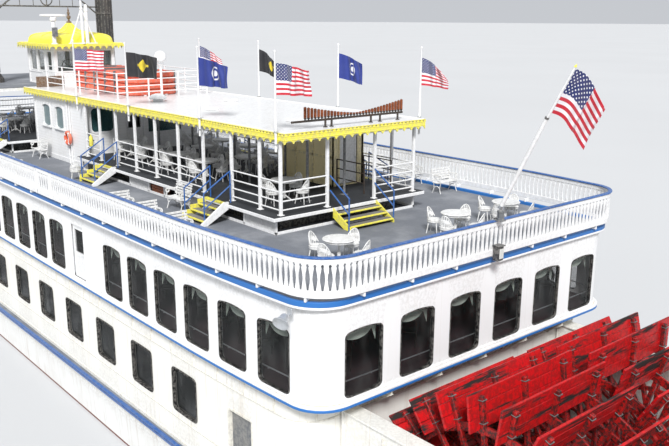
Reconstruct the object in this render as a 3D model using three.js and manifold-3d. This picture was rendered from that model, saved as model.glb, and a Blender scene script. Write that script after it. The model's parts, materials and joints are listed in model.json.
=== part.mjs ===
// A stern-wheel river steamer with three decks, made as a model at half of full size.
//
// Every size below is the full-size boat's, in metres. Each mesh is scaled to the model's
// millimetres when it is made. +X runs forward to the bow, +Y to port and +Z up. The
// origin lies on the waterline, on the centreline, amidships. Stations along the boat are
// measured forward from the stern wall of the saloon, and STERN places that wall.

import * as THREE from 'three';
import { mergeVertices } from 'three/addons/utils/BufferGeometryUtils.js';
import Module from 'manifold-3d';

const wasm = await Module();
wasm.setup();

// Scale
const MODEL_SCALE = 0.5;
const MM_PER_METRE = 1000;
const STERN = -22;

// Clearance between pieces that touch, and a reach well past anything on the boat
const GAP = 0.0006;
const FAR = 60;

// Heights above the waterline
const KEEL = -2.1;
const MAIN_UNDER = 1.6;
const MAIN_DECK = 1.8;
const SECOND_UNDER = 5.2;
const SECOND_DECK = 5.34;
const PROMENADE_UNDER = 7.77;
const PROMENADE = 7.86;
const COAMING = 7.96;
const RAIL_TOP = 9.05;
const RAISED_UNDER = 8.36;
const RAISED = 8.46;
const ROOF_UNDER = 10.75;
const ROOF_TOP = 10.95;
const CANOPY = 12.8;

// Plan sizes
const WALL = 0.12;
const THIN_WALL = 0.08;
const PANE = 0.03;
const ROOF = { aft: 5.25, forward: 25.9, half: 2.95 };
const BRIDGE = { aft: 25.95, forward: 36, half: 4.2, corner: 2 };
const DECKHOUSE = { aft: 19.6, forward: 25.3, half: 2.7 };
const PILOTHOUSE = { aft: 25.4, forward: 28.8, half: 1.53, sill: 11.65, head: 12.62 };
const COMPANION = { aft: 7.9, forward: 11.0, inner: -1.1, outer: -2.55 };
const PLATFORM = { aft: 5.45, forward: 19.6 - GAP, half: 3.2, flights: [8.65, 16.65] };
const FORE_PLATFORM = { aft: 25.6, forward: 35.6, half: 4.0, flights: [26.6] };
const SALOON_PLAN = { aft: 0, half: 6.2, narrow: 0.15, corner: 0.95, forward: 41, nose: 4 };
const MAIN_PLAN = { aft: 0.6, half: 6.1, narrow: 0.15, corner: 0.95, forward: 42, nose: 3.5 };
const SECOND_PLAN = { aft: -0.12, half: 6.32, narrow: 0.15, corner: 1.0, forward: 43.5, nose: 4.5 };
const PROMENADE_PLAN = { aft: -0.12, half: 6.45, narrow: 0.2, corner: 1.05, forward: 42.5, nose: 4.5 };
const RAIL_PLAN = { aft: -0.3, half: 6.62, narrow: 0.3, corner: 1.2, forward: 42.7, nose: 4.6 };

// Windows: width, foot and head of the upright sides, bow of head and foot, and spacing
const SALOON_WINDOW = { width: 1.2, foot: 5.46, head: 7.04, bow: 0.07 };
const SALOON_PITCH = { stern: 1.8288, side: 1.7, bow: 1.6 };
const MAIN_WINDOW = { width: 1.3, foot: 2.9, head: 4.2, bow: 0.02 };
const MAIN_WINDOWS = { first: 6, pitch: 2.6, count: 12 };
const MAIN_DOORWAY = { station: 3.2, width: 1.0, head: 4.0 };
const SALOON_DOOR = { station: 12.7, width: 0.95, height: 1.95, thick: 0.08 };
const SIDE_WINDOWS = [
  { first: 1.6, count: 6 },
  { first: 14.6, count: 13 },
];

// Doors hang on barrels. A leaf clears its frame all round.
const LEAF_CLEAR = 0.012;
const BARREL = 0.0108;
const BARREL_SIDES = 12;

// The promenade rail and its gates
const GATE = { aft: 13.9, forward: 15.1, clear: 0.03, stile: 0.06, barrel: 0.0288 };
const RAIL = { cap: 0.16, capDeep: 0.07, band: 0.07, bandFoot: 8.08, bandHead: 8.2, postInset: 0.075 };
const RAIL_POSTS = { first: 5.6, pitch: 1.66, last: 38, sternFirst: -4.5, sternPitch: 1.8 };
const RAIL_FEET = [3.0, 9.0, 13.7, 15.3, 20.0, 26.0, 32.0, 37.0];
const STERN_FEET = [-3.6, 0, 3.6];

// Steps: going of each tread, and risers in a flight
const STEPS = { going: 0.28, risers: 4, width: 1.3, aftHalf: 0.9 };

// Posts and pipe rails
const POST_HALF = 0.05;
const BAR_HALF = 0.025;
const BAR_HEIGHTS = [0.15, 0.42, 0.7, 1.0];
const POST_STATIONS = [5.65, 6.7, 8.25, 9.95, 11.6, 13.25, 14.85, 16.45, 17.95, 19.3];
const POST_SIDE = 2.8;
const STERN_POST_SIDE = 1.0;
const SIDE_RAIL_RUNS = [[5.65, 8.25], [9.95, 16.45], [17.95, 19.3]];
const BRIDGE_POSTS = [27.6, 29.6, 31.6, 33.5, 35.4];
const HEAD_BEAM = 0.12;
const FASCIA = { below: 0.04, above: 0.06, thick: 0.05 };

// Crew rail on the roof
const ROOF_RAIL = { aft: 17.6, forward: 25.0, half: 2.1, post: 0.03, bar: 0.02, bays: 4 };
const ROOF_RAIL_HEIGHTS = [0.25, 0.5, 0.77, 1.03];
const ROOF_RAIL_TOP = 1.05;
const DISH = { side: 0.1, stem: 1.4, height: 1.65, radius: 0.34 };
const FLOATS = { first: 18.3, pitch: 2.05, length: 1.95, half: 1.2, layer: 0.25, layers: 4, stacks: 3 };

// Pilothouse canopy
const EAVE = { aft: 24.93, forward: 29.14, half: 1.93, deep: 0.15 };
const DOME_STATION = 27.03;
const DOME_BODY = { length: 1.65, half: 1.52, high: 0.38 };
const DOME_PROFILE = [[0, 0], [1.5, 0], [1.38, 0.1], [1.05, 0.15], [0.75, 0.2], [0.5, 0.32],
  [0.3, 0.5], [0.1, 0.62], [0, 0.62]];

// Stacks
const STACK = { station: 29.75, side: 3.15, radius: 0.42, top: 17.6, foot: 0.18, throat: 0.1, crown: 0.5 };
const SPREADER = { spring: 14.4, haunch: 15.2, haunchSide: 1.6, crown: 15.5, tie: 14.75 };

// Mast and radar, standing on the canopy
const MAST = { station: 25.0, side: 0.2, top: 17.0, legs: 14.6, spread: 0.65, yard: 15.6 };
const RADAR = { station: 25.15, side: 1.55, head: 14.2, scanner: 14.22, half: 0.6 };

// Steam whistles
const CALLIOPE = { station: 5.75, height: 11.2, port: 1.79, span: 4.05, count: 32, pipe: 2.3 };
const CALLIOPE_POSTS = [1.0, 0.75, -0.9, -1.3, -2.1];

// Flagstaffs. Flags stream aft and to starboard.
const WIND = THREE.MathUtils.degToRad(49.5);
const FLAG = { length: 1.5, height: 0.9, thick: 0.05, below: 0.36 };
const FLAGSTAFF = { radius: 0.04, foot: 10.4, top: 13.3 };
const FLAGSTAFF_STATIONS = [5.6, 9.8, 14.9, 19.6];
const ENSIGN = { thick: 0.06, low: 0.12, high: 0.92, length: 1.75 };
const ENSIGN_FOOT = [-0.22, 0, 9.3];
const ENSIGN_JOINT = [-1.5, 0, 11.85];
const ENSIGN_UPPER = [-1.48, 0, 11.8];
const ENSIGN_TIP = [-2.2, 0, 13.15];
const ENSIGN_FALL = [-0.65, -0.76, -0.55];

// Paddle wheel
const WHEEL = { station: -3.25, height: 2.55, radius: 3.66, half: 4.0, buckets: 24 };
const WHEEL_FRAMES = [-3.6, -0.5, 0.5, 3.6];
const WHEEL_HUB = { radius: 0.55, half: 0.07 };
const WHEEL_HOOP = { outer: 2.86, inner: 2.66, half: 0.04 };
const WHEEL_ARM = { count: 8, inner: 0.4, outer: 3.56, deep: 0.14, thick: 0.12 };
const PLANK = { deep: 0.9, thick: 0.06, trail: 0.07, apart: 0.04 };
const SHAFT = { radius: 0.2, half: 4.75, bore: 0.2009 };
const WHEEL_BEAM = { root: 0.55, tip: -4.4, inner: 4.3, thick: 0.5, head: 4.8, foot: 0.5 };

// Rudders
const RUDDER = { station: 2.4, side: 3.2, aft: 1.3, forward: 3.4, foot: -2.0, head: -0.95, half: 0.05 };
const RUDDER_STOCK = { radius: 0.1, top: -0.35, trunk: 0.1016, trunkTop: -0.3 };

// Bow gear
const JACKSTAFF = { station: 48.2, top: 9.5 };
const CAPSTAN_STATION = 45.6;
const CAPSTAN_PROFILE = [[0, 0], [0.5, 0], [0.5, 0.12], [0.3, 0.25], [0.26, 0.6], [0.42, 0.8],
  [0.42, 0.95], [0, 0.95]];
const BITTS = { aft: 44.6, forward: 45.3, side: 2.7, radius: 0.15, top: 2.5 };
const ENGINE = { aft: 4.5, forward: 9.5, half: 1.2, top: 3.6 };

const paint = (color, roughness = 0.5, metalness = 0) => ({ color, roughness, metalness });
const WHITE = paint(0xf1f0ea);
const CREAM = paint(0xe9e4cc);
const BLUE = paint(0x2f55a4);
const RED = paint(0xc61412, 0.55);
const YELLOW = paint(0xe6d33c);
const BLACK = paint(0x1f2124, 0.6);
const GREY = paint(0x6f747b, 0.8);
const GLASS = paint(0x14181b, 0.1);
const COPPER = paint(0x8d3f22, 0.35, 0.9);
const STEEL = paint(0x9aa0a2, 0.4, 0.8);
const ORANGE = paint(0xd9542c, 0.6);
const CLOTH = paint(0xb8c0d0, 0.9);

const SIDES = [['port', 1], ['starboard', -1]];

const group = new THREE.Group();

// Turns a closed geometry into a solid that can be joined and cut.
function solid(geometry) {
  geometry.deleteAttribute('normal');
  geometry.deleteAttribute('uv');
  const merged = mergeVertices(geometry, 1e-5);
  return new wasm.Manifold(new wasm.Mesh({
    numProp: 3,
    vertProperties: new Float32Array(merged.attributes.position.array),
    triVerts: new Uint32Array(merged.index.array),
  }));
}

// Joins a list of solids into one.
function join(parts) {
  return parts.reduce((sum, part) => sum.add(part));
}

// Adds a named mesh, scaled from full-size metres to the model's millimetres.
function piece(name, body, finish) {
  const data = body.getMesh();
  const geometry = new THREE.BufferGeometry();
  const count = data.vertProperties.length / data.numProp;
  const positions = new Float32Array(count * 3);
  const scale = MM_PER_METRE * MODEL_SCALE;
  for (let i = 0; i < count; i += 1) {
    positions[3 * i] = (data.vertProperties[data.numProp * i] + STERN) * scale;
    positions[3 * i + 1] = data.vertProperties[data.numProp * i + 1] * scale;
    positions[3 * i + 2] = data.vertProperties[data.numProp * i + 2] * scale;
  }
  geometry.setAttribute('position', new THREE.BufferAttribute(positions, 3));
  geometry.setIndex(new THREE.BufferAttribute(new Uint32Array(data.triVerts), 1));
  geometry.computeVertexNormals();
  const mesh = new THREE.Mesh(geometry, new THREE.MeshStandardMaterial(finish));
  mesh.name = name;
  group.add(mesh);
}

// A box between two stations, two sides and two heights.
function box(x0, x1, y0, y1, z0, z1) {
  const geometry = new THREE.BoxGeometry(x1 - x0, y1 - y0, z1 - z0);
  geometry.translate((x0 + x1) / 2, (y0 + y1) / 2, (z0 + z1) / 2);
  return solid(geometry);
}

// A box about a point, from its half sizes, between two heights.
function block(x, y, halfX, halfY, z0, z1) {
  return box(x - halfX, x + halfX, y - halfY, y + halfY, z0, z1);
}

// A square bar along the boat, and one across it, from end to end about a height.
function barAlong(x0, x1, y, z, half) {
  return box(x0, x1, y - half, y + half, z - half, z + half);
}

function barAcross(x, y0, y1, z, half) {
  return box(x - half, x + half, y0, y1, z - half, z + half);
}

// A flat outline raised between two heights.
function plate(shape, z0, z1, curveSegments = 6) {
  const depth = z1 - z0;
  const geometry = new THREE.ExtrudeGeometry(shape, { depth, bevelEnabled: false, curveSegments });
  geometry.translate(0, 0, z0);
  return solid(geometry);
}

// An outline drawn in the x-z plane, carried across the boat from y0 to y1.
function slab(shape, y0, y1, curveSegments = 6) {
  const depth = y1 - y0;
  const geometry = new THREE.ExtrudeGeometry(shape, { depth, bevelEnabled: false, curveSegments });
  geometry.rotateX(Math.PI / 2);
  geometry.translate(0, y1, 0);
  return solid(geometry);
}

// An outline drawn in the y-z plane, carried along the boat from x0 to x1.
function frame(shape, x0, x1, curveSegments = 6) {
  const depth = x1 - x0;
  const geometry = new THREE.ExtrudeGeometry(shape, { depth, bevelEnabled: false, curveSegments });
  geometry.rotateX(Math.PI / 2);
  geometry.rotateZ(Math.PI / 2);
  geometry.translate(x0, 0, 0);
  return solid(geometry);
}

// A round bar between two points.
function bar(from, to, radius, sides = 8, topRadius = radius) {
  const a = new THREE.Vector3(...from);
  const b = new THREE.Vector3(...to);
  const geometry = new THREE.CylinderGeometry(topRadius, radius, a.distanceTo(b), sides);
  const up = new THREE.Vector3(0, 1, 0);
  const turn = new THREE.Quaternion().setFromUnitVectors(up, b.clone().sub(a).normalize());
  geometry.applyQuaternion(turn);
  geometry.translate((a.x + b.x) / 2, (a.y + b.y) / 2, (a.z + b.z) / 2);
  return solid(geometry);
}

// A hinge barrel standing on a door's turning line.
function barrel(x, y, z0, z1, radius = BARREL) {
  return bar([x, y, z0], [x, y, z1], radius, BARREL_SIDES);
}

// A profile of [radius, height] pairs turned about a vertical line.
function turned(profile, x, y, z, sides = 12) {
  const points = profile.map(([radius, height]) => new THREE.Vector2(radius, height));
  const geometry = new THREE.LatheGeometry(points, sides);
  geometry.rotateX(Math.PI / 2);
  geometry.translate(x, y, z);
  return solid(geometry);
}

// A closed outline from a list of [u, v] corners.
function outline(corners) {
  return new THREE.Shape(corners.map(([u, v]) => new THREE.Vector2(u, v)));
}

// A deck's plan: straight stern with rounded corners, sides that swell, rounded front.
function deckPlan({ aft, half, narrow, corner, forward, nose }) {
  const stern = half - narrow;
  const swell = 2.5;
  const start = aft + corner;
  const shape = new THREE.Shape();
  shape.moveTo(aft, -(stern - corner));
  shape.absarc(start, -(stern - corner), corner, Math.PI, 1.5 * Math.PI, false);
  shape.quadraticCurveTo(start + swell, -half, start + 2 * swell, -half);
  shape.lineTo(forward - nose, -half);
  shape.absellipse(forward - nose, 0, nose, half, -Math.PI / 2, Math.PI / 2, false, 0);
  shape.lineTo(start + 2 * swell, half);
  shape.quadraticCurveTo(start + swell, half, start, stern);
  shape.absarc(start, stern - corner, corner, Math.PI / 2, Math.PI, false);
  return shape;
}

// The same plan drawn in by an even amount.
function inset(plan, by) {
  return {
    ...plan,
    aft: plan.aft + by,
    half: plan.half - by,
    corner: plan.corner - by,
    forward: plan.forward - by,
    nose: plan.nose - by,
  };
}

// A wall that follows a plan, open above and below.
function ring(plan, thickness, z0, z1) {
  const outer = plate(deckPlan(plan), z0, z1);
  return outer.subtract(plate(deckPlan(inset(plan, thickness)), -FAR, FAR));
}

// A window's outline: upright sides, an arched head and a bowed foot.
function windowShape(centre, { width, foot, head, bow }) {
  const shape = new THREE.Shape();
  shape.moveTo(centre - width / 2, foot);
  shape.quadraticCurveTo(centre, foot - 2 * bow, centre + width / 2, foot);
  shape.lineTo(centre + width / 2, head);
  shape.quadraticCurveTo(centre, head + 2 * bow, centre - width / 2, head);
  return shape;
}

// The hull is a loft of six-cornered sections: deck edge, knuckle and bottom on each side.
function makeHull() {
  // Columns: station, half breadth at the deck, half breadth at the bottom, bottom height.
  const sections = [
    [0.6, 5.9, 5.3, -0.2],
    [4.0, 6.05, 5.7, -1.0],
    [8.0, 6.1, 5.9, KEEL],
    [36.0, 6.1, 5.9, KEEL],
    [42.0, 5.6, 4.4, -1.85],
    [46.5, 4.0, 2.4, -1.0],
    [49.3, 2.1, 0.9, 0.1],
    [50.8, 0.7, 0.3, 0.95],
  ];
  const top = MAIN_UNDER - GAP;
  const bilge = 0.45;
  const sheer = 0.2;
  const tumble = 0.05;
  const positions = sections.flatMap(([x, deck, bottom, low]) => {
    const knuckle = Math.min(low + bilge, top - sheer);
    const side = deck - tumble;
    return [
      x, -deck, top, x, deck, top, x, side, knuckle,
      x, bottom, low, x, -bottom, low, x, -side, knuckle,
    ];
  });
  const faces = [];
  const corners = 6;
  for (let s = 0; s < sections.length - 1; s += 1) {
    for (let i = 0; i < corners; i += 1) {
      const a = s * corners + i;
      const b = s * corners + ((i + 1) % corners);
      faces.push(a, a + corners, b, b, a + corners, b + corners);
    }
  }
  const last = (sections.length - 1) * corners;
  for (let i = 1; i < corners - 1; i += 1) {
    faces.push(0, i, i + 1);
    faces.push(last, last + i + 1, last + i);
  }
  const geometry = new THREE.BufferGeometry();
  geometry.setAttribute('position', new THREE.Float32BufferAttribute(positions, 3));
  geometry.setIndex(faces);
  const trunks = SIDES.map(([, side]) => {
    const y = side * RUDDER.side;
    return bar([RUDDER.station, y, KEEL], [RUDDER.station, y, RUDDER_STOCK.trunkTop], RUDDER_STOCK.trunk, 24);
  });
  piece('hull', solid(geometry).subtract(join(trunks)), WHITE);
}

function makeMainDeck() {
  const sternHalf = 6.2;
  const half = 6.42;
  const shoulder = 36;
  const stem = { station: 51, half: 0.8 };
  const shape = new THREE.Shape();
  shape.moveTo(WHEEL_BEAM.root, -sternHalf);
  shape.lineTo(shoulder, -half);
  shape.bezierCurveTo(42, -half, 47.5, -4.2, stem.station, -stem.half);
  shape.lineTo(stem.station, stem.half);
  shape.bezierCurveTo(47.5, 4.2, 42, half, shoulder, half);
  shape.lineTo(WHEEL_BEAM.root, sternHalf);
  piece('main_deck', plate(shape, MAIN_UNDER, MAIN_DECK, 8), BLUE);
}

function makeMainCabin() {
  const z0 = MAIN_DECK + GAP;
  const z1 = SECOND_UNDER - GAP;
  const { first, pitch, count } = MAIN_WINDOWS;
  const cuts = [];
  for (let i = 0; i < count; i += 1) {
    cuts.push(slab(windowShape(first + i * pitch, MAIN_WINDOW), -FAR, FAR, 2));
  }
  const { station, width, head } = MAIN_DOORWAY;
  const doorSill = 0.15;
  cuts.push(box(station - width / 2, station + width / 2, -FAR, FAR, MAIN_DECK + doorSill, head));
  piece('main_cabin_walls', ring(MAIN_PLAN, WALL, z0, z1).subtract(join(cuts)), CREAM);
  const glazingHead = SECOND_UNDER - 0.6;
  piece('main_cabin_glazing', ring(inset(MAIN_PLAN, WALL + GAP), PANE, z0, glazingHead), GLASS);
}

// The second deck, with brackets under its stern edge.
function makeSecondDeck() {
  const root = MAIN_PLAN.aft - GAP;
  const lip = -0.08;
  const half = 0.03;
  const gusset = outline([
    [lip, SECOND_UNDER + 0.01],
    [root, SECOND_UNDER + 0.01],
    [root, SECOND_UNDER - 0.5],
    [root - 0.15, SECOND_UNDER - 0.5],
    [lip, SECOND_UNDER - 0.1],
  ]);
  const gussets = [-2, -1, 0, 1, 2].map((i) => {
    const y = i * SALOON_PITCH.stern;
    return slab(gusset, y - half, y + half);
  });
  piece('second_deck', join([plate(deckPlan(SECOND_PLAN), SECOND_UNDER, SECOND_DECK), ...gussets]), BLUE);
}

// Window openings through the saloon's sides, stern and rounded front.
function saloonWindows() {
  const cuts = SIDE_WINDOWS.flatMap(({ first, count }) => Array.from({ length: count }, (_, i) => (
    slab(windowShape(first + i * SALOON_PITCH.side, SALOON_WINDOW), -FAR, FAR, 4)
  )));
  for (let i = 0; i < 6; i += 1) {
    cuts.push(frame(windowShape((2.5 - i) * SALOON_PITCH.stern, SALOON_WINDOW), -1, 1, 4));
  }
  const frontWindow = { ...SALOON_WINDOW, width: 1.1, foot: SALOON_WINDOW.foot + 0.2 };
  for (let i = 0; i < 4; i += 1) {
    const y = (i - 1.5) * SALOON_PITCH.bow;
    cuts.push(frame(windowShape(y, frontWindow), SALOON_PLAN.forward - 2.5, SALOON_PLAN.forward + 2, 4));
  }
  return cuts;
}

function makeSaloon() {
  const z0 = SECOND_DECK + GAP;
  const z1 = PROMENADE_UNDER - GAP;
  const { station, width, height, thick } = SALOON_DOOR;
  const doorSill = 0.05;
  const doorway = box(station - width / 2, station + width / 2, -FAR, FAR, z0 + doorSill, z0 + height);
  const walls = ring(SALOON_PLAN, WALL, z0, z1);
  piece('saloon_walls', walls.subtract(join([...saloonWindows(), doorway])), WHITE);
  const glazing = ring(inset(SALOON_PLAN, WALL + GAP), PANE, z0, z1 - 0.4);
  const wayThrough = box(station - 0.6, station + 0.6, -FAR, FAR, z0 + 0.03, FAR);
  piece('saloon_glazing', glazing.subtract(wayThrough), GLASS);
  const x0 = station - width / 2 + LEAF_CLEAR;
  const x1 = station + width / 2 - LEAF_CLEAR;
  SIDES.forEach(([name, side]) => {
    const y = side * (SALOON_PLAN.half - WALL / 2);
    const leaf = box(x0, x1, y - thick / 2, y + thick / 2, z0 + 0.07, z0 + height - 0.02);
    const hinge = barrel(x1, y + (side * thick) / 2, z0 + 0.2, z0 + height - 0.2);
    piece(`saloon_door_${name}`, leaf.add(hinge), WHITE);
  });
}

// The promenade deck, with a low coaming round its edge.
function makePromenadeDeck() {
  const deck = plate(deckPlan(PROMENADE_PLAN), PROMENADE_UNDER, PROMENADE);
  const coaming = ring(PROMENADE_PLAN, WALL, PROMENADE_UNDER, COAMING);
  piece('promenade_deck', deck.add(coaming), GREY);
}

// A boarding gate hangs from its forward stile.
function makeGate(name, side, y) {
  const x0 = GATE.aft + GATE.clear;
  const x1 = GATE.forward - GATE.clear;
  const middle = (x0 + x1) / 2;
  const { stile } = GATE;
  const leaf = stile / 2;
  const hingeFoot = RAIL.bandFoot + 0.2;
  piece(`boarding_gate_${name}`, join([
    box(x0, x1, y - POST_HALF, y + POST_HALF, RAIL_TOP - RAIL.capDeep, RAIL_TOP),
    box(x0, x1, y - leaf, y + leaf, RAIL.bandFoot, RAIL.bandHead),
    box(x0, x0 + stile, y - leaf, y + leaf, RAIL.bandFoot, RAIL_TOP),
    box(x1 - stile, x1, y - leaf, y + leaf, RAIL.bandFoot, RAIL_TOP),
    block(middle, y, leaf, leaf, RAIL.bandFoot, RAIL_TOP),
    box(x1 - leaf, x1, y - POST_HALF, y + POST_HALF, hingeFoot, RAIL_TOP - 0.15),
    barrel(x1, y - side * POST_HALF, hingeFoot, RAIL_TOP - 0.005, GATE.barrel),
  ]), WHITE);
}

// The promenade rail: a cap, a foot band and posts, broken at the boarding gates.
function makePromenadeRail() {
  const inner = RAIL_PLAN.half - RAIL.postInset;
  const parts = [
    ring(RAIL_PLAN, RAIL.cap, RAIL_TOP - RAIL.capDeep, RAIL_TOP),
    ring(inset(RAIL_PLAN, 0.04), RAIL.band, RAIL.bandFoot, RAIL.bandHead),
  ];
  const addPost = (x, y) => {
    parts.push(block(x, y, 0.04, POST_HALF, RAIL.bandFoot + 0.01, RAIL_TOP - 0.03));
  };
  for (let x = RAIL_POSTS.first; x < RAIL_POSTS.last; x += RAIL_POSTS.pitch) {
    if (x < GATE.aft - 0.3 || x > GATE.forward + 0.3) {
      SIDES.forEach(([, side]) => addPost(x, side * inner));
    }
  }
  for (let i = 0; i < 6; i += 1) {
    addPost(RAIL_PLAN.aft + RAIL.postInset, RAIL_POSTS.sternFirst + i * RAIL_POSTS.sternPitch);
  }
  [GATE.aft - GATE.stile, GATE.forward + GATE.stile].forEach((x) => {
    SIDES.forEach(([, side]) => addPost(x, side * inner));
  });
  // Feet carry the rail on the coaming.
  const addFoot = (x, y, halfX, halfY) => {
    parts.push(block(x, y, halfX, halfY, COAMING + GAP, RAIL.bandFoot + 0.02));
  };
  RAIL_FEET.forEach((x) => SIDES.forEach(([, side]) => addFoot(x, side * (inner - 0.1), 0.05, 0.13)));
  STERN_FEET.forEach((y) => addFoot(RAIL_PLAN.aft + 0.2, y, 0.15, 0.05));
  addFoot(RAIL_PLAN.forward - 0.25, 0, 0.17, 0.05);
  const rail = join(parts);
  piece('promenade_rail_aft', rail.intersect(box(-FAR, GATE.aft, -FAR, FAR, 0, FAR)), WHITE);
  piece('promenade_rail_forward', rail.intersect(box(GATE.forward, FAR, -FAR, FAR, 0, FAR)), WHITE);
  SIDES.forEach(([name, side]) => makeGate(name, side, side * inner));
}

// A flight of steps from a platform's side down to the promenade.
function sideFlight(station, edge, side) {
  const { going, risers, width } = STEPS;
  const rise = (RAISED - PROMENADE) / risers;
  const treads = [];
  for (let i = 0; i < risers - 1; i += 1) {
    const outer = edge + (i + 1) * going;
    const inner = edge - 0.3;
    const y = side * ((inner + outer) / 2);
    treads.push(block(station, y, width / 2, (outer - inner) / 2, PROMENADE + GAP, RAISED - (i + 1) * rise));
  }
  return join(treads);
}

// A platform: a thin deck that overhangs its base, with a flight on each side.
function platform({ aft, forward, half, flights }) {
  const overhang = 0.25;
  const deck = box(aft, forward, -half, half, RAISED_UNDER, RAISED);
  const base = box(aft + overhang, forward, -half + overhang, half - overhang, PROMENADE + GAP, RAISED);
  const steps = flights.flatMap((station) => SIDES.map(([, side]) => sideFlight(station, half, side)));
  return join([deck, base, ...steps]);
}

function makePlatforms() {
  const { going, risers, aftHalf } = STEPS;
  const rise = (RAISED - PROMENADE) / risers;
  const treads = [0, 1, 2].map((i) => (
    box(PLATFORM.aft - (i + 1) * going, PLATFORM.aft + 0.3, -aftHalf, aftHalf,
      PROMENADE + GAP, RAISED - (i + 1) * rise)
  ));
  piece('raised_deck_aft', join([platform(PLATFORM), ...treads]), BLACK);
  piece('raised_deck_forward', platform(FORE_PLATFORM), BLACK);
}

// Roof posts on one side of the boat, with their pipe rails and head beam.
function makeRoofPosts(name, side) {
  const z0 = RAISED + GAP;
  const z1 = ROOF_UNDER - GAP;
  const y = side * POST_SIDE;
  const stern = POST_STATIONS[0];
  const forward = POST_STATIONS[POST_STATIONS.length - 1];
  const beamFoot = z1 - HEAD_BEAM;
  const parts = POST_STATIONS.map((x) => block(x, y, POST_HALF, POST_HALF, z0, z1));
  parts.push(block(stern, side * STERN_POST_SIDE, POST_HALF, POST_HALF, z0, z1));
  BAR_HEIGHTS.forEach((height) => {
    const z = RAISED + height;
    SIDE_RAIL_RUNS.forEach(([x0, x1]) => parts.push(barAlong(x0, x1, y, z, BAR_HALF)));
    const [y0, y1] = side > 0 ? [STERN_POST_SIDE, POST_SIDE] : [-POST_SIDE, -STERN_POST_SIDE];
    parts.push(barAcross(stern, y0, y1, z, BAR_HALF));
  });
  parts.push(box(stern, forward, y - POST_HALF, y + POST_HALF, beamFoot, z1));
  const [b0, b1] = side > 0 ? [GAP, POST_SIDE] : [-POST_SIDE, -GAP];
  parts.push(box(stern - POST_HALF, stern + POST_HALF, b0, b1, beamFoot, z1));
  piece(`roof_posts_${name}`, join(parts), WHITE);
}

function makeRoof() {
  const { below, above, thick } = FASCIA;
  const half = ROOF.half - thick;
  const forward = BRIDGE.aft - GAP;
  piece('roof', box(ROOF.aft + thick, forward, -half, half, ROOF_UNDER, ROOF_TOP), WHITE);
  const outer = box(ROOF.aft, ROOF.forward, -ROOF.half, ROOF.half, ROOF_UNDER - below, ROOF_TOP + above);
  const inner = box(ROOF.aft + thick - GAP, FAR, -half - GAP, half + GAP, 0, FAR);
  piece('roof_fascia', outer.subtract(inner), YELLOW);
}

function makeDeckhouse() {
  const { aft, forward, half } = DECKHOUSE;
  const z0 = PROMENADE + GAP;
  const z1 = ROOF_UNDER - GAP;
  const arched = { width: 0.9, foot: 9.38, head: 10.24, bow: 0.08 };
  const doorway = { width: 0.85, foot: RAISED + 0.05, head: 10.45 };
  const cuts = [
    box(aft + WALL, forward - WALL, -half + WALL, half - WALL, 0, FAR),
    ...[22.35, 23.85].map((x) => slab(windowShape(x, arched), -FAR, FAR, 4)),
    box(aft - 1, aft + 1, -1.9, -0.2, 9.2, 10.5),
    box(aft - 1, aft + 1, 1.4, 2.45, 9.4, 10.45),
    box(aft - 1, aft + 1, 0, doorway.width, doorway.foot, doorway.head),
  ];
  piece('deckhouse_walls', box(aft, forward, -half, half, z0, z1).subtract(join(cuts)), WHITE);
  const outer = WALL + GAP;
  const inner = WALL + PANE;
  const glazing = box(aft + outer, forward - outer, -half + outer, half - outer, 8.8, 10.6)
    .subtract(box(aft + inner, forward - inner, -half + inner, half - inner, 0, FAR))
    .subtract(box(aft - 1, aft + 1, -0.1, 0.95, 0, FAR));
  piece('deckhouse_glazing', glazing, GLASS);
  const face = aft + 0.02;
  const leaf = box(face, face + 0.08, LEAF_CLEAR, doorway.width - LEAF_CLEAR,
    doorway.foot + 0.02, doorway.head - 0.02);
  piece('deckhouse_door', leaf.add(barrel(face, LEAF_CLEAR, RAISED + 0.2, 10.2)), WHITE);
}

function makeCompanion() {
  const { aft, forward, inner, outer } = COMPANION;
  const z0 = RAISED + GAP;
  const z1 = ROOF_UNDER - GAP;
  const hinge = outer + 1.1;
  const latch = outer + 0.3;
  const shell = box(aft, forward, outer, inner, z0, z1)
    .subtract(box(aft + THIN_WALL, forward - THIN_WALL, outer + THIN_WALL, inner - THIN_WALL, 0, FAR))
    .subtract(box(aft - 1, aft + 0.5, latch, hinge, z0 + 0.05, z0 + 1.95));
  piece('companion_house', shell, CREAM);
  const face = aft + 0.01;
  const leaf = box(face, face + 0.05, latch + LEAF_CLEAR, hinge - LEAF_CLEAR, z0 + 0.07, z0 + 1.93);
  piece('companion_door', leaf.add(barrel(face, hinge - LEAF_CLEAR, z0 + 0.2, z0 + 1.8)), WHITE);
}

// The bridge deck over the forward shelter, and the posts and rails that carry it.
function makeBridgeDeck() {
  const { aft, forward, half, corner } = BRIDGE;
  const shape = new THREE.Shape();
  shape.moveTo(aft, -half);
  shape.lineTo(forward - corner, -half);
  shape.absarc(forward - corner, -half + corner, corner, -Math.PI / 2, 0, false);
  shape.absarc(forward - corner, half - corner, corner, 0, Math.PI / 2, false);
  shape.lineTo(aft, half);
  piece('bridge_deck', plate(shape, ROOF_UNDER, ROOF_TOP, 5), WHITE);
  const z0 = RAISED + GAP;
  const z1 = ROOF_UNDER - GAP;
  const y = FORE_PLATFORM.half - 0.15;
  const first = BRIDGE_POSTS[0];
  const last = BRIDGE_POSTS[BRIDGE_POSTS.length - 1];
  const parts = [];
  SIDES.forEach(([, side]) => {
    BRIDGE_POSTS.forEach((x) => parts.push(block(x, side * y, POST_HALF, POST_HALF, z0, z1)));
    BAR_HEIGHTS.forEach((h) => parts.push(barAlong(first, last, side * y, RAISED + h, BAR_HALF)));
  });
  BAR_HEIGHTS.forEach((h) => parts.push(barAcross(last, -y, y, RAISED + h, BAR_HALF)));
  piece('bridge_posts', join(parts), WHITE);
}

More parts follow.
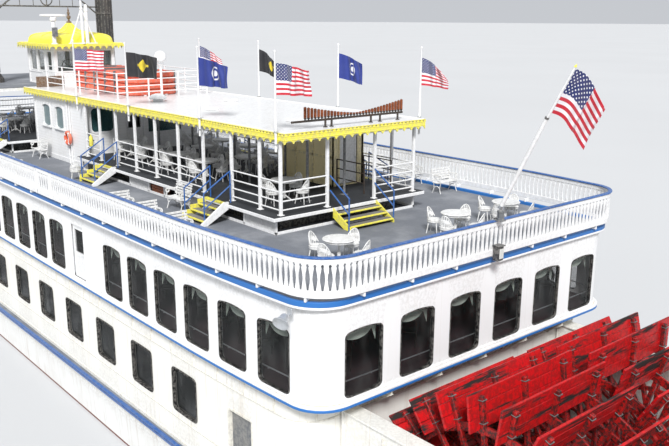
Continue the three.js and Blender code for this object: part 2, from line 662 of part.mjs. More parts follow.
// Pipe rails round the roof aft of the pilothouse, with the stand of the dish dome.
function makeRoofRail() {
  const z0 = ROOF_TOP + GAP;
  const { aft, forward, half, post, bar: barHalf, bays } = ROOF_RAIL;
  const parts = [];
  SIDES.forEach(([, side]) => {
    for (let i = 0; i <= bays; i += 1) {
      const x = aft + (i * (forward - aft)) / bays;
      parts.push(block(x, side * half, post, post, z0, z0 + ROOF_RAIL_TOP));
    }
    ROOF_RAIL_HEIGHTS.forEach((h) => parts.push(barAlong(aft, forward, side * half, z0 + h, barHalf)));
  });
  ROOF_RAIL_HEIGHTS.forEach((h) => parts.push(barAcross(aft, -half, half, z0 + h, barHalf)));
  parts.push(bar([aft, DISH.side, z0], [aft, DISH.side, z0 + DISH.stem], 0.05));
  const ball = new THREE.SphereGeometry(DISH.radius, 12, 8);
  ball.rotateX(Math.PI / 2);
  ball.translate(aft, DISH.side, z0 + DISH.height);
  parts.push(solid(ball));
  piece('bridge_rail', join(parts), WHITE);
}

// Stacked life floats, each layer a little narrower than the one below.
function makeLifeFloats() {
  const z0 = ROOF_TOP + GAP;
  const { first, pitch, length, half, layer, layers, stacks } = FLOATS;
  const taper = 0.02;
  const parts = [box(first + 0.1, first + 5.9, -half / 2, half / 2, z0, z0 + 0.2)];
  for (let i = 0; i < stacks; i += 1) {
    const x = first + i * pitch;
    for (let j = 0; j < layers; j += 1) {
      const y = half - taper * j;
      parts.push(box(x, x + length, -y, y, z0 + j * layer, z0 + (j + 1) * layer + 0.001));
    }
  }
  piece('life_floats', join(parts), ORANGE);
}

function makePilothouse() {
  const { aft, forward, half, sill, head } = PILOTHOUSE;
  const z0 = ROOF_TOP + GAP;
  const z1 = CANOPY - GAP;
  const light = 0.4;
  const door = { aft: aft + 0.3, forward: aft + 1.0, head: head + 0.05 };
  const cuts = [
    box(aft + THIN_WALL, forward - THIN_WALL, -half + THIN_WALL, half - THIN_WALL, 0, FAR),
    ...[-1.0, 0, 1.0].map((y) => box(aft - 1, forward + 1, y - light, y + light, sill, head)),
    ...[aft + 1.65, aft + 2.65].map((x) => box(x - light, x + light, -FAR, FAR, sill, head)),
    box(door.aft, door.forward, 0, FAR, z0 + 0.05, door.head),
    box(door.aft, door.forward, -FAR, 0, sill, head),
  ];
  piece('pilothouse_walls', box(aft, forward, -half, half, z0, z1).subtract(join(cuts)), WHITE);
  const outer = THIN_WALL + GAP;
  const inner = THIN_WALL + 0.02;
  const glazing = box(aft + outer, forward - outer, -half + outer, half - outer, sill - 0.1, head + 0.1)
    .subtract(box(aft + inner, forward - inner, -half + inner, half - inner, 0, FAR))
    .subtract(box(door.aft - 0.1, door.forward + 0.1, 0, FAR, 0, FAR));
  piece('pilothouse_glazing', glazing, GLASS);
  const hinge = door.forward - LEAF_CLEAR;
  const leaf = box(door.aft + LEAF_CLEAR, hinge, half - 0.07, half - 0.01, z0 + 0.07, door.head - 0.02);
  piece('pilothouse_door', leaf.add(barrel(hinge, half - 0.01, z0 + 0.2, head - 0.2)), WHITE);
}

// A low bell on a square-shouldered canopy, with a finial.
function makeDome() {
  const eave = box(EAVE.aft, EAVE.forward, -EAVE.half, EAVE.half, CANOPY, CANOPY + EAVE.deep);
  const { length, half, high } = DOME_BODY;
  const shoulder = CANOPY + EAVE.deep + high;
  const body = box(DOME_STATION - length, DOME_STATION + length, -half, half, CANOPY + 0.1, shoulder);
  const bell = turned(DOME_PROFILE, DOME_STATION, 0, shoulder - 0.02, 16);
  const finial = bar([DOME_STATION, 0, CANOPY + 1.1], [DOME_STATION, 0, CANOPY + 1.9], 0.05, 8, 0.04);
  piece('pilothouse_dome', join([eave, body, bell, finial]), YELLOW);
}

function makeStacks() {
  const z0 = ROOF_TOP + GAP;
  const { station: x, side: y, radius: r, foot, throat, crown } = STACK;
  const height = STACK.top - z0;
  const profile = [
    [0, 0],
    [r + foot, 0],
    [r + foot, 0.25],
    [r, 0.45],
    [r, height - 1.35],
    [r + 0.06, height - 1.3],
    [r + throat, height - 0.9],
    [r + 0.42, height - 0.25],
    [r + crown, height],
    [r + 0.3, height],
    [r + throat, height - 0.4],
    [0, height - 0.4],
  ];
  SIDES.forEach(([name, side]) => piece(`stack_${name}`, turned(profile, x, side * y, z0, 16), BLACK));
  // An arched brace with a tie joins the stacks.
  const { spring, haunch, haunchSide, crown: top, tie } = SPREADER;
  const reach = y - r - GAP;
  const arch = new THREE.CatmullRomCurve3([
    new THREE.Vector3(x, -reach, spring),
    new THREE.Vector3(x, -haunchSide, haunch),
    new THREE.Vector3(x, 0, top),
    new THREE.Vector3(x, haunchSide, haunch),
    new THREE.Vector3(x, reach, spring),
  ]);
  const half = 0.04;
  const section = outline([[-half, -half], [half, -half], [half, half], [-half, half]]);
  const swept = { extrudePath: arch, steps: 12, bevelEnabled: false };
  const brace = solid(new THREE.ExtrudeGeometry(section, swept))
    .intersect(box(x - 1, x + 1, -reach, reach, 0, FAR));
  piece('stack_spreader', join([
    brace,
    bar([x, -reach, tie], [x, reach, tie], half, 6),
    bar([x, 0, tie], [x, 0, top], 0.03, 6),
  ]), BLACK);
}

function makeMastAndRadar() {
  const foot = CANOPY + EAVE.deep + GAP;
  const { station: x, side: y, top, legs, spread, yard } = MAST;
  piece('mast', join([
    bar([x, y, foot], [x, y, top], 0.06, 8, 0.04),
    bar([x, y + spread, foot + 0.03], [x, y, legs], 0.035, 6),
    bar([x, y - spread, foot + 0.03], [x, y, legs], 0.035, 6),
    block(x, y, 0.03, spread + 0.07, foot, foot + 0.05),
    block(x, y, 0.05, spread + 0.05, yard, yard + 0.06),
  ]), WHITE);
  const post = [RADAR.station, RADAR.side];
  piece('radar_post', join([
    bar([...post, foot], [...post, RADAR.head - 0.15], 0.09),
    bar([...post, RADAR.head - 0.2], [...post, RADAR.head], 0.16, 10),
  ]), WHITE);
  const scanner = block(...post, 0.1, RADAR.half, RADAR.scanner, RADAR.scanner + 0.11);
  const spindle = bar([...post, RADAR.head + GAP], [...post, RADAR.scanner + 0.03], 0.06, 10);
  piece('radar_scanner', scanner.add(spindle), WHITE);
}

// A row of steam whistles in a shallow vee, on a pipe carried by posts.
function makeCalliope() {
  const { station: x, height: z, port, span, count, pipe } = CALLIOPE;
  const parts = [box(x - 0.05, x + 0.05, port - span - 0.1, pipe, z - 0.05, z + 0.02)];
  for (let i = 0; i < count; i += 1) {
    const t = i / (count - 1);
    const height = 0.12 + 0.3 * Math.abs(2 * t - 1) ** 1.3;
    const y = port - span * t;
    parts.push(bar([x, y, z], [x, y, z + height], 0.05, 6));
  }
  CALLIOPE_POSTS.forEach((y) => parts.push(bar([x, y, ROOF_TOP + GAP], [x, y, z], 0.04, 6)));
  piece('calliope', join(parts), COPPER);
}

// A flagstaff clamped to the roof's edge, with its flag.
function flagstaff(x, side) {
  const { radius, foot, top } = FLAGSTAFF;
  const y = side * (ROOF.half + radius + GAP);
  const cloth = new THREE.BoxGeometry(FLAG.length, FLAG.thick, FLAG.height);
  cloth.translate(-FLAG.length / 2, 0, top - FLAG.below - FLAG.height / 2);
  cloth.rotateZ(WIND);
  cloth.translate(x, y, 0);
  return bar([x, y, foot], [x, y, top], radius).add(solid(cloth));
}

// The ensign staff is bent at its foot and leans out over the wheel.
function makeEnsign() {
  const z = RAIL_TOP + GAP;
  const [x, y, bend] = ENSIGN_FOOT;
  piece('ensign_staff', join([
    bar([x, y, z], ENSIGN_FOOT, 0.06),
    bar([x, y, bend - 0.05], ENSIGN_JOINT, 0.06, 8, 0.05),
    bar(ENSIGN_UPPER, ENSIGN_TIP, 0.035),
  ]), WHITE);
  const foot = new THREE.Vector3(...ENSIGN_UPPER);
  const tip = new THREE.Vector3(...ENSIGN_TIP);
  const along = tip.clone().sub(foot);
  const low = foot.clone().addScaledVector(along, ENSIGN.low);
  const high = foot.clone().addScaledVector(along, ENSIGN.high);
  const away = new THREE.Vector3(...ENSIGN_FALL).normalize().multiplyScalar(ENSIGN.length);
  const sheet = [low, high].flatMap((p) => [p, p.clone().add(away)]);
  const across = new THREE.Vector3().crossVectors(along, away).normalize();
  across.multiplyScalar(ENSIGN.thick / 2);
  const cloth = new THREE.BufferGeometry().setFromPoints(
    [-1, 1].flatMap((face) => sheet.map((p) => p.clone().addScaledVector(across, face))),
  );
  cloth.setIndex([
    0, 3, 2, 0, 1, 3,
    4, 6, 7, 4, 7, 5,
    0, 5, 1, 0, 4, 5,
    2, 7, 6, 2, 3, 7,
    0, 6, 4, 0, 2, 6,
    1, 7, 3, 1, 5, 7,
  ]);
  const sleeve = bar(
    foot.clone().addScaledVector(along, -0.5).toArray(),
    tip.clone().addScaledVector(along, 0.5).toArray(),
    0.0358,
  );
  piece('ensign', solid(cloth).subtract(sleeve), CLOTH);
}

function makeFlags() {
  FLAGSTAFF_STATIONS.forEach((x, i) => {
    SIDES.forEach(([name, side]) => piece(`flagstaff_${name}_${i + 1}`, flagstaff(x, side), WHITE));
  });
  makeEnsign();
}

// The stern wheel: a shaft, hubs, wheel frames with arms and hoops, and bucket planks.
function makeWheel() {
  const { station, height, radius, half, buckets } = WHEEL;
  const across = (y0, y1, r, sides) => bar([station, y0, height], [station, y1, height], r, sides);
  const pitch = (2 * Math.PI) / buckets;
  // A box of the wheel's, set out from the shaft and turned to its bucket's place.
  const spoke = (x0, x1, y0, y1, z, thick, turn) => {
    const geometry = new THREE.BoxGeometry(x1 - x0, y1 - y0, thick);
    geometry.translate((x0 + x1) / 2, (y0 + y1) / 2, z);
    geometry.rotateY(-turn * pitch);
    geometry.translate(station, 0, height);
    return solid(geometry);
  };
  const parts = [across(-SHAFT.half, SHAFT.half, SHAFT.radius, 12)];
  WHEEL_FRAMES.forEach((y) => {
    const shift = y > 0 ? 0.5 : 0;
    parts.push(across(y - WHEEL_HUB.half, y + WHEEL_HUB.half, WHEEL_HUB.radius, 12));
    parts.push(across(y - WHEEL_HOOP.half, y + WHEEL_HOOP.half, WHEEL_HOOP.outer, 16)
      .subtract(across(y - 1, y + 1, WHEEL_HOOP.inner, 16)));
    const { count, inner, outer, deep, thick } = WHEEL_ARM;
    for (let i = 0; i < count; i += 1) {
      const turn = (i * buckets) / count + shift;
      parts.push(spoke(inner, outer, y - thick / 2, y + thick / 2, 0, deep, turn));
    }
  });
  const { deep, thick, trail, apart } = PLANK;
  [[-half, -apart, 0], [apart, half, 0.5]].forEach(([y0, y1, shift]) => {
    for (let i = 0; i < buckets; i += 1) {
      parts.push(spoke(radius - deep, radius, y0, y1, -trail, thick, i + shift));
    }
  });
  piece('paddle_wheel', join(parts), RED);
}

// Deep beams carry the wheel's shaft on each quarter.
function makeWheelBeams() {
  const { root, tip, inner, thick, head, foot } = WHEEL_BEAM;
  const shape = new THREE.Shape();
  shape.moveTo(root - GAP, foot);
  shape.lineTo(root - GAP, head);
  shape.lineTo(tip + 0.8, head);
  shape.quadraticCurveTo(tip + 0.1, head - 0.1, tip, head - 1.2);
  shape.lineTo(tip, foot + 1.4);
  shape.quadraticCurveTo(tip + 0.1, foot + 1.0, tip + 0.8, foot + 0.9);
  SIDES.forEach(([name, side]) => {
    const y0 = side > 0 ? inner : -inner - thick;
    const { station, height } = WHEEL;
    const bore = bar([station, y0 - 1, height], [station, y0 + thick + 1, height], SHAFT.bore, 48);
    piece(`wheel_beam_${name}`, slab(shape, y0, y0 + thick).subtract(bore), CREAM);
  });
}

function makeRudders() {
  const { station, side: off, aft, forward, foot, head, half } = RUDDER;
  SIDES.forEach(([name, side]) => {
    const y = side * off;
    const blade = box(aft, forward, y - half, y + half, foot, head);
    const stock = bar([station, y, head - half], [station, y, RUDDER_STOCK.top], RUDDER_STOCK.radius, 12);
    piece(`rudder_${name}`, blade.add(stock), BLACK);
  });
}

function makeBowGear() {
  const z0 = MAIN_DECK + GAP;
  const staffAt = [JACKSTAFF.station, 0];
  piece('jackstaff', join([
    bar([...staffAt, z0], [...staffAt, JACKSTAFF.top], 0.09, 8, 0.05),
    bar([...staffAt, z0], [...staffAt, z0 + 0.3], 0.2, 10),
  ]), WHITE);
  piece('capstan', turned(CAPSTAN_PROFILE, CAPSTAN_STATION, 0, z0, 14), BLACK);
  const { aft, forward, side: off, radius, top } = BITTS;
  SIDES.forEach(([name, side]) => {
    const y = side * off;
    piece(`bitts_${name}`, join([
      bar([aft, y, z0], [aft, y, top], radius, 10),
      bar([forward, y, z0], [forward, y, top], radius, 10),
      box(aft - 0.3, forward + 0.3, y - 0.2, y + 0.2, z0, z0 + 0.08),
      box(aft - 0.2, forward + 0.2, y - 0.06, y + 0.06, top - 0.3, top - 0.18),
    ]), BLACK);
  });
  piece('engine', box(ENGINE.aft, ENGINE.forward, -ENGINE.half, ENGINE.half, z0, ENGINE.top), STEEL);
}

makeHull();
makeMainDeck();
makeMainCabin();
makeSecondDeck();
makeSaloon();
makePromenadeDeck();
makePromenadeRail();
makePlatforms();
SIDES.forEach(([name, side]) => makeRoofPosts(name, side));
makeRoof();
makeDeckhouse();
makeCompanion();
makeBridgeDeck();
makeRoofRail();
makeLifeFloats();
makePilothouse();
makeDome();
makeStacks();
makeMastAndRadar();
makeCalliope();
makeFlags();
makeWheel();
makeWheelBeams();
makeRudders();
makeBowGear();

export default group;
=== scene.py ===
"""A stern-wheel river steamer at half of full size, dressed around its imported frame.

Sizes are the full-size boat's, in metres. Stations run forward from the saloon's stern
wall, y runs to port and z stands above the waterline. Every mesh is brought to the
model's frame when it is made.
"""

import json
import logging
from dataclasses import dataclass, field
from enum import Enum
from functools import lru_cache

import bpy
import numpy as np
from mathutils import Matrix

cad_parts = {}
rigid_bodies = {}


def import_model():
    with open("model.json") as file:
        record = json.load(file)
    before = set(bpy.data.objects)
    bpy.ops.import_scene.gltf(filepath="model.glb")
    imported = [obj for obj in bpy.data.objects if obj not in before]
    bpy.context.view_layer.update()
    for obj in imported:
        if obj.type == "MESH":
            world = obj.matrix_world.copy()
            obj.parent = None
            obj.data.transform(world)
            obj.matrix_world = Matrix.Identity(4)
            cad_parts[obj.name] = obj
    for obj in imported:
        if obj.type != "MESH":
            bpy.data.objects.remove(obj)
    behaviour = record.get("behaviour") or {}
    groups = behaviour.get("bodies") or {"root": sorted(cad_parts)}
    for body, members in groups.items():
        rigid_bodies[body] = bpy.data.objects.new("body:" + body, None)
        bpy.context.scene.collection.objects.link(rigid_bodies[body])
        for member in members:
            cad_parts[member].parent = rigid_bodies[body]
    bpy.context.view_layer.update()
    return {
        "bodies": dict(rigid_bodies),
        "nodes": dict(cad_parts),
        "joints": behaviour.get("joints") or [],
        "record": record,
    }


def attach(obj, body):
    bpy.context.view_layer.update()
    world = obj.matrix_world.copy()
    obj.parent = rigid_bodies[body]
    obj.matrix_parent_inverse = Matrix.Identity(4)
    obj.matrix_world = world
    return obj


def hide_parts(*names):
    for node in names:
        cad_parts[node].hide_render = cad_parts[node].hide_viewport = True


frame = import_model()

log = logging.getLogger("steamer")
Array = np.ndarray
Colour = tuple[float, float, float]

SCALE = 0.5
STERN = -22.0

# Heights above the waterline
MAIN_DECK = 1.8
SECOND_UNDER, SECOND_DECK = 5.2, 5.34
PROMENADE_UNDER, PROMENADE, COAMING = 7.77, 7.86, 7.96
RAIL_TOP = 9.05
RAISED = 8.46
ROOF_UNDER, ROOF_TOP = 10.75, 10.95
CANOPY = 12.8
GAP = 0.0006

STERN_PITCH = 1.8288
BEAM_PITCH = 0.83
BOTH = (1.0, -1.0)
SIDES = ((1.0, "port"), (-1.0, "starboard"))


def to_model(points: Array) -> Array:
    """Full-size points in the model's frame: the station less its offset, halved."""
    return (np.asarray(points, float) + (STERN, 0.0, 0.0)) * SCALE


# ---------------------------------------------------------------- shapes


@dataclass
class Shape:
    """Closed faces, kept as whole arrays.

    Args:
        points: One row of x, y, z for each corner.
        faces: Arrays of corner numbers, one row for each face.
        uv: One row of u, v for each corner, if the pattern follows the surface.
    """

    points: Array
    faces: list[Array]
    uv: Array | None = None

    def volume(self) -> float:
        """Signed volume: the sum of corner a dot (b cross c) over fans of each face."""
        total = 0.0
        for rows in self.faces:
            first = self.points[rows[:, 0]]
            for i in range(1, rows.shape[1] - 1):
                edge = np.cross(self.points[rows[:, i]], self.points[rows[:, i + 1]])
                total += float(np.einsum("ij,ij->", first, edge))
        return total

    def outward(self) -> "Shape":
        """The same shape with its faces turned so that they point out."""
        if self.volume() < 0:
            self.faces = [rows[:, ::-1] for rows in self.faces]
        return self

    def moved(self, x: float = 0, y: float = 0, z: float = 0) -> "Shape":
        """The shape carried by x, y and z."""
        return Shape(self.points + (x, y, z), self.faces, self.uv)

    def mirrored(self) -> "Shape":
        """The shape on the other side of the centreline."""
        return Shape(self.points * (1, -1, 1), [r[:, ::-1] for r in self.faces], self.uv)

    def turned(self, degrees: float, axis: str = "Z") -> "Shape":
        """The shape turned about an axis through its origin."""
        turn = np.array(Matrix.Rotation(np.radians(degrees), 3, axis))
        return Shape(self.points @ turn.T, self.faces, self.uv)

    def copies(self, places: Array, turns: Array | None = None) -> "Shape":
        """The shape repeated: each copy is turned by its 3 by 3 matrix, then moved.

        Args:
            places: One row of x, y, z for each copy.
            turns: One 3 by 3 matrix for each copy, or None.

        Returns:
            All the copies as one shape.
        """
        places = np.atleast_2d(np.asarray(places, float))
        count, size = len(places), len(self.points)
        if turns is None:
            points = self.points[None] + places[:, None]
        else:
            points = np.einsum("nij,kj->nki", turns, self.points) + places[:, None]
        steps = np.arange(count) * size
        faces = [(rows[None] + steps[:, None, None]).reshape(-1, rows.shape[1]) for rows in self.faces]
        uv = None if self.uv is None else np.tile(self.uv, (count, 1))
        return Shape(points.reshape(-1, 3), faces, uv)


def joined(shapes: list[Shape]) -> Shape:
    """Several shapes as one, their corners numbered one after another."""
    faces: dict[int, list[Array]] = {}
    start = 0
    for shape in shapes:
        for rows in shape.faces:
            faces.setdefault(rows.shape[1], []).append(rows + start)
        start += len(shape.points)
    uv = None
    if all(shape.uv is not None for shape in shapes):
        uv = np.concatenate([shape.uv for shape in shapes])
    points = np.concatenate([shape.points for shape in shapes])
    return Shape(points, [np.concatenate(rows) for rows in faces.values()], uv)


def lifted(plan, z) -> Array:
    """Plan places (x, y) given a height."""
    plan = np.asarray(plan, float)
    return np.concatenate([plan, np.full((len(plan), 1), z)], axis=1)


def spread(x, y, z) -> Array:
    """Places from lists of x, y and z, where a single number stands for a whole list."""
    return np.stack(np.broadcast_arrays(x, y, z), axis=-1).astype(float)


def circle(centre, radius, turn: Array, plane: str = "xy") -> Array:
    """Points about a centre, at angles in radians from the plane's first axis to its second."""
    points = np.tile(np.asarray(centre, float), (len(turn), 1))
    points[:, "xyz".index(plane[0])] += radius * np.cos(turn)
    points[:, "xyz".index(plane[1])] += radius * np.sin(turn)
    return points


def angles(count: int) -> Array:
    """Angles in radians that share a full turn evenly."""
    return np.arange(count) * 2 * np.pi / count


def _board_template() -> tuple[Array, Array, list[Array]]:
    """Corner signs, face axes and faces of a box with every edge planed off."""
    corners = np.array([(x, y, z) for x in (-1, 1) for y in (-1, 1) for z in (-1, 1)])
    signs = np.repeat(corners, 3, axis=0)
    axes = np.tile(np.arange(3), 8)
    ids = {(tuple(c), a): 3 * i + a for i, c in enumerate(corners.tolist()) for a in range(3)}
    faces: dict[int, list[list[int]]] = {3: [], 4: []}
    for a in range(3):
        b, c = (a + 1) % 3, (a + 2) % 3

        def corner(sa: int, sb: int, sc: int, axis: int) -> int:
            place = [0, 0, 0]
            place[a], place[b], place[c] = sa, sb, sc
            return ids[(tuple(place), axis)]

        for s in (-1, 1):
            faces[4].append([corner(s, p, q, a) for p, q in ((-1, -1), (1, -1), (1, 1), (-1, 1))])
            for t in (-1, 1):
                faces[4].append([corner(s, t, p, q) for p, q in ((-1, a), (-1, b), (1, b), (1, a))])
    faces[3] = [[ids[(tuple(c), a)] for a in range(3)] for c in corners.tolist()]
    points = signs * (1.0 - 0.2 * (1.0 - np.eye(3)[axes]))
    turned = []
    for rows in (np.array(faces[4]), np.array(faces[3])):
        normal = np.cross(points[rows[:, 1]] - points[rows[:, 0]], points[rows[:, 2]] - points[rows[:, 1]])
        inward = np.einsum("ij,ij->i", normal, points[rows].mean(axis=1)) < 0
        turned.append(np.where(inward[:, None], rows[:, ::-1], rows))
    return signs, axes, turned


BOARD_SIGNS, BOARD_AXES, BOARD_FACES = _board_template()


def blocks(centres, halves, axes: Array | None = None, edge: float = 0.006) -> Shape:
    """Boards with planed edges: centre + axes * (sign * (half size - edge off the face)).

    Args:
        centres: One row of x, y, z for each board.
        halves: Half sizes, one row for each board or one for all.
        axes: One 3 by 3 matrix for each board, its columns the board's own axes.
        edge: Width of the planed edge.

    Returns:
        The boards as one shape.
    """
    centres = np.atleast_2d(np.asarray(centres, float))
    count = len(centres)
    halves = np.broadcast_to(np.atleast_2d(np.asarray(halves, float)), (count, 3))
    edges = np.minimum(edge, halves.min(axis=1) * 0.6)
    off = 1.0 - np.eye(3)[BOARD_AXES]
    local = BOARD_SIGNS[None] * (halves[:, None] - off[None] * edges[:, None, None])
    if axes is not None:
        local = np.einsum("nij,nkj->nki", np.broadcast_to(axes, (count, 3, 3)), local)
    steps = np.arange(count) * 24
    faces = [(f[None] + steps[:, None, None]).reshape(-1, f.shape[1]) for f in BOARD_FACES]
    return Shape((local + centres[:, None]).reshape(-1, 3), faces).outward()


def board(x0, x1, y0, y1, z0, z1, edge: float = 0.006) -> Shape:
    """One board with planed edges between two corners."""
    low, high = np.array([x0, y0, z0], float), np.array([x1, y1, z1], float)
    return blocks([(low + high) / 2], [(high - low) / 2], edge=edge)


def frames_along(starts: Array, ends: Array, up=(0, 0, 1)) -> tuple[Array, Array, Array]:
    """Middles, lengths and axes (along, across, up) of straight runs between points."""
    run = ends - starts
    length = np.linalg.norm(run, axis=1)
    along = run / length[:, None]
    across = np.cross(np.broadcast_to(np.asarray(up, float), along.shape), along)
    size = np.linalg.norm(across, axis=1)
    across[size < 1e-6] = (0, 1, 0)
    across /= np.linalg.norm(across, axis=1)[:, None]
    return (starts + ends) / 2, length, np.stack([along, across, np.cross(along, across)], axis=2)


def beams(starts, ends, width: float, depth: float, up=(0, 0, 1), edge: float = 0.006) -> Shape:
    """Square timbers between points, width across and depth along the up direction."""
    starts = np.atleast_2d(np.asarray(starts, float))
    ends = np.atleast_2d(np.asarray(ends, float))
    middles, length, axes = frames_along(starts, ends, up)
    ones = np.ones(len(length))
    halves = np.stack([length / 2, ones * width / 2, ones * depth / 2], axis=1)
    return blocks(middles, halves, axes, edge)


def rods(starts, ends, radius: float, sides: int = 8, tip: float | None = None) -> Shape:
    """Round bars between points: two circles about each axis, joined and capped."""
    starts = np.atleast_2d(np.asarray(starts, float))
    ends = np.atleast_2d(np.asarray(ends, float))
    _, _, axes = frames_along(starts, ends)
    spokes = np.einsum("nij,kj->nki", axes, circle((0, 0, 0), 1.0, angles(sides), "yz"))
    foot = starts[:, None] + spokes * radius
    head = ends[:, None] + spokes * (radius if tip is None else tip)
    points = np.concatenate([foot, head], axis=1)
    i = np.arange(sides)
    j = (i + 1) % sides
    walls = np.stack([i, j, j + sides, i + sides], axis=1)
    caps = np.stack([i[::-1], i + sides])
    steps = np.arange(len(starts)) * 2 * sides
    faces = [(f[None] + steps[:, None, None]).reshape(-1, f.shape[1]) for f in (walls, caps)]
    return Shape(points.reshape(-1, 3), faces).outward()


def pipe_rails(runs, heights, radius: float = 0.024) -> Shape:
    """Round rails at each height along each run, which is given as the plan of its two ends."""
    starts, ends = ([(*run[end], z) for run in runs for z in heights] for end in (0, 1))
    return rods(starts, ends, radius)


def leaf_frame(run, face, heights, stile: float, kick: float, top: float, lock, athwart: bool = False) -> Shape:
    """Frame of a door leaf: two stiles, and the kick, top and lock rails between them.

    Args:
        run: Its two ends along the wall.
        face: Its two faces across the wall.
        heights: Its foot and its head.
        stile: Width of a stile.
        kick, top: Depths of the kick rail and the top rail.
        lock: Foot and head of the lock rail.
        athwart: Whether the wall runs across the boat.
    """
    (start, stop), (foot, head) = run, heights
    inner = (start + stile, stop - stile)
    bars = [(start, inner[0], foot, head), (inner[1], stop, foot, head), (*inner, foot, foot + kick),
            (*inner, head - top, head), (*inner, *lock)]
    return joined([board(*face, a, b, c, d) if athwart else board(a, b, *face, c, d) for a, b, c, d in bars])


def sweep(path, section, closed: bool = False, up=(0, 0, 1)) -> Shape:
    """A section carried along a path: path + side * u + up * v at every step.

    Args:
        path: Points of the path.
        section: Corners of the section as (side, up) pairs, in order round it.
        closed: Whether the path joins its own start.
        up: The direction that the section's second number follows.

    Returns:
        The swept solid, with its ends capped if the path is open.
    """
    path, section = np.asarray(path, float), np.asarray(section, float)
    if closed:
        tangent = np.roll(path, -1, axis=0) - np.roll(path, 1, axis=0)
    else:
        tangent = np.gradient(path, axis=0)
    tangent /= np.linalg.norm(tangent, axis=1)[:, None]
    side = np.cross(np.asarray(up, float), tangent)
    side /= np.linalg.norm(side, axis=1)[:, None]
    lift = np.cross(tangent, side)
    points = path[:, None] + side[:, None] * section[None, :, :1] + lift[:, None] * section[None, :, 1:]
    if not closed:
        return tube(points)
    return Shape(points.reshape(-1, 3), [grid_faces(len(path), len(section), True, True)]).outward()


def grid_faces(rows: int, columns: int, wrap_rows: bool = False, wrap_columns: bool = False) -> Array:
    """Four-cornered faces of a grid of points numbered row by row."""
    i = np.arange(rows if wrap_rows else rows - 1)[:, None]
    j = np.arange(columns if wrap_columns else columns - 1)[None]
    a, b = i * columns, ((i + 1) % rows) * columns
    k = (j + 1) % columns
    return np.stack([a + j, a + k, b + k, b + j], axis=-1).reshape(-1, 4)


def tube(rings: Array) -> Shape:
    """A skin over equal rings of points, with a cap on the first and on the last."""
    rows, columns = rings.shape[:2]
    loop = np.arange(columns)
    caps = np.stack([loop[::-1], (rows - 1) * columns + loop])
    return Shape(rings.reshape(-1, 3), [grid_faces(rows, columns, False, True), caps]).outward()


def shell(near: Array, far: Array, columns: int, rows: int, uv: Array) -> Shape:
    """A thin sheet: two skins, each a grid of points, and the strip that joins their edges.

    Args:
        near, far: The points of each skin, column by column.
        columns, rows: Size of the grid.
        uv: Pattern coordinates of one skin.

    Returns:
        The closed sheet.
    """
    size, i, j = columns * rows, np.arange(columns - 1) * rows, np.arange(rows - 1)
    rim = np.concatenate([
        np.stack([i, i + rows], 1), np.stack([i + 2 * rows - 1, i + rows - 1], 1),
        np.stack([j + 1, j], 1), np.stack([size - rows + j, size - rows + j + 1], 1),
    ])
    edge = np.stack([rim[:, 0], rim[:, 1], rim[:, 1] + size, rim[:, 0] + size], axis=1)
    face = grid_faces(columns, rows)
    faces = np.concatenate([face, face[:, ::-1] + size, edge])
    return Shape(np.concatenate([near, far]), [faces], np.tile(uv, (2, 1))).outward()


def circle_section(radius: float, sides: int = 8) -> Array:
    """Corners of a round section."""
    return circle((0, 0, 0), radius, angles(sides))[:, :2]


def box_section(width: float, height: float, edge: float = 0.008, foot: float = 0.0) -> Array:
    """Corners of an oblong section with planed corners, its lowest edge at foot."""
    w, h = width / 2, height
    return np.array([
        (-w + edge, 0), (w - edge, 0), (w, edge), (w, h - edge),
        (w - edge, h), (-w + edge, h), (-w, h - edge), (-w, edge),
    ]) + (0, foot)


def lathe(profile, centre=(0, 0, 0), sides: int = 24, axis: str = "Z") -> Shape:
    """A profile of (radius, height) pairs turned about an axis, closed at both ends."""
    profile = np.asarray(profile, float)
    turn, radius = angles(sides), np.maximum(profile[:, 0], 0.001)[:, None]
    height = np.repeat(profile[:, 1:], sides, axis=1)
    shape = tube(np.stack([radius * np.cos(turn), radius * np.sin(turn), height], axis=-1))
    if axis == "Y":
        shape = Shape(shape.points[:, [0, 2, 1]], shape.faces).outward()
    return shape.moved(*centre)


def prism(outline, low: float, high: float, plane: str = "xy") -> Shape:
    """An outline of (u, v) corners raised from low to high along the third axis."""
    order = {"xy": (0, 1, 2), "xz": (0, 2, 1), "yz": (2, 0, 1)}[plane]
    return tube(np.stack([lifted(outline, third)[:, order] for third in (low, high)]))


def thicken(flat: Array, faces: Array, outer, inner) -> Shape:
    """A flat pattern given two skins and the edges between them.

    Args:
        flat: Pattern points as (u, v) rows.
        faces: Faces of the pattern.
        outer: Function from the pattern's points to the outer skin.
        inner: Function from the pattern's points to the inner skin.

    Returns:
        The closed wall: both skins, and a strip along each edge that one face has.
    """
    skin = outer(flat)
    _, first, same = np.unique(np.round(skin, 5), axis=0, return_index=True, return_inverse=True)
    same = same.reshape(-1)
    kept, faces = flat[first], same[faces]
    size = faces.shape[1]
    edges = np.concatenate([faces[:, [i, (i + 1) % size]] for i in range(size)])
    key = np.sort(edges, axis=1)
    _, start, counts = np.unique(key, axis=0, return_index=True, return_counts=True)
    rim = edges[start[counts == 1]]
    count = len(kept)
    walls = np.stack([rim[:, 1], rim[:, 0], rim[:, 0] + count, rim[:, 1] + count], axis=1)
    points = np.concatenate([outer(kept), inner(kept)])
    return Shape(points, [faces, faces[:, ::-1] + count, walls]).outward()


def arc(centre, radius: float, start: float, stop: float, count: int = 8) -> Array:
    """Points of an arc in a plane, between two angles in degrees."""
    turn = np.radians(np.linspace(start, stop, count))
    return np.asarray(centre) + radius * np.stack([np.cos(turn), np.sin(turn)], axis=1)


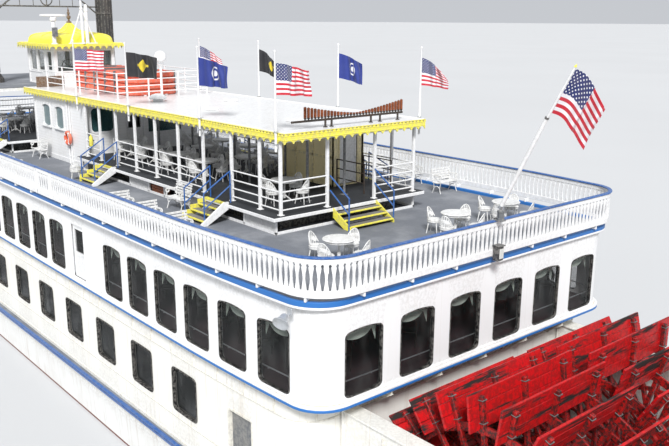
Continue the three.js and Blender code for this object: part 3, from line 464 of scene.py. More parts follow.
def smooth_path(points, count: int = 24) -> Array:
    """A path eased through its points: cubic pieces with slopes from their neighbours."""
    points = np.asarray(points, float)
    knots = np.arange(len(points))
    slope = np.gradient(points, axis=0)
    t = np.linspace(0, len(points) - 1, count)
    i = np.clip(t.astype(int), 0, len(points) - 2)
    f = (t - knots[i])[:, None]
    return ((2 * f**3 - 3 * f**2 + 1) * points[i] + (f**3 - 2 * f**2 + f) * slope[i]
            + (3 * f**2 - 2 * f**3) * points[i + 1] + (f**3 - f**2) * slope[i + 1])


# ---------------------------------------------------------------- pieces


@dataclass
class Piece:
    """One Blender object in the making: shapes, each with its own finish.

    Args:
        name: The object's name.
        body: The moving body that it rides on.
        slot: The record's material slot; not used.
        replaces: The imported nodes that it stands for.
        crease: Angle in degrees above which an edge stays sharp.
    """

    name: str
    body: str = "vessel"
    slot: str = ""
    replaces: tuple[str, ...] = ()
    crease: float = 32.0
    parts: list[tuple[Shape, "Finish"]] = field(default_factory=list)

    def add(self, shape: Shape, finish: "Finish") -> "Piece":
        """Adds a shape in a finish."""
        self.parts.append((shape, finish))
        return self

    def make(self) -> bpy.types.Object:
        """Makes the mesh object, dresses it and sets it on its body.

        Returns:
            The finished object, at the origin with its place in its mesh.
        """
        finishes = list(dict.fromkeys(finish for _, finish in self.parts))
        points = to_model(np.concatenate([shape.points for shape, _ in self.parts]))
        corners, sizes, slots, uvs = [], [], [], []
        start = 0
        for shape, finish in self.parts:
            for rows in shape.faces:
                corners.append((rows + start).reshape(-1))
                sizes.append(np.full(len(rows), rows.shape[1]))
                slots.append(np.full(len(rows), finishes.index(finish)))
            uvs.append(np.zeros((len(shape.points), 2)) if shape.uv is None else shape.uv)
            start += len(shape.points)
        corner = np.concatenate(corners).astype(np.int32)
        size = np.concatenate(sizes)
        mesh = bpy.data.meshes.new(self.name)
        mesh.vertices.add(len(points))
        mesh.vertices.foreach_set("co", points.astype(np.float32).reshape(-1))
        mesh.loops.add(len(corner))
        mesh.loops.foreach_set("vertex_index", corner)
        mesh.polygons.add(len(size))
        starts = np.concatenate([[0], np.cumsum(size)[:-1]]).astype(np.int32)
        mesh.polygons.foreach_set("loop_start", starts)
        mesh.update(calc_edges=True)
        mesh.polygons.foreach_set("material_index", np.concatenate(slots).astype(np.int32))
        if any(shape.uv is not None for shape, _ in self.parts):
            layer = mesh.uv_layers.new(name="UVMap")
            layer.data.foreach_set("uv", np.concatenate(uvs)[corner].astype(np.float32).reshape(-1))
        for finish in finishes:
            mesh.materials.append(finish.material())
        mesh.shade_smooth()
        mesh.set_sharp_from_angle(angle=float(np.radians(self.crease)))
        made = bpy.data.objects.new(self.name, mesh)
        bpy.context.scene.collection.objects.link(made)
        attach(made, self.body)
        if self.replaces:
            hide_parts(*self.replaces)
        log.info("%s: %d faces on %s", self.name, len(size), self.body)
        return made


# ---------------------------------------------------------------- deck lines and windows


@dataclass(frozen=True)
class DeckLine:
    """A deck's outline: straight stern, round quarters, swelling sides, half-ellipse front.

    Args:
        aft, forward: Stations of the stern and of the front.
        half: Half breadth.
        narrow: How much less the half breadth is at the stern.
        corner: Radius of the quarters.
        nose: Length of the half-ellipse.
    """

    aft: float
    half: float
    narrow: float
    corner: float
    forward: float
    nose: float

    @lru_cache(maxsize=None)
    def curve(self) -> tuple[Array, Array, Array]:
        """Lengths along the outline, its points and its outward normals.

        Returns:
            Lengths from the middle of the stern round by port, points, unit normals.
        """
        stern = self.half - self.narrow
        flat = stern - self.corner
        turn = np.linspace(np.pi, np.pi / 2, 40)[:-1]
        start = self.aft + self.corner
        quarter = np.stack([start + self.corner * np.cos(turn), flat + self.corner * np.sin(turn)], axis=1)
        t = np.linspace(0, 1, 50)[:-1, None]
        a, b, c = np.array([start, stern]), np.array([start + 2.5, self.half]), np.array([start + 5, self.half])
        swell = (1 - t) ** 2 * a + 2 * t * (1 - t) * b + t**2 * c
        straight = np.linspace([start + 5, self.half], [self.forward - self.nose, self.half], 90)[:-1]
        turn = np.linspace(np.pi / 2, 0, 160)
        front = np.stack([self.forward - self.nose + self.nose * np.cos(turn), self.half * np.sin(turn)], axis=1)
        first = np.linspace([self.aft, 0], [self.aft, flat], 12)[:-1]
        port = np.concatenate([first, quarter, swell, straight, front])
        points = np.concatenate([port, (port * (1, -1))[::-1][1:]])
        step = np.linalg.norm(np.diff(points, axis=0), axis=1)
        length = np.concatenate([[0], np.cumsum(step)])
        tangent = np.gradient(points, length, axis=0)
        tangent[0] = tangent[-1] = (0, 1)
        tangent /= np.linalg.norm(tangent, axis=1)[:, None]
        return length, points, np.stack([-tangent[:, 1], tangent[:, 0]], axis=1)

    def length(self) -> float:
        """Whole length round the outline."""
        return float(self.curve()[0][-1])

    def at(self, s, inset=0.0) -> Array:
        """Points at lengths s, drawn in along the normal by inset."""
        length, points, normals = self.curve()
        s = np.mod(np.asarray(s, float), length[-1])
        place = np.stack([np.interp(s, length, points[:, i]) for i in (0, 1)], axis=-1)
        normal = np.stack([np.interp(s, length, normals[:, i]) for i in (0, 1)], axis=-1)
        return place - normal * np.asarray(inset)[..., None]

    def normal(self, s) -> Array:
        """Outward normals at lengths s."""
        length, _, normals = self.curve()
        s = np.mod(np.asarray(s, float), length[-1])
        return np.stack([np.interp(s, length, normals[:, i]) for i in (0, 1)], axis=-1)

    def path(self, z: float, start: float, stop: float, step: float = 0.25, inset: float = 0.0) -> Array:
        """A path of points at one height between two lengths."""
        s = np.linspace(start, stop, max(2, int(abs(stop - start) / step) + 1))
        return lifted(self.at(s, inset), z)

    def band(self, z: float, section: Array, inset: float = 0.0, step: float = 0.2) -> Shape:
        """A section carried all the way round the outline."""
        return sweep(self.path(z, 0, self.length(), step, inset)[:-1], section, closed=True)

    def axes(self, s: Array) -> Array:
        """Axes along, out of and up the outline at lengths s, as the columns of a matrix each."""
        out = lifted(self.normal(s), 0.0)
        up = np.tile((0.0, 0.0, 1.0), (len(s), 1))
        return np.stack([np.cross(out, up), out, up], axis=2)

    def side(self, station: float, port: bool = True) -> float:
        """The length at which one side passes a station."""
        length, points, _ = self.curve()
        half = len(points) // 2 + 1
        value = float(np.interp(station, points[13:half, 0], length[13:half]))
        return value if port else self.length() - value

    def front(self, y: float) -> float:
        """The length at which the front passes a place across the boat."""
        length, points, _ = self.curve()
        half = len(points) // 2
        bend = slice(half - 150, half + 1)
        value = float(np.interp(abs(y), points[bend, 1][::-1], length[bend][::-1]))
        return value if y >= 0 else self.length() - value

    def inside(self, inset: float, step: float = 0.2) -> Array:
        """Corners of the outline drawn in by inset, without a repeated end."""
        s = np.arange(0, self.length(), step)
        return self.at(s, inset)


SALOON_LINE = DeckLine(0, 6.2, 0.15, 0.95, 41, 4)
MAIN_LINE = DeckLine(0.6, 6.1, 0.15, 0.95, 42, 3.5)
SECOND_LINE = DeckLine(-0.12, 6.32, 0.15, 1.0, 43.5, 4.5)
PROMENADE_LINE = DeckLine(-0.12, 6.45, 0.2, 1.05, 42.5, 4.5)
RAIL_LINE = DeckLine(-0.3, 6.62, 0.3, 1.2, 42.7, 4.6)


@dataclass(frozen=True)
class Opening:
    """A window's or doorway's outline: upright sides, bowed head and foot, round corners."""

    width: float
    foot: float
    head: float
    bow: float
    round: float = 0.12

    def outline(self, centre: float = 0.0, grow: float = 0.0) -> Array:
        """The outline as 48 corners, twelve on each side, from the lower left corner.

        Args:
            centre: Place of its middle along the wall.
            grow: How far the outline is drawn out.

        Returns:
            Rows of (place along the wall, height).
        """
        w, r = self.width / 2 + grow, self.round + max(grow, -self.round * 0.6)
        tall, middle = (self.head - self.foot) / 2 + grow, (self.head + self.foot) / 2
        along, lift = self.edge(w, r)
        foot = np.stack([along, lift - tall], axis=1)
        head = np.stack([-along, tall - lift], axis=1)
        along, lift = self.edge(tall, r)
        right = np.stack([w - lift, along], axis=1)
        left = np.stack([lift - w, -along], axis=1)
        flat = np.concatenate([foot, right, head, left])
        arch = self.bow * np.maximum(0, 1 - (flat[:, 0] / w) ** 2)
        flat[:, 1] += np.where(flat[:, 1] > 0, arch, -arch)
        return flat + (centre, middle)

    @staticmethod
    def edge(half: float, r: float) -> tuple[Array, Array]:
        """Twelve places along an edge with round corners, and their lift from its line."""
        bend = np.radians([45, 60, 75])
        turn = bend - np.pi / 4
        t = np.linspace(0, 1, 6, endpoint=False)
        along = np.concatenate([
            -half + r - r * np.cos(bend), -half + r + t * 2 * (half - r), half - r + r * np.sin(turn),
        ])
        return along, np.concatenate([r - r * np.sin(bend), np.zeros(6), r - r * np.cos(turn)])

    def surround(self, centre: float, reach: float, low: float, high: float) -> Array:
        """The oblong of wall about the opening, as 48 corners that match the outline's."""
        t = np.linspace(-1, 1, 13)[:-1]
        z = (low + high) / 2 + t * (high - low) / 2
        foot = np.stack([t * reach, np.full(12, low)], axis=1)
        right = np.stack([np.full(12, reach), z], axis=1)
        head = np.stack([-t * reach, np.full(12, high)], axis=1)
        left = np.stack([np.full(12, -reach), low + high - z], axis=1)
        return np.concatenate([foot, right, head, left]) + (centre, 0)


@dataclass
class PiercedWall:
    """A wall along a deck line with windows and doorways cut through it.

    Args:
        line: The deck line that its outer face follows.
        low, high: Heights of its foot and head.
        thick: Thickness.
        openings: Pairs of length along the line and opening.
        margin: Width of the wall that belongs to each opening, beside it.
    """

    line: DeckLine
    low: float
    high: float
    thick: float
    openings: list[tuple[float, Opening]]
    margin: float = 0.14

    def skin(self, inset: float):
        """A function from (length, height) rows to points on the wall, inset from its face."""
        def place(flat: Array) -> Array:
            return np.concatenate([self.line.at(flat[:, 0], inset), flat[:, 1:]], axis=1)
        return place

    def strips(self) -> list[tuple[float, float]]:
        """Plain lengths of wall between the openings; the last one runs on past the start."""
        placed = sorted(self.openings, key=lambda pair: pair[0])
        firsts = [centre + opening.width / 2 + self.margin for centre, opening in placed]
        lasts = [centre - opening.width / 2 - self.margin for centre, opening in placed]
        return list(zip(firsts, lasts[1:] + [lasts[0] + self.line.length()]))

    def wall(self) -> Shape:
        """The wall: rings of faces about each opening, and plain strips between them."""
        levels = np.linspace(self.low, self.high, 13)
        points, faces, start = [], [], 0
        for centre, opening in self.openings:
            hole = opening.outline(centre)
            edge = opening.surround(centre, opening.width / 2 + self.margin, self.low, self.high)
            rings = [hole + (edge - hole) * t for t in (0.0, 0.4, 1.0)]
            points.append(np.concatenate(rings))
            faces.append(grid_faces(3, 48, False, True) + start)
            start += 144
        for first, last in self.strips():
            if last - first < 1e-4:
                continue
            s = np.linspace(first, last, max(2, int((last - first) / 0.16) + 1))
            points.append(np.stack(np.meshgrid(s, levels, indexing="ij"), axis=-1).reshape(-1, 2))
            faces.append(grid_faces(len(s), 13) + start)
            start += len(s) * 13
        return thicken(np.concatenate(points), np.concatenate(faces), self.skin(0.0), self.skin(self.thick))

    def collars(self, out: float, into: float, proud: float, deep: float) -> Shape:
        """Frames round the openings, from out beyond the outline to into within it."""
        shapes = []
        for centre, opening in self.openings:
            rings = np.concatenate([opening.outline(centre, out), opening.outline(centre, -into)])
            shapes.append(thicken(rings, grid_faces(2, 48, False, True), self.skin(-proud), self.skin(deep)))
        return joined(shapes)

    def panes(self, inset: float, thick: float, grow: float = -0.02) -> Shape:
        """Panes that fill the openings, as closed sheets of glass."""
        shapes = []
        for centre, opening in self.openings:
            flat = opening.outline(centre, grow)
            face = np.arange(48)[None]
            shapes.append(thicken(flat, face, self.skin(inset), self.skin(inset + thick)))
        return joined(shapes)


# ---------------------------------------------------------------- finishes


class Graph:
    """A node tree being drawn, with short calls for its nodes.

    Args:
        tree: The tree that the nodes go into.
    """

    def __init__(self, tree: bpy.types.NodeTree) -> None:
        """Keeps the tree."""
        self.tree = tree

    def put(self, socket: bpy.types.NodeSocket, value) -> None:
        """Links a socket to another, or sets its own value."""
        if isinstance(value, bpy.types.NodeSocket):
            self.tree.links.new(value, socket)
        elif isinstance(value, tuple) and len(value) == 3 and socket.type == "RGBA":
            socket.default_value = (*value, 1.0)
        else:
            socket.default_value = value

    def node(self, kind: str, inputs: dict | None = None, **settings) -> bpy.types.Node:
        """Adds a node, sets its options and fills its inputs by name or number."""
        made = self.tree.nodes.new(kind)
        for key, value in settings.items():
            setattr(made, key, value)
        for key, value in (inputs or {}).items():
            self.put(made.inputs[key], value)
        return made

    def math(self, operation: str, a, b=0.0, clamp: bool = False) -> bpy.types.NodeSocket:
        """Adds an operation on two numbers."""
        return self.node("ShaderNodeMath", {0: a, 1: b}, operation=operation, use_clamp=clamp).outputs[0]

    def times(self, a, b, clamp: bool = False) -> bpy.types.NodeSocket:
        """Adds a product."""
        return self.math("MULTIPLY", a, b, clamp)

    def plus(self, a, b, clamp: bool = False) -> bpy.types.NodeSocket:
        """Adds a sum."""
        return self.math("ADD", a, b, clamp)

    def minus(self, a, b, clamp: bool = False) -> bpy.types.NodeSocket:
        """Adds a difference."""
        return self.math("SUBTRACT", a, b, clamp)

    def line(self, value, slope: float, offset: float) -> bpy.types.NodeSocket:
        """Adds a straight line: value * slope + offset."""
        return self.plus(self.times(value, slope), offset)

    def mix(self, factor, a, b, blend: str = "MIX") -> bpy.types.NodeSocket:
        """Adds a mix of two colours."""
        made = self.node("ShaderNodeMix", data_type="RGBA", blend_type=blend)
        for index, value in ((0, factor), (6, a), (7, b)):
            self.put(made.inputs[index], value)
        return made.outputs[2]

    def noise(self, vector, scale, detail: float = 3.0, rough: float = 0.55) -> bpy.types.NodeSocket:
        """Adds a soft noise from 0 to 1."""
        inputs = {"Vector": vector, "Scale": scale, "Detail": detail, "Roughness": rough}
        return self.node("ShaderNodeTexNoise", inputs).outputs["Fac"]

    def span(self, value, low: float, high: float, start: float = 0.0, stop: float = 1.0):
        """Adds a smooth step: start below low, stop above high."""
        inputs = {"Value": value, "From Min": low, "From Max": high, "To Min": start, "To Max": stop}
        return self.node("ShaderNodeMapRange", inputs, interpolation_type="SMOOTHSTEP").outputs[0]

    def scaled(self, vector, by: tuple[float, float, float]) -> bpy.types.NodeSocket:
        """Adds a vector stretched along its axes."""
        inputs = {0: vector, 1: by}
        return self.node("ShaderNodeVectorMath", inputs, operation="MULTIPLY").outputs[0]

    def parts(self, vector) -> list[bpy.types.NodeSocket]:
        """Adds a vector's three numbers."""
        return list(self.node("ShaderNodeSeparateXYZ", {0: vector}).outputs)

    def place(self) -> bpy.types.NodeSocket:
        """Adds the place on the object."""
        return self.node("ShaderNodeTexCoord").outputs["Object"]

    def uv(self) -> bpy.types.NodeSocket:
        """Adds the piece's own pattern coordinates."""
        return self.node("ShaderNodeUVMap", uv_map="UVMap").outputs[0]

    def near(self, value, middle: float, half: float, soft: float = 0.003):
        """Adds a band: one where the value is within half of the middle."""
        gap = self.math("ABSOLUTE", self.minus(value, middle))
        return self.span(gap, half - soft, half + soft, 1.0, 0.0)


class Effect(Enum):
    """Shader groups that more than one finish uses."""

    WEATHER = "weathering"
    WEAR = "edge wear"
    GRAIN = "fine grain"
    WEAVE = "woven cloth"
    SEAMS = "plate seams"


@lru_cache(maxsize=None)
def effect(kind: Effect) -> bpy.types.NodeTree:
    """Builds a shared shader group once.

    Args:
        kind: The effect.

    Returns:
        The group, with named inputs and outputs.
    """
    tree = bpy.data.node_groups.new(kind.value, "ShaderNodeTree")
    sockets = {
        Effect.WEATHER: (("Colour", "Dirt", "Mottle", "Streaks", "Scale"), ("Colour", "Mask")),
        Effect.WEAR: (("Colour", "Under", "Amount", "Scale"), ("Colour",)),
        Effect.GRAIN: (("Scale",), ("Height",)),
        Effect.WEAVE: (("Threads",), ("Height", "Mask")),
        Effect.SEAMS: (("Pitch", "Width"), ("Mask",)),
    }[kind]
    for way, names in zip(("INPUT", "OUTPUT"), sockets):
        for name in names:
            form = "NodeSocketColor" if name in ("Colour", "Dirt", "Under") else "NodeSocketFloat"
            tree.interface.new_socket(name, in_out=way, socket_type=form)
    graph = Graph(tree)
    given = graph.node("NodeGroupInput").outputs
    out = graph.node("NodeGroupOutput").inputs
    if kind is Effect.WEATHER:
        place = graph.place()
        cloud = graph.span(graph.noise(place, given["Scale"], 5.0, 0.6), 0.42, 0.72)
        drips = graph.noise(graph.scaled(place, (9.0, 9.0, 0.55)), 1.6, 4.0, 0.6)
        runs = graph.times(graph.span(drips, 0.52, 0.74), graph.noise(place, 0.9, 2.0))
        mask = graph.plus(graph.times(cloud, given["Mottle"]), graph.times(runs, given["Streaks"]), clamp=True)
        graph.put(out["Colour"], graph.mix(mask, given["Colour"], given["Dirt"]))
        graph.put(out["Mask"], mask)
    elif kind is Effect.WEAR:
        corner = graph.node("ShaderNodeNewGeometry").outputs["Pointiness"]
        chips = graph.noise(graph.place(), given["Scale"], 6.0, 0.7)
        edge = graph.span(corner, 0.51, 0.56)
        mask = graph.times(graph.times(edge, graph.span(chips, 0.44, 0.56)), given["Amount"], clamp=True)
        graph.put(out["Colour"], graph.mix(mask, given["Colour"], given["Under"]))
    elif kind is Effect.GRAIN:
        graph.put(out["Height"], graph.noise(graph.place(), given["Scale"], 4.0, 0.65))
    elif kind is Effect.WEAVE:
        u, v, _ = graph.parts(graph.uv())
        warp = graph.math("SINE", graph.times(u, given["Threads"]))
        weft = graph.math("SINE", graph.times(v, given["Threads"]))
        cross = graph.times(warp, weft)
        graph.put(out["Height"], cross)
        graph.put(out["Mask"], graph.span(cross, -0.6, 0.8))
    else:
        along = graph.parts(graph.place())
        across = graph.plus(along[0], along[1])
        part = graph.math("FRACT", graph.math("DIVIDE", across, given["Pitch"]))
        gap = graph.times(graph.math("ABSOLUTE", graph.minus(part, 0.5)), given["Pitch"])
        near = graph.minus(1.0, graph.math("DIVIDE", gap, given["Width"]), clamp=True)
        graph.put(out["Mask"], near)
    return tree


@dataclass(frozen=True)
class Coat:
    """A finish made of one Principled surface.

    Args:
        name: The material's name.
        colour: Base colour.
        roughness: Roughness of the clean surface.
        metallic: Whether the surface is metal, 0 to 1.
        shine: Strength of its plain reflection, 0.5 for most paints.
    """

    name: str
    colour: Colour
    roughness: float = 0.4
    metallic: float = 0.0
    shine: float = 0.5

    def begin(self) -> tuple[bpy.types.Material, Graph, bpy.types.Node]:
        """Starts the material and gives it, its graph and its surface node."""
        made = bpy.data.materials.new(self.name)
        made.use_nodes = True
        made.node_tree.nodes.clear()
        graph = Graph(made.node_tree)
        surface = graph.node("ShaderNodeBsdfPrincipled", {
            "Base Color": self.colour, "Roughness": self.roughness, "Metallic": self.metallic,
            "Specular IOR Level": self.shine,
        })
        graph.node("ShaderNodeOutputMaterial", {"Surface": surface.outputs[0]})
        made.diffuse_color = (*self.colour, 1.0)
        return made, graph, surface

    def bump(self, graph: Graph, surface: bpy.types.Node, height, strength: float, distance: float) -> None:
        """Feeds a height to the surface's normal."""
        lift = graph.node("ShaderNodeBump", {"Height": height, "Strength": strength, "Distance": distance})
        graph.put(surface.inputs["Normal"], lift.outputs[0])

    def group(self, graph: Graph, kind: Effect, inputs: dict) -> bpy.types.Node:
        """Places a shared effect with its own values."""
        made = graph.node("ShaderNodeGroup", node_tree=effect(kind))
        for key, value in inputs.items():
            graph.put(made.inputs[key], value)
        return made


@dataclass(frozen=True)
class Enamel(Coat):
    """Marine enamel with grime, dirty runs and chipped edges, and painted shade under lapped boards.

    Args:
        grime_and_lap_shade: Colour of the grime, and of the painted shade line under each lap.
        mottle, streaks: Strengths of cloudy grime and of runs.
        under: Colour below a chip.
        wear: Strength of the chips.
        seams: Pitch of faint plate seams, or 0 for none.
        coat: Weight of the gloss coat.
        below: Colour under the waterline, or None for the same colour.
        laps: Depth of the lapped boards, or 0 for plain plating; the top of each board is darkened as painted shade
            under the lap above.
    """

    grime_and_lap_shade: Colour = (0.52, 0.48, 0.38)
    mottle: float = 0.10
    streaks: float = 0.22
    under: Colour = (0.35, 0.33, 0.30)
    wear: float = 0.35
    seams: float = 0.0
    coat: float = 0.15
    below: Colour | None = None
    laps: float = 0.0

    def make(self) -> bpy.types.Material:
        """Makes the enamel."""
        made, graph, surface = self.begin()
        surface.inputs["Coat Weight"].default_value = self.coat
        surface.inputs["Coat Roughness"].default_value = 0.12
        paint = self.colour
        if self.below:
            upright = graph.parts(graph.place())[2]
            paint = graph.mix(graph.span(upright, 0.035, 0.041), self.below, self.colour)
        grime = self.group(graph, Effect.WEATHER, {
            "Colour": paint, "Dirt": self.grime_and_lap_shade, "Mottle": self.mottle, "Streaks": self.streaks, "Scale": 2.2,
        })
        worn = self.group(graph, Effect.WEAR, {
            "Colour": grime.outputs["Colour"], "Under": self.under, "Amount": self.wear, "Scale": 22.0,
        })
        colour = worn.outputs["Colour"]
        height = self.group(graph, Effect.GRAIN, {"Scale": 38.0}).outputs["Height"]
        if self.seams:
            seam = self.group(graph, Effect.SEAMS, {"Pitch": self.seams, "Width": 0.004})
            colour = graph.mix(graph.times(seam.outputs["Mask"], 0.35), colour, self.grime_and_lap_shade)
            height = graph.minus(height, graph.times(seam.outputs["Mask"], 2.0))
        if self.laps:
            rise = graph.math("FRACT", graph.math("DIVIDE", graph.parts(graph.place())[2], self.laps))
            # Painted shade: the top of each board darkens in the grime colour towards the edge of the lap above, where
            # its shadow falls.
            colour = graph.mix(graph.span(rise, 0.90, 0.97, 0.0, 0.45), colour, self.grime_and_lap_shade)
            height = graph.minus(height, graph.times(rise, 3.0))
        graph.put(surface.inputs["Base Color"], colour)
        dull = graph.times(grime.outputs["Mask"], 0.35)
        graph.put(surface.inputs["Roughness"], graph.plus(dull, self.roughness, clamp=True))
        self.bump(graph, surface, height, 0.12, 0.004)
        return made


@dataclass(frozen=True)
class NonSlip(Coat):
    """Deck paint full of grit, scuffed where people walk.

    Args:
        scuff: Colour of the scuffs.
        edging: Colour of the deck's upright edges.
    """

    scuff: Colour = (0.34, 0.35, 0.37)
    edging: Colour | None = None

    def make(self) -> bpy.types.Material:
        """Makes the deck paint."""
        made, graph, surface = self.begin()
        grime = self.group(graph, Effect.WEATHER, {
            "Colour": self.colour, "Dirt": self.scuff, "Mottle": 0.55, "Streaks": 0.0, "Scale": 1.3,
        })
        colour = grime.outputs["Colour"]
        fine = self.group(graph, Effect.GRAIN, {"Scale": 240.0}).outputs["Height"]
        colour = graph.mix(graph.span(fine, 0.45, 0.7, 0.0, 0.25), colour, self.scuff)
        if self.edging:
            upright = graph.parts(graph.node("ShaderNodeNewGeometry").outputs["True Normal"])[2]
            colour = graph.mix(graph.span(graph.math("ABSOLUTE", upright), 0.3, 0.6), self.edging, colour)
        graph.put(surface.inputs["Base Color"], colour)
        self.bump(graph, surface, fine, 0.35, 0.003)
        return made


@dataclass(frozen=True)
class BucketPaint(Coat):
    """Bright paint on wet planks, rubbed through to dark wood in long patches.

    Args:
        dark: Colour of the bared wood.
        amount: How much of it shows, 0 to 1.
    """

    dark: Colour = (0.018, 0.014, 0.013)
    amount: float = 0.5

    def make(self) -> bpy.types.Material:
        """Makes the plank paint: patches stretched across the boat, and grain along it."""
        made, graph, surface = self.begin()
        place = graph.place()
        long = graph.noise(graph.scaled(place, (3.2, 0.32, 3.2)), 2.1, 4.0, 0.55)
        chips = graph.noise(graph.scaled(place, (1.0, 0.14, 1.0)), 22.0, 4.0, 0.6)
        edge = 0.66 - 0.16 * self.amount
        bare = graph.times(graph.span(long, edge, edge + 0.07), graph.span(chips, 0.34, 0.50))
        fade = graph.noise(place, 1.7, 3.0)
        red = graph.mix(graph.span(fade, 0.35, 0.75, 0.0, 0.5), self.colour, (0.42, 0.012, 0.008))
        worn = self.group(graph, Effect.WEAR, {
            "Colour": red, "Under": self.dark, "Amount": 0.5 * self.amount, "Scale": 18.0,
        })
        graph.put(surface.inputs["Base Color"], graph.mix(bare, worn.outputs["Colour"], self.dark))
        graph.put(surface.inputs["Roughness"], graph.line(bare, 0.35, self.roughness))
        grain = graph.noise(graph.scaled(place, (30.0, 1.2, 30.0)), 3.0, 4.0)
        height = graph.minus(grain, graph.times(bare, 0.8))
        self.bump(graph, surface, height, 0.18, 0.004)
        return made


@dataclass(frozen=True)
class Metal(Coat):
    """Bare or tarnished metal.

    Args:
        tarnish: Colour of the tarnish.
        amount: Strength of the tarnish.
    """

    tarnish: Colour = (0.05, 0.03, 0.02)
    amount: float = 0.5

    def make(self) -> bpy.types.Material:
        """Makes the metal, dull and dark where it is tarnished."""
        made, graph, surface = self.begin()
        stain = graph.span(graph.noise(graph.place(), 9.0, 5.0, 0.65), 0.35, 0.7, 0.0, self.amount)
        graph.put(surface.inputs["Base Color"], graph.mix(stain, self.colour, self.tarnish))
        graph.put(surface.inputs["Roughness"], graph.line(stain, 0.4, self.roughness))
        fine = self.group(graph, Effect.GRAIN, {"Scale": 160.0}).outputs["Height"]
        self.bump(graph, surface, fine, 0.15, 0.002)
        return made


@dataclass(frozen=True)
class TintedGlass(Coat):
    """Tinted glass with a film of dust and a plain see-through weight.

    Args:
        clear: How much of what is behind shows, 0 to 1.
    """

    clear: float = 0.6

    def make(self) -> bpy.types.Material:
        """Makes the glass."""
        made, graph, surface = self.begin()
        surface.inputs["IOR"].default_value = 1.45
        dust = graph.span(graph.noise(graph.scaled(graph.place(), (1.5, 1.5, 0.5)), 3.0, 5.0), 0.45, 0.8)
        graph.put(surface.inputs["Base Color"], graph.mix(graph.times(dust, 0.18), self.colour,
                                                          (0.30, 0.31, 0.30)))
        graph.put(surface.inputs["Roughness"], graph.line(dust, 0.1, self.roughness))
        graph.put(surface.inputs["Alpha"], graph.line(dust, 0.12, 1.0 - self.clear))
        return made


@dataclass(frozen=True)
class Woven(Coat):
    """Plain cloth with its threads, folds and fading.

    Args:
        fade: Colour where the cloth has faded.
        faded: Most of it that shows, 0 to 1.
        threads: Thread frequency over the pattern coordinates.
    """

    fade: Colour = (0.6, 0.6, 0.6)
    faded: float = 0.6
    threads: float = 900.0

    def make(self) -> bpy.types.Material:
        """Makes the cloth."""
        made, graph, surface = self.begin()
        surface.inputs["Sheen Weight"].default_value = 0.1
        weave = self.group(graph, Effect.WEAVE, {"Threads": self.threads})
        fade = graph.span(graph.noise(graph.place(), 5.0, 4.0), 0.35, 0.75, 0.0, self.faded)
        colour = graph.mix(fade, self.pattern(graph), self.fade)
        shade = graph.times(weave.outputs["Mask"], 0.12)
        graph.put(surface.inputs["Base Color"], graph.mix(shade, colour, (0.0, 0.0, 0.0)))
        self.bump(graph, surface, weave.outputs["Height"], 0.25, 0.0008)
        return made

    def pattern(self, graph: Graph):
        """The colour of the cloth before it fades."""
        return self.colour


class FlagDesign(Enum):
    """What is sewn on a flag."""

    STRIPES = "stripes and stars"
    GOLD = "gold lozenge on black"
    WHITE = "white ring on blue"


@dataclass(frozen=True)
class FlagCloth(Woven):
    """Flag cloth. The pattern runs from the hoist, u = 0, to the fly, u = 1, and up in v.

    Args:
        design: What is sewn on it.
    """

    design: FlagDesign = FlagDesign.STRIPES

    def pattern(self, graph: Graph):
        """The flag's colours, drawn from bands, rings and a lattice in u and v."""
        u, v, _ = graph.parts(graph.uv())
        if self.design is FlagDesign.STRIPES:
            band = graph.math("MODULO", graph.times(v, 13.0), 2.0)
            stripes = graph.mix(graph.span(band, 0.97, 1.03), (0.55, 0.012, 0.03), (0.82, 0.82, 0.84))
            canton = graph.times(graph.span(u, 0.395, 0.405, 1.0, 0.0),
                                 graph.span(v, 6 / 13 - 0.004, 6 / 13 + 0.004))
            column = graph.times(graph.math("DIVIDE", u, 0.4), 6.0)
            row = graph.times(graph.math("DIVIDE", graph.minus(v, 6 / 13), 7 / 13), 5.0)
            spots = []
            for shift in (0.0, 0.5):
                du = graph.minus(graph.math("FRACT", graph.plus(column, shift)), 0.5)
                dv = graph.minus(graph.math("FRACT", graph.plus(row, shift)), 0.5)
                far = graph.plus(graph.math("POWER", graph.math("ABSOLUTE", du), 1.1),
                                 graph.math("POWER", graph.math("ABSOLUTE", dv), 1.1))
                spots.append(graph.span(far, 0.14, 0.18, 1.0, 0.0))
            star = graph.math("MAXIMUM", spots[0], spots[1])
            field_blue = graph.mix(star, (0.012, 0.025, 0.13), (0.82, 0.82, 0.84))
            return graph.mix(canton, stripes, field_blue)
        du = graph.math("ABSOLUTE", graph.times(graph.minus(u, 0.5), 5 / 3))
        dv = graph.math("ABSOLUTE", graph.minus(v, 0.52))
        if self.design is FlagDesign.GOLD:
            lozenge = graph.span(graph.plus(graph.times(du, 1.15), dv), 0.27, 0.29, 1.0, 0.0)
            bar = graph.times(graph.span(du, 0.30, 0.31, 1.0, 0.0), graph.near(dv, 0.0, 0.05))
            mark = graph.math("MAXIMUM", lozenge, bar)
            return graph.mix(mark, self.colour, (0.72, 0.55, 0.03))
        far = graph.math("SQRT", graph.plus(graph.math("POWER", du, 2.0), graph.math("POWER", dv, 2.0)))
        mark = graph.math("MAXIMUM", graph.near(far, 0.24, 0.03), graph.span(far, 0.11, 0.12, 1.0, 0.0))
        return graph.mix(mark, self.colour, (0.8, 0.8, 0.82))


@dataclass(frozen=True)
class Floor(Coat):
    """A plain pale studio floor."""

    def make(self) -> bpy.types.Material:
        """Makes the floor."""
        made, graph, surface = self.begin()
        tone = graph.noise(graph.place(), 0.05, 2.0)
        pale = tuple(c * 0.97 for c in self.colour)
        graph.put(surface.inputs["Base Color"], graph.mix(graph.span(tone, 0.3, 0.7), self.colour, pale))
        return made


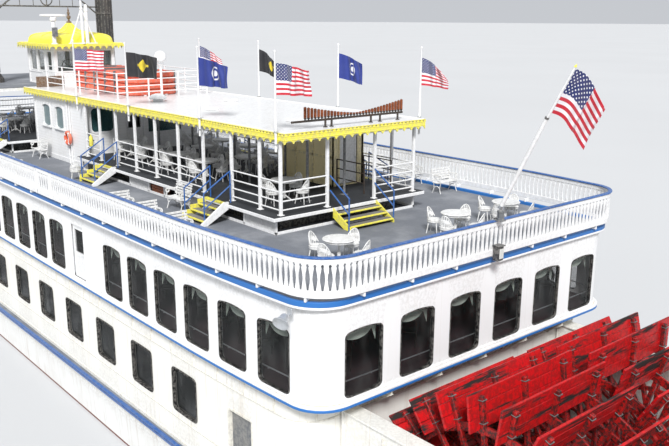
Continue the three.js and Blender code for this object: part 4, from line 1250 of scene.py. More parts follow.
class Finish(Enum):
    """Every finish on the boat."""

    WHITE = Enamel("white enamel", (0.80, 0.80, 0.80), 0.38, mottle=0.03, streaks=0.12, wear=0.2)
    WHITE_PLATING = Enamel("white plating", (0.80, 0.80, 0.80), 0.36, mottle=0.04, streaks=0.2, wear=0.2,
                           seams=0.6096)
    BOTTOM = Enamel("hull paint", (0.78, 0.78, 0.76), 0.42, grime_and_lap_shade=(0.30, 0.19, 0.10), mottle=0.1, streaks=0.45,
                    seams=1.2192, below=(0.15, 0.028, 0.018))
    # Its laps get a painted shade line under each board's edge.
    SIDING = Enamel("white siding", (0.80, 0.80, 0.80), 0.40, mottle=0.02, streaks=0.08, wear=0.15, laps=0.065)
    CREAM_PLATING = Enamel("cream plating", (0.80, 0.79, 0.74), 0.42, grime_and_lap_shade=(0.34, 0.20, 0.09), mottle=0.05, wear=0.2,
                           streaks=0.4, seams=0.6096)
    YELLOW_TRIM = Enamel("rusty cream trim", (0.70, 0.62, 0.40), 0.5, grime_and_lap_shade=(0.30, 0.15, 0.05), mottle=0.7,
                         streaks=0.6)
    CREAM = Enamel("cream enamel", (0.77, 0.75, 0.67), 0.42, grime_and_lap_shade=(0.34, 0.20, 0.09), mottle=0.08, streaks=0.4)
    # Painted light: a brighter, warmer copy of the cream paint, so that the companion's shaded walls look sunlit.
    SUNLIT_CREAM = Enamel("cream enamel brightened as painted sunlight", (0.88, 0.76, 0.42), 0.45, grime_and_lap_shade=(0.34, 0.22, 0.09), mottle=0.08, streaks=0.3)
    BLUE = Enamel("blue enamel", (0.008, 0.085, 0.31), 0.38, grime_and_lap_shade=(0.03, 0.08, 0.24), mottle=0.1, streaks=0.1,
                  under=(0.3, 0.33, 0.4), wear=0.2, coat=0.1)
    STRIPE = Enamel("blue stripe enamel", (0.02, 0.14, 0.42), 0.45, grime_and_lap_shade=(0.05, 0.14, 0.34), mottle=0.08,
                    streaks=0.15, wear=0.0, coat=0.0)
    YELLOW = Enamel("yellow enamel", (0.86, 0.77, 0.07), 0.42, grime_and_lap_shade=(0.48, 0.38, 0.06), mottle=0.12, streaks=0.2)
    BLACK = Enamel("black enamel", (0.022, 0.023, 0.026), 0.45, grime_and_lap_shade=(0.09, 0.085, 0.08), mottle=0.3, streaks=0.3)
    STACK = Enamel("stack paint", (0.035, 0.034, 0.035), 0.55, grime_and_lap_shade=(0.16, 0.13, 0.11), mottle=0.3, streaks=0.6,
                   coat=0.0)
    ANTIFOUL = Enamel("bottom paint", (0.15, 0.028, 0.018), 0.7, grime_and_lap_shade=(0.10, 0.09, 0.05), mottle=0.7,
                      streaks=0.3, coat=0.0)
    GREY_STEEL = Enamel("dark grey enamel", (0.09, 0.10, 0.115), 0.5, mottle=0.15)
    LACE = Enamel("white cast metal", (0.76, 0.76, 0.75), 0.45, mottle=0.08, streaks=0.1)
    SIGN = Enamel("brown board", (0.12, 0.062, 0.03), 0.55, grime_and_lap_shade=(0.22, 0.14, 0.07), mottle=0.5)
    TEAL = Enamel("teal table top", (0.05, 0.17, 0.17), 0.3, grime_and_lap_shade=(0.10, 0.2, 0.2), mottle=0.4, streaks=0.0)
    FLOAT = Enamel("float cloth", (0.70, 0.095, 0.04), 0.62, grime_and_lap_shade=(0.60, 0.19, 0.10), mottle=0.4, streaks=0.4,
                   coat=0.0)
    LIFEBUOY = Enamel("lifebuoy", (0.78, 0.10, 0.03), 0.5, mottle=0.2)
    JACKETS = Enamel("stowed jackets", (0.42, 0.14, 0.06), 0.8, grime_and_lap_shade=(0.2, 0.06, 0.03), mottle=0.6, coat=0.0)
    RED_FRAME = Enamel("red enamel", (0.40, 0.010, 0.009), 0.42, grime_and_lap_shade=(0.06, 0.005, 0.005), mottle=0.75,
                       streaks=0.5, under=(0.02, 0.014, 0.013), wear=0.9)
    RED_PLANK = BucketPaint("bucket paint", (0.52, 0.006, 0.009), 0.42, shine=0.35, amount=0.8)
    GREY_DECK = NonSlip("grey deck paint", (0.145, 0.155, 0.175), 0.8)
    BLACK_DECK = NonSlip("black deck paint", (0.020, 0.022, 0.026), 0.75, scuff=(0.06, 0.065, 0.07))
    CARPET = NonSlip("dark carpet", (0.05, 0.03, 0.035), 0.95, scuff=(0.08, 0.05, 0.05))
    TREAD = NonSlip("tread plate", (0.16, 0.15, 0.14), 0.7)
    RUBBER = Enamel("black rubber", (0.016, 0.016, 0.017), 0.85, shine=0.1, grime_and_lap_shade=(0.03, 0.03, 0.028), mottle=0.2,
                    coat=0.0)
    GALVANISED = Metal("galvanised steel", (0.62, 0.64, 0.66), 0.38, 0.75, tarnish=(0.30, 0.30, 0.29))
    COPPER = Metal("copper", (0.42, 0.13, 0.055), 0.34, 0.8, tarnish=(0.06, 0.025, 0.015), amount=0.7)
    IRON = Metal("dark iron", (0.07, 0.065, 0.06), 0.5, 0.6, tarnish=(0.10, 0.045, 0.02), amount=0.5)
    ENGINE = Metal("painted casting", (0.20, 0.22, 0.22), 0.5, 0.3)
    GLASS = TintedGlass("tinted glass", (0.010, 0.013, 0.013), 0.05, clear=0.76)
    TEAL_GLASS = TintedGlass("teal glass", (0.02, 0.07, 0.075), 0.06, clear=0.2)
    # Painted reflection: the pale, nearly opaque tint stands partly for the sky reflected in the glass and partly for a
    # pale blind behind it.
    PALE_GLASS = TintedGlass("pale glass with painted sky reflection", (0.20, 0.27, 0.28), 0.08, clear=0.25)
    CLEAR_GLASS = TintedGlass("clear glass", (0.10, 0.13, 0.13), 0.05, clear=0.75)
    LAMP = TintedGlass("lamp glass", (0.7, 0.7, 0.66), 0.1, clear=0.2)
    CURTAIN = Woven("pale curtain", (0.62, 0.72, 0.63), 0.85, fade=(0.74, 0.77, 0.7))
    STRIPES = FlagCloth("striped flag", (0.8, 0.8, 0.8), 0.75, fade=(0.45, 0.35, 0.38), faded=0.12, threads=700.0)
    GOLD = FlagCloth("black flag", (0.018, 0.018, 0.022), 0.75, fade=(0.05, 0.045, 0.04), faded=0.3, threads=700.0,
                     design=FlagDesign.GOLD)
    RING = FlagCloth("blue flag", (0.018, 0.035, 0.22), 0.75, fade=(0.05, 0.07, 0.24), faded=0.3, threads=700.0,
                     design=FlagDesign.WHITE)
    FLOOR = Floor("studio floor", (0.52, 0.525, 0.53), 0.9)

    @lru_cache(maxsize=None)
    def material(self) -> bpy.types.Material:
        """The finish's material, made once."""
        return self.value.make()


# ---------------------------------------------------------------- furniture


@dataclass
class Furniture:
    """Tables, chairs and benches on the decks."""

    @staticmethod
    def ring_of_chairs(tables: Array, reach: float, count: int, start: float = 45.0) -> tuple[Array, Array]:
        """Places and turns of chairs set evenly round each table, facing its middle.

        Args:
            tables: Foot of each table.
            reach: Distance from a table's middle to a chair's.
            count: Chairs round each table.
            start: Angle of the first chair in degrees.

        Returns:
            One place and one 3 by 3 turn for each chair.
        """
        turn = np.radians(start + np.arange(count) * 360 / count)
        turn = np.tile(turn, len(tables))
        away = spread(np.cos(turn), np.sin(turn), 0)
        return np.repeat(tables, count, axis=0) + away * reach, Furniture.turns(turn)

    @staticmethod
    def turns(turn: Array) -> Array:
        """Turns about the upright, one 3 by 3 matrix for each angle in radians."""
        c, s, z = np.cos(turn), np.sin(turn), turn * 0
        return np.stack([np.stack([c, -s, z], 1), np.stack([s, c, z], 1), np.stack([z, z, z + 1], 1)], axis=1)

    @staticmethod
    def stacking_chair() -> Shape:
        """A banquet chair: four legs, a seat and a bowed back, its back away from x = 0."""
        legs = rods([(-0.18, -0.18, 0), (-0.18, 0.18, 0), (0.2, -0.18, 0), (0.2, 0.18, 0)],
                    [(-0.18, -0.18, 0.44), (-0.18, 0.18, 0.44), (0.24, -0.18, 0.86), (0.24, 0.18, 0.86)], 0.013, 5)
        return joined([legs, board(-0.21, 0.21, -0.21, 0.21, 0.43, 0.48, 0.02),
                       board(0.2, 0.24, -0.2, 0.2, 0.6, 0.88, 0.015)])

    @staticmethod
    def lace_chair() -> Shape:
        """A cast garden chair: curved back of pierced leaves, round seat, splayed legs."""
        turn = np.radians(np.linspace(-70, 70, 9))
        rim = np.stack([0.215 * np.cos(turn), 0.215 * np.sin(turn), 0.42 + 0.37 * np.cos(turn * 1.15)], axis=1)
        hoop = sweep(rim, circle_section(0.016, 5), up=(0.3, 0, 1))
        ribs = np.radians([-48, -32, -16, 0, 16, 32, 48])
        foot = circle((0, 0, 0.44), 0.2, ribs)
        head = np.stack([0.215 * np.cos(ribs), 0.215 * np.sin(ribs), 0.42 + 0.37 * np.cos(ribs * 1.15)], axis=1)
        bars = beams(foot, head, 0.036, 0.01, up=(1, 0, 0), edge=0.003)
        mid = (foot + head) / 2
        bosses = blocks(mid, (0.012, 0.034, 0.05), Furniture.turns(ribs), 0.01)
        seat = lathe([(0, 0.41), (0.2, 0.41), (0.225, 0.425), (0.2, 0.445), (0, 0.44)], sides=12)
        spread = np.radians([45, 135, 225, 315])
        legs = rods(circle((0, 0, 0), 0.24, spread), circle((0, 0, 0.42), 0.16, spread), 0.014, 5, 0.02)
        apron = lathe([(0.2, 0.34), (0.215, 0.36), (0.215, 0.41), (0.2, 0.41)], sides=12)
        return joined([hoop, bars, bosses, seat, legs, apron])

    @staticmethod
    def lace_table(high: float = 0.72) -> Shape:
        """A round table on a cast pedestal with three feet."""
        top = lathe([(0, high - 0.03), (0.43, high - 0.03), (0.45, high - 0.015), (0.43, high), (0, high)], sides=24)
        skirt = lathe([(0.36, high - 0.09), (0.4, high - 0.08), (0.41, high - 0.03), (0.36, high - 0.03)], sides=24)
        stem = lathe([(0, 0.1), (0.05, 0.1), (0.035, 0.16), (0.055, 0.3), (0.03, 0.4), (0.045, high - 0.03),
                      (0, high - 0.03)], sides=10)
        foot = circle((0, 0, 0.02), 0.3, np.radians([90, 210, 330]))
        feet = rods(foot, np.tile((0, 0, 0.2), (3, 1)), 0.018, 6, 0.03)
        return joined([top, skirt, stem, feet])

    @staticmethod
    def bench(length: float = 1.05) -> Shape:
        """A slatted bench with scrolled ends; it faces +y and stands with its back at y = 0."""
        half = length / 2
        y = np.linspace(0.1, 0.42, 5)
        seat = blocks(spread(0, y, 0.43 - 0.03 * np.sin(y * 7)), (half, 0.032, 0.012))
        z = np.linspace(0.5, 0.86, 5)
        back = blocks(spread(0, 0.07 - (z - 0.43) * 0.18, z), (half, 0.012, 0.032))
        turn = np.linspace(0, 1.6 * np.pi, 18)
        roll = circle((0, 0.40, 0.62), 0.055, turn, "zy")
        arm = np.concatenate([smooth_path([(0, 0.0, 0.66), (0, 0.2, 0.67), (0, 0.38, 0.675)], 8), roll[1:]])
        side = [sweep(arm, box_section(0.05, 0.02, 0.004, -0.01), up=(1, 0, 0))]
        lines = [
            [(0, -0.01, 0.86), (0, 0.06, 0.45), (0, 0.1, 0.2), (0, 0.02, 0.0)],
            [(0, 0.42, 0.58), (0, 0.43, 0.42), (0, 0.38, 0.2), (0, 0.44, 0.0)],
            [(0, 0.06, 0.42), (0, 0.25, 0.36), (0, 0.42, 0.42)],
            [(0, 0.09, 0.2), (0, 0.25, 0.27), (0, 0.38, 0.2)],
        ]
        side += [sweep(smooth_path(line, 10), circle_section(0.016, 6), up=(1, 0, 0)) for line in lines]
        end = joined(side)
        return joined([seat, back, end.moved(x=half - 0.08), end.moved(x=-half + 0.08)])

    def build(self) -> None:
        """Sets out the tables, chairs and benches of the promenade and the sheltered decks."""
        aft = [(x, y) for x in (7.2, 11.9, 13.9, 15.9, 17.9) for y in (1.5, -1.75) if not (x < 11 and y < 0)]
        aft += [(11.7, -0.1), (14.9, -0.15)]
        fore = [(x, y) for x in (28.8, 31.2, 33.6) for y in (2.5, 0.0, -2.5)]
        stern = [(2.3, y) for y in (-3.6, -1.2, 3.4)]
        tables = np.concatenate([lifted(aft + fore, RAISED), lifted(stern, PROMENADE)])
        spots, turns = self.ring_of_chairs(tables, 0.68, 4, 20)
        spots = np.concatenate([spots, [(17.6, 4.1, PROMENADE)]])
        turns = np.concatenate([turns, self.turns(np.radians([155.0]))])
        row = [(x, y, 90) for x in (7.0, 8.8, 10.65) for y in (5.72, -5.72)]
        row += [(x, y, 180 if y > 0 else 0) for x in (20.2, 22.6) for y in (5.86, -5.86)]
        row += [(10.52, 3.25, 0), (10.52, -3.25, 180), (23.8, 2.95, 0), (21.5, -2.95, 180)]
        seats = np.array(row, float)
        sets = {
            "lace_tables": self.lace_table().copies(tables),
            "lace_chairs": self.lace_chair().copies(spots, turns),
            "slatted_benches": self.bench().copies(lifted(seats[:, :2], PROMENADE),
                                                   self.turns(np.radians(seats[:, 2]))),
        }
        for name, shape in sets.items():
            Piece(name, slot="white_paint").add(shape, Finish.LACE).make()


# ---------------------------------------------------------------- hull and main deck


@dataclass
class Hull:
    """The hull: rounded bilges, raked bow and a flat bottom.

    Args:
        sections: Rows of station, deck half breadth, bottom half breadth and bottom height.
        top: Height of the hull's top.
    """

    sections: tuple[tuple[float, ...], ...] = (
        (0.6, 5.9, 5.3, -0.2), (4.0, 6.05, 5.7, -1.0), (8.0, 6.1, 5.9, -2.1), (22.0, 6.1, 5.9, -2.1),
        (36.0, 6.1, 5.9, -2.1), (42.0, 5.6, 4.4, -1.85), (46.5, 4.0, 2.4, -1.0), (49.3, 2.1, 0.9, 0.1),
        (50.8, 0.7, 0.3, 0.95),
    )
    top: float = 1.6 - GAP

    def build(self) -> None:
        """Lofts a half section of a side, a rounded bilge and a floor, eased along the sections."""
        rows = smooth_path(self.sections, 90)
        rows[:, 0] = np.clip(rows[:, 0], 0.6, 50.8)
        rows[:, 1:3] = np.clip(rows[:, 1:3], 0.3, (6.1, 5.9))
        rows[:, 3] = np.clip(rows[:, 3], -2.1, 0.95)
        edge = np.stack([rows[:, 1], np.full(90, self.top)], axis=1)
        chine = rows[:, 2:4]
        keel = np.stack([np.zeros(90), rows[:, 3]], axis=1)
        high, low = edge + (chine - edge) * 0.8, chine + (keel - chine) * 0.12
        t = np.linspace(0, 1, 8)[:, None, None]
        side = edge + (high - edge) * np.linspace(0, 1, 6)[:-1, None, None]
        bilge = (1 - t) ** 2 * high + 2 * t * (1 - t) * chine + t**2 * low
        floor = low + (keel - low) * np.linspace(0, 1, 4)[1:, None, None]
        port = np.concatenate([side, bilge, floor])
        ring = np.concatenate([port, port[:-1][::-1] * (-1, 1)])
        station = np.broadcast_to(rows[:, 0], ring.shape[:2])[..., None]
        skin = tube(np.concatenate([station, ring], axis=-1).transpose(1, 0, 2))
        Piece("river_hull", slot="white_paint", replaces=("hull",)).add(skin, Finish.BOTTOM).make()


@dataclass
class MainDeck:
    """The main deck with its rubbing strake.

    Args:
        low, high: Heights of its two faces.
        guard: Thickness of the strake round it.
    """

    low: float = 1.6
    high: float = 1.8
    guard: float = 0.1

    def outline(self) -> Array:
        """The deck's edge: straight sides, then a cubic curve in to the headlog."""
        t = np.linspace(0, 1, 30)[:, None]
        a, b, c, d = (np.array(p) for p in ((36, 6.42), (42, 6.42), (47.5, 4.2), (51, 0.8)))
        bow = (1 - t) ** 3 * a + 3 * t * (1 - t) ** 2 * b + 3 * t**2 * (1 - t) * c + t**3 * d
        side = np.linspace((0.55, 6.2), (36, 6.42), 30)[:-1]
        port = np.concatenate([side, bow])
        return np.concatenate([port, (port * (1, -1))[::-1]])

    def build(self) -> None:
        """Lays the plate inside a strake that follows its edge."""
        edge = self.outline()
        middle = (self.low + self.high) / 2
        path = lifted(edge, middle)
        tangent = np.gradient(edge, axis=0)
        tangent /= np.linalg.norm(tangent, axis=1)[:, None]
        inward = np.stack([tangent[:, 1], -tangent[:, 0]], axis=1)
        inner = edge + inward * self.guard * 0.5
        path[:, :2] = edge + inward * (self.guard / 2 + 0.005)
        inner[[0, -1], 0] = 0.55
        path[[0, -1], 0] = 0.55
        piece = Piece("main_deck_plate", slot="blue_paint", replaces=("main_deck",))
        piece.add(prism(inner, self.low, self.high - 0.004), Finish.GREY_DECK)
        strake = box_section(self.guard, 0.2, 0.02, -0.1)
        piece.add(sweep(path, strake), Finish.BLUE)
        outer = path.copy()
        outer[:, :2] = edge + inward * 0.022
        piece.add(sweep(outer, circle_section(0.02, 8)), Finish.RUBBER)
        piece.make()


@dataclass
class MainCabin:
    """The main deck's cabin, with tall windows on each side and a doorway aft of them.

    Args:
        line: Its wall line.
        window, doorway: Its openings.
        first, pitch, count: Stations of the windows.
        door: Station of the doorway.
    """

    line: DeckLine = MAIN_LINE
    window: Opening = Opening(1.3, 2.9, 4.2, 0.02, 0.1)
    doorway: Opening = Opening(1.0, 1.95, 4.0, 0.0, 0.02)
    first: float = 6.0
    pitch: float = 2.6
    count: int = 12
    door: float = 3.2

    def openings(self, opening: Opening, stations) -> list[tuple[float, Opening]]:
        """One kind of opening at the same stations on both sides."""
        return [(self.line.side(x, port), opening) for x in stations for port in (True, False)]

    def build(self) -> None:
        """Raises the wall and fills its openings with frames, glass and rolling shutters."""
        low, high = MAIN_DECK + GAP, SECOND_UNDER - GAP
        windows = self.openings(self.window, self.first + self.pitch * np.arange(self.count))
        doors = self.openings(self.doorway, [self.door])
        wall = PiercedWall(self.line, low, high, 0.12, windows + doors)
        glazed = PiercedWall(self.line, low, high, 0.12, windows)
        framed = PiercedWall(self.line, low, high, 0.12, doors)
        piece = Piece("main_cabin", slot="cream_paint", replaces=("main_cabin_walls",))
        piece.add(wall.wall(), Finish.CREAM_PLATING)
        piece.add(glazed.collars(0.035, 0.015, 0.02, 0.1), Finish.RUBBER)
        piece.add(framed.collars(0.05, 0.01, 0.02, 0.13), Finish.CREAM)
        for z, depth in ((1.86, 0.1), (2.62, 0.05), (4.62, 0.05)):
            piece.add(self.line.band(z, box_section(0.05, depth, 0.01), step=0.3), Finish.CREAM)
        s = np.arange(0.6, self.line.length(), 1.22)
        brackets = lifted(self.line.at(s, -0.015), 4.9)
        piece.add(blocks(brackets, (0.03, 0.02, 0.26), self.line.axes(s)), Finish.CREAM)
        piece.make()
        glass = Piece("main_cabin_panes", slot="dark_glass", replaces=("main_cabin_glazing",))
        glass.add(glazed.panes(0.07, 0.02), Finish.GLASS)
        glass.add(framed.panes(0.085, 0.02, -0.03), Finish.GREY_STEEL)
        glass.make()


# ---------------------------------------------------------------- second deck and saloon


@dataclass
class SecondDeck:
    """The second deck: a guard round it, gussets under its stern and carpet inside.

    Args:
        line: Its outline.
        low, high: Heights of its two faces.
        pitch: Spacing of the gussets across the stern.
    """

    line: DeckLine = SECOND_LINE
    low: float = SECOND_UNDER
    high: float = SECOND_DECK
    pitch: float = STERN_PITCH

    def build(self) -> None:
        """Lays the deck inside its guard and hangs the gussets."""
        piece = Piece("second_deck_plate", slot="blue_paint", replaces=("second_deck",))
        inner = self.line.inside(0.06, 0.3)
        piece.add(prism(inner, self.low + 0.07, self.high - 0.003), Finish.GREY_DECK)
        piece.add(prism(SALOON_LINE.inside(0.15, 0.3), self.high - 0.002, self.high + 0.002), Finish.CARPET)
        piece.add(prism(inner, self.low, self.low + 0.069), Finish.CREAM)
        stripe = 0.075
        piece.add(self.line.band(self.low, box_section(0.1, stripe, 0.015), 0.05), Finish.STRIPE)
        rest = box_section(0.1, self.high - self.low - stripe, 0.012)
        piece.add(self.line.band(self.low + stripe, rest, 0.05), Finish.WHITE)
        piece.add(self.line.band(self.high - 0.012, box_section(0.05, 0.02, 0.006), 0.115), Finish.YELLOW_TRIM)
        outline = [(-0.06, 5.19), (0.6, 5.19), (0.6, 4.7), (0.45, 4.7), (0.3, 4.84), (-0.06, 5.08)]
        web = prism(outline, -0.012, 0.012, "xz")
        flange = beams([(0.45, 0, 4.7), (0.3, 0, 4.84)], [(0.3, 0, 4.84), (-0.06, 0, 5.08)], 0.1, 0.02, edge=0.004)
        y = np.arange(-2, 3) * self.pitch
        places = spread(0, y, 0)
        piece.add(joined([web, flange]).copies(places), Finish.CREAM)
        piece.make()


@dataclass
class Saloon:
    """The saloon: arched windows all round, doors amidships, curtains and tables inside.

    Args:
        line: Its wall line.
        window, bow_window, doorway: Its openings.
        door: Station of the doors.
        pitch, stern_pitch, bow_pitch: Spacing of the windows.
    """

    line: DeckLine = SALOON_LINE
    window: Opening = Opening(1.2, 5.46, 7.04, 0.07, 0.1)
    bow_window: Opening = Opening(1.1, 5.66, 7.04, 0.07, 0.1)
    doorway: Opening = Opening(0.95, 5.3906, 7.2906, 0.0, 0.02)
    door: float = 12.7
    pitch: float = 1.7
    stern_pitch: float = STERN_PITCH
    bow_pitch: float = 1.6

    def windows(self) -> list[tuple[float, Opening]]:
        """Places of all the windows along the wall line."""
        stations = np.concatenate([1.6 + self.pitch * np.arange(6), 14.6 + self.pitch * np.arange(13)])
        sides = [(self.line.side(x, port), self.window) for x in stations for port in (True, False)]
        stern = [(float(y % self.line.length()), self.window)
                 for y in (np.arange(6) - 2.5) * self.stern_pitch]
        bow = [(self.line.front(y), self.bow_window) for y in (np.arange(4) - 1.5) * self.bow_pitch]
        return sides + stern + bow

    def build(self) -> None:
        """Raises the walls, then their glass, doors, curtains and furniture."""
        low, high = SECOND_DECK + GAP, PROMENADE_UNDER - GAP
        windows = self.windows()
        doors = [(self.line.side(self.door, port), self.doorway) for port in (True, False)]
        wall = PiercedWall(self.line, low, high, 0.12, windows + doors)
        glazed = PiercedWall(self.line, low, high, 0.12, windows)
        framed = PiercedWall(self.line, low, high, 0.12, doors)
        piece = Piece("saloon_shell", slot="white_paint", replaces=("saloon_walls",))
        piece.add(wall.wall(), Finish.WHITE_PLATING)
        piece.add(glazed.collars(0.014, 0.02, 0.008, 0.1), Finish.RUBBER)
        piece.add(framed.collars(0.06, 0.0, 0.02, 0.125), Finish.WHITE)
        piece.add(self.line.band(low, box_section(0.05, 0.07, 0.012), -0.015), Finish.WHITE)
        piece.make()
        glass = Piece("saloon_panes", slot="dark_glass", replaces=("saloon_glazing",))
        glass.add(glazed.panes(0.04, 0.02), Finish.GLASS).make()
        self.doors()
        self.curtains(windows)
        self.inside()

    def doors(self) -> None:
        """Panelled leaves with a light, a kick plate and a lever, each on its own hinge line."""
        x0, x1 = 12.237, 13.163
        z0, z1 = 5.4106, 7.2706
        for side, name in SIDES:
            y = 6.14 * side
            leaf = Piece(f"{name}_saloon_leaf", f"{name}_saloon_door", "white_paint", (f"saloon_door_{name}",))
            frame = leaf_frame((x0, x1), (y - 0.036, y + 0.036), (z0, z1), 0.12, 0.2, 0.14, (6.2, 6.32))
            leaf.add(frame, Finish.WHITE)
            leaf.add(board(x0 + 0.11, x1 - 0.11, y - 0.02, y + 0.02, z0 + 0.19, 6.21), Finish.WHITE)
            leaf.add(board(x0 + 0.11, x1 - 0.11, y - 0.012, y + 0.012, 6.31, z1 - 0.13), Finish.GLASS)
            leaf.add(rods([(x1, y + 0.04 * side, z0 + 0.13)], [(x1, y + 0.04 * side, z1 - 0.18)], 0.0105, 10),
                     Finish.GALVANISED)
            lever = [(x0 + 0.06, y + 0.036 * side, 6.26), (x0 + 0.06, y + 0.05 * side, 6.26),
                     (x0 + 0.06, y + 0.05 * side, 6.26), (x0 + 0.16, y + 0.05 * side, 6.26)]
            leaf.add(rods(lever[::2], lever[1::2], 0.009), Finish.GALVANISED)
            leaf.make()

    def curtains(self, windows: list[tuple[float, Opening]]) -> None:
        """Hangs swags with tails inside the windows, one strip of cloth for each run of wall.

        Each strip is a pattern of across a and down b. Its head hangs straight, its lower edge
        falls as 1 - a squared between the tails, and its folds stand out as waves along a.
        """
        half = self.line.length() / 2
        runs: dict[str, list[float]] = {"stern": [], "port": [], "starboard": [], "bow": []}
        for s, _ in windows:
            x = float(self.line.at(s)[0])
            key = "stern" if x < 0.5 else "bow" if x > 37.5 else "port" if s < half else "starboard"
            runs[key].append(s)
        columns, rows, thick = 61, 15, 0.008
        across, down = np.meshgrid(np.linspace(-1, 1, columns), np.linspace(0, 1, rows), indexing="ij")
        across, down = across.reshape(-1), down.reshape(-1)
        out = np.abs(across)
        tail = np.clip((out - 0.78) / 0.14, 0, 1)
        drop = 0.36 + 0.24 * (1 - across**2) + 0.42 * tail * (1 - np.clip((out - 0.92) / 0.08, 0, 1))
        z = (7.32 - drop * down)[:, None]
        fold = 0.028 * np.sin(out * 34) * tail + 0.03 * np.sin(down * 11 - across**2 * 5) * (1 - tail)
        uv = np.stack([across, down], axis=1)
        wide, deep = 1.32, 0.65
        for key, places in runs.items():
            swags = []
            for s in places:
                near, far = (lifted(self.line.at(s + across * wide / 2, 0.27 + fold + inset), z)
                             for inset in (0.0, thick))
                swags.append(shell(near, far, columns, rows, uv))
            made = Piece(f"curtains_{key}", slot="flag_cloth", crease=80).add(joined(swags), Finish.CURTAIN).make()

    def inside(self) -> None:
        """Curtain rails, a handrail, tables and chairs."""
        rails = Piece("saloon_rails", slot="black_paint")
        rails.add(self.line.band(7.33, circle_section(0.022, 8), 0.27, 0.25), Finish.IRON)
        rails.add(self.line.band(5.75, circle_section(0.018, 8), 0.2, 0.25), Finish.GALVANISED)
        s = np.arange(0.0, self.line.length(), self.pitch) + 0.8
        rails.add(rods(*(lifted(self.line.at(s, inset), 5.765) for inset in (0.115, 0.2)), 0.012),
                  Finish.GALVANISED)
        head = lifted(self.line.at(s, 0.27), 7.33)
        rails.add(rods(head, head + (0, 0, 0.43), 0.014), Finish.IRON)
        rails.make()
        tables = Piece("saloon_tables", slot="grey_deck_paint")
        x, y = np.meshgrid(1.9 + 2.2 * np.arange(15), [-4.4, -2.0, 2.0, 4.4], indexing="ij")
        places = lifted(np.stack([x.reshape(-1), y.reshape(-1)], axis=1), SECOND_DECK)
        top = lathe([(0, 0.7), (0.48, 0.7), (0.5, 0.715), (0.5, 0.735), (0.48, 0.75), (0, 0.75)], sides=20)
        stem = lathe([(0, 0.002), (0.26, 0.002), (0.26, 0.02), (0.05, 0.05), (0.035, 0.35), (0.05, 0.69), (0, 0.7)],
                     sides=12)
        tables.add(top.copies(places), Finish.TEAL).add(stem.copies(places), Finish.IRON).make()
        chairs = Furniture.stacking_chair().copies(*Furniture.ring_of_chairs(places, 0.62, 4))
        Piece("saloon_chairs", slot="black_paint").add(chairs, Finish.IRON).make()


# ---------------------------------------------------------------- promenade and its rail


@dataclass
class PromenadeDeck:
    """The promenade: grey deck, blue edge and low coaming.

    Args:
        line: Its outline.
        low, high, lip: Heights of its underside, its walking surface and its coaming.
        wall: Width of the coaming.
    """

    line: DeckLine = PROMENADE_LINE
    low: float = PROMENADE_UNDER
    high: float = PROMENADE
    lip: float = COAMING
    wall: float = 0.12

    def build(self) -> None:
        """Lays the deck inside the coaming, with a painted ceiling under it."""
        piece = Piece("promenade_plate", slot="grey_deck_paint", replaces=("promenade_deck",))
        inner = self.line.inside(0.08, 0.25)
        piece.add(prism(inner, self.low + 0.03, self.high), Finish.GREY_DECK)
        piece.add(prism(inner, self.low, self.low + 0.0299), Finish.WHITE)
        for foot, head, finish in ((self.low, 7.83, Finish.WHITE), (7.83, self.lip, Finish.STRIPE)):
            section = box_section(self.wall, head - foot, 0.012)
            piece.add(self.line.band(foot, section, self.wall / 2, 0.16), finish)
        piece.make()


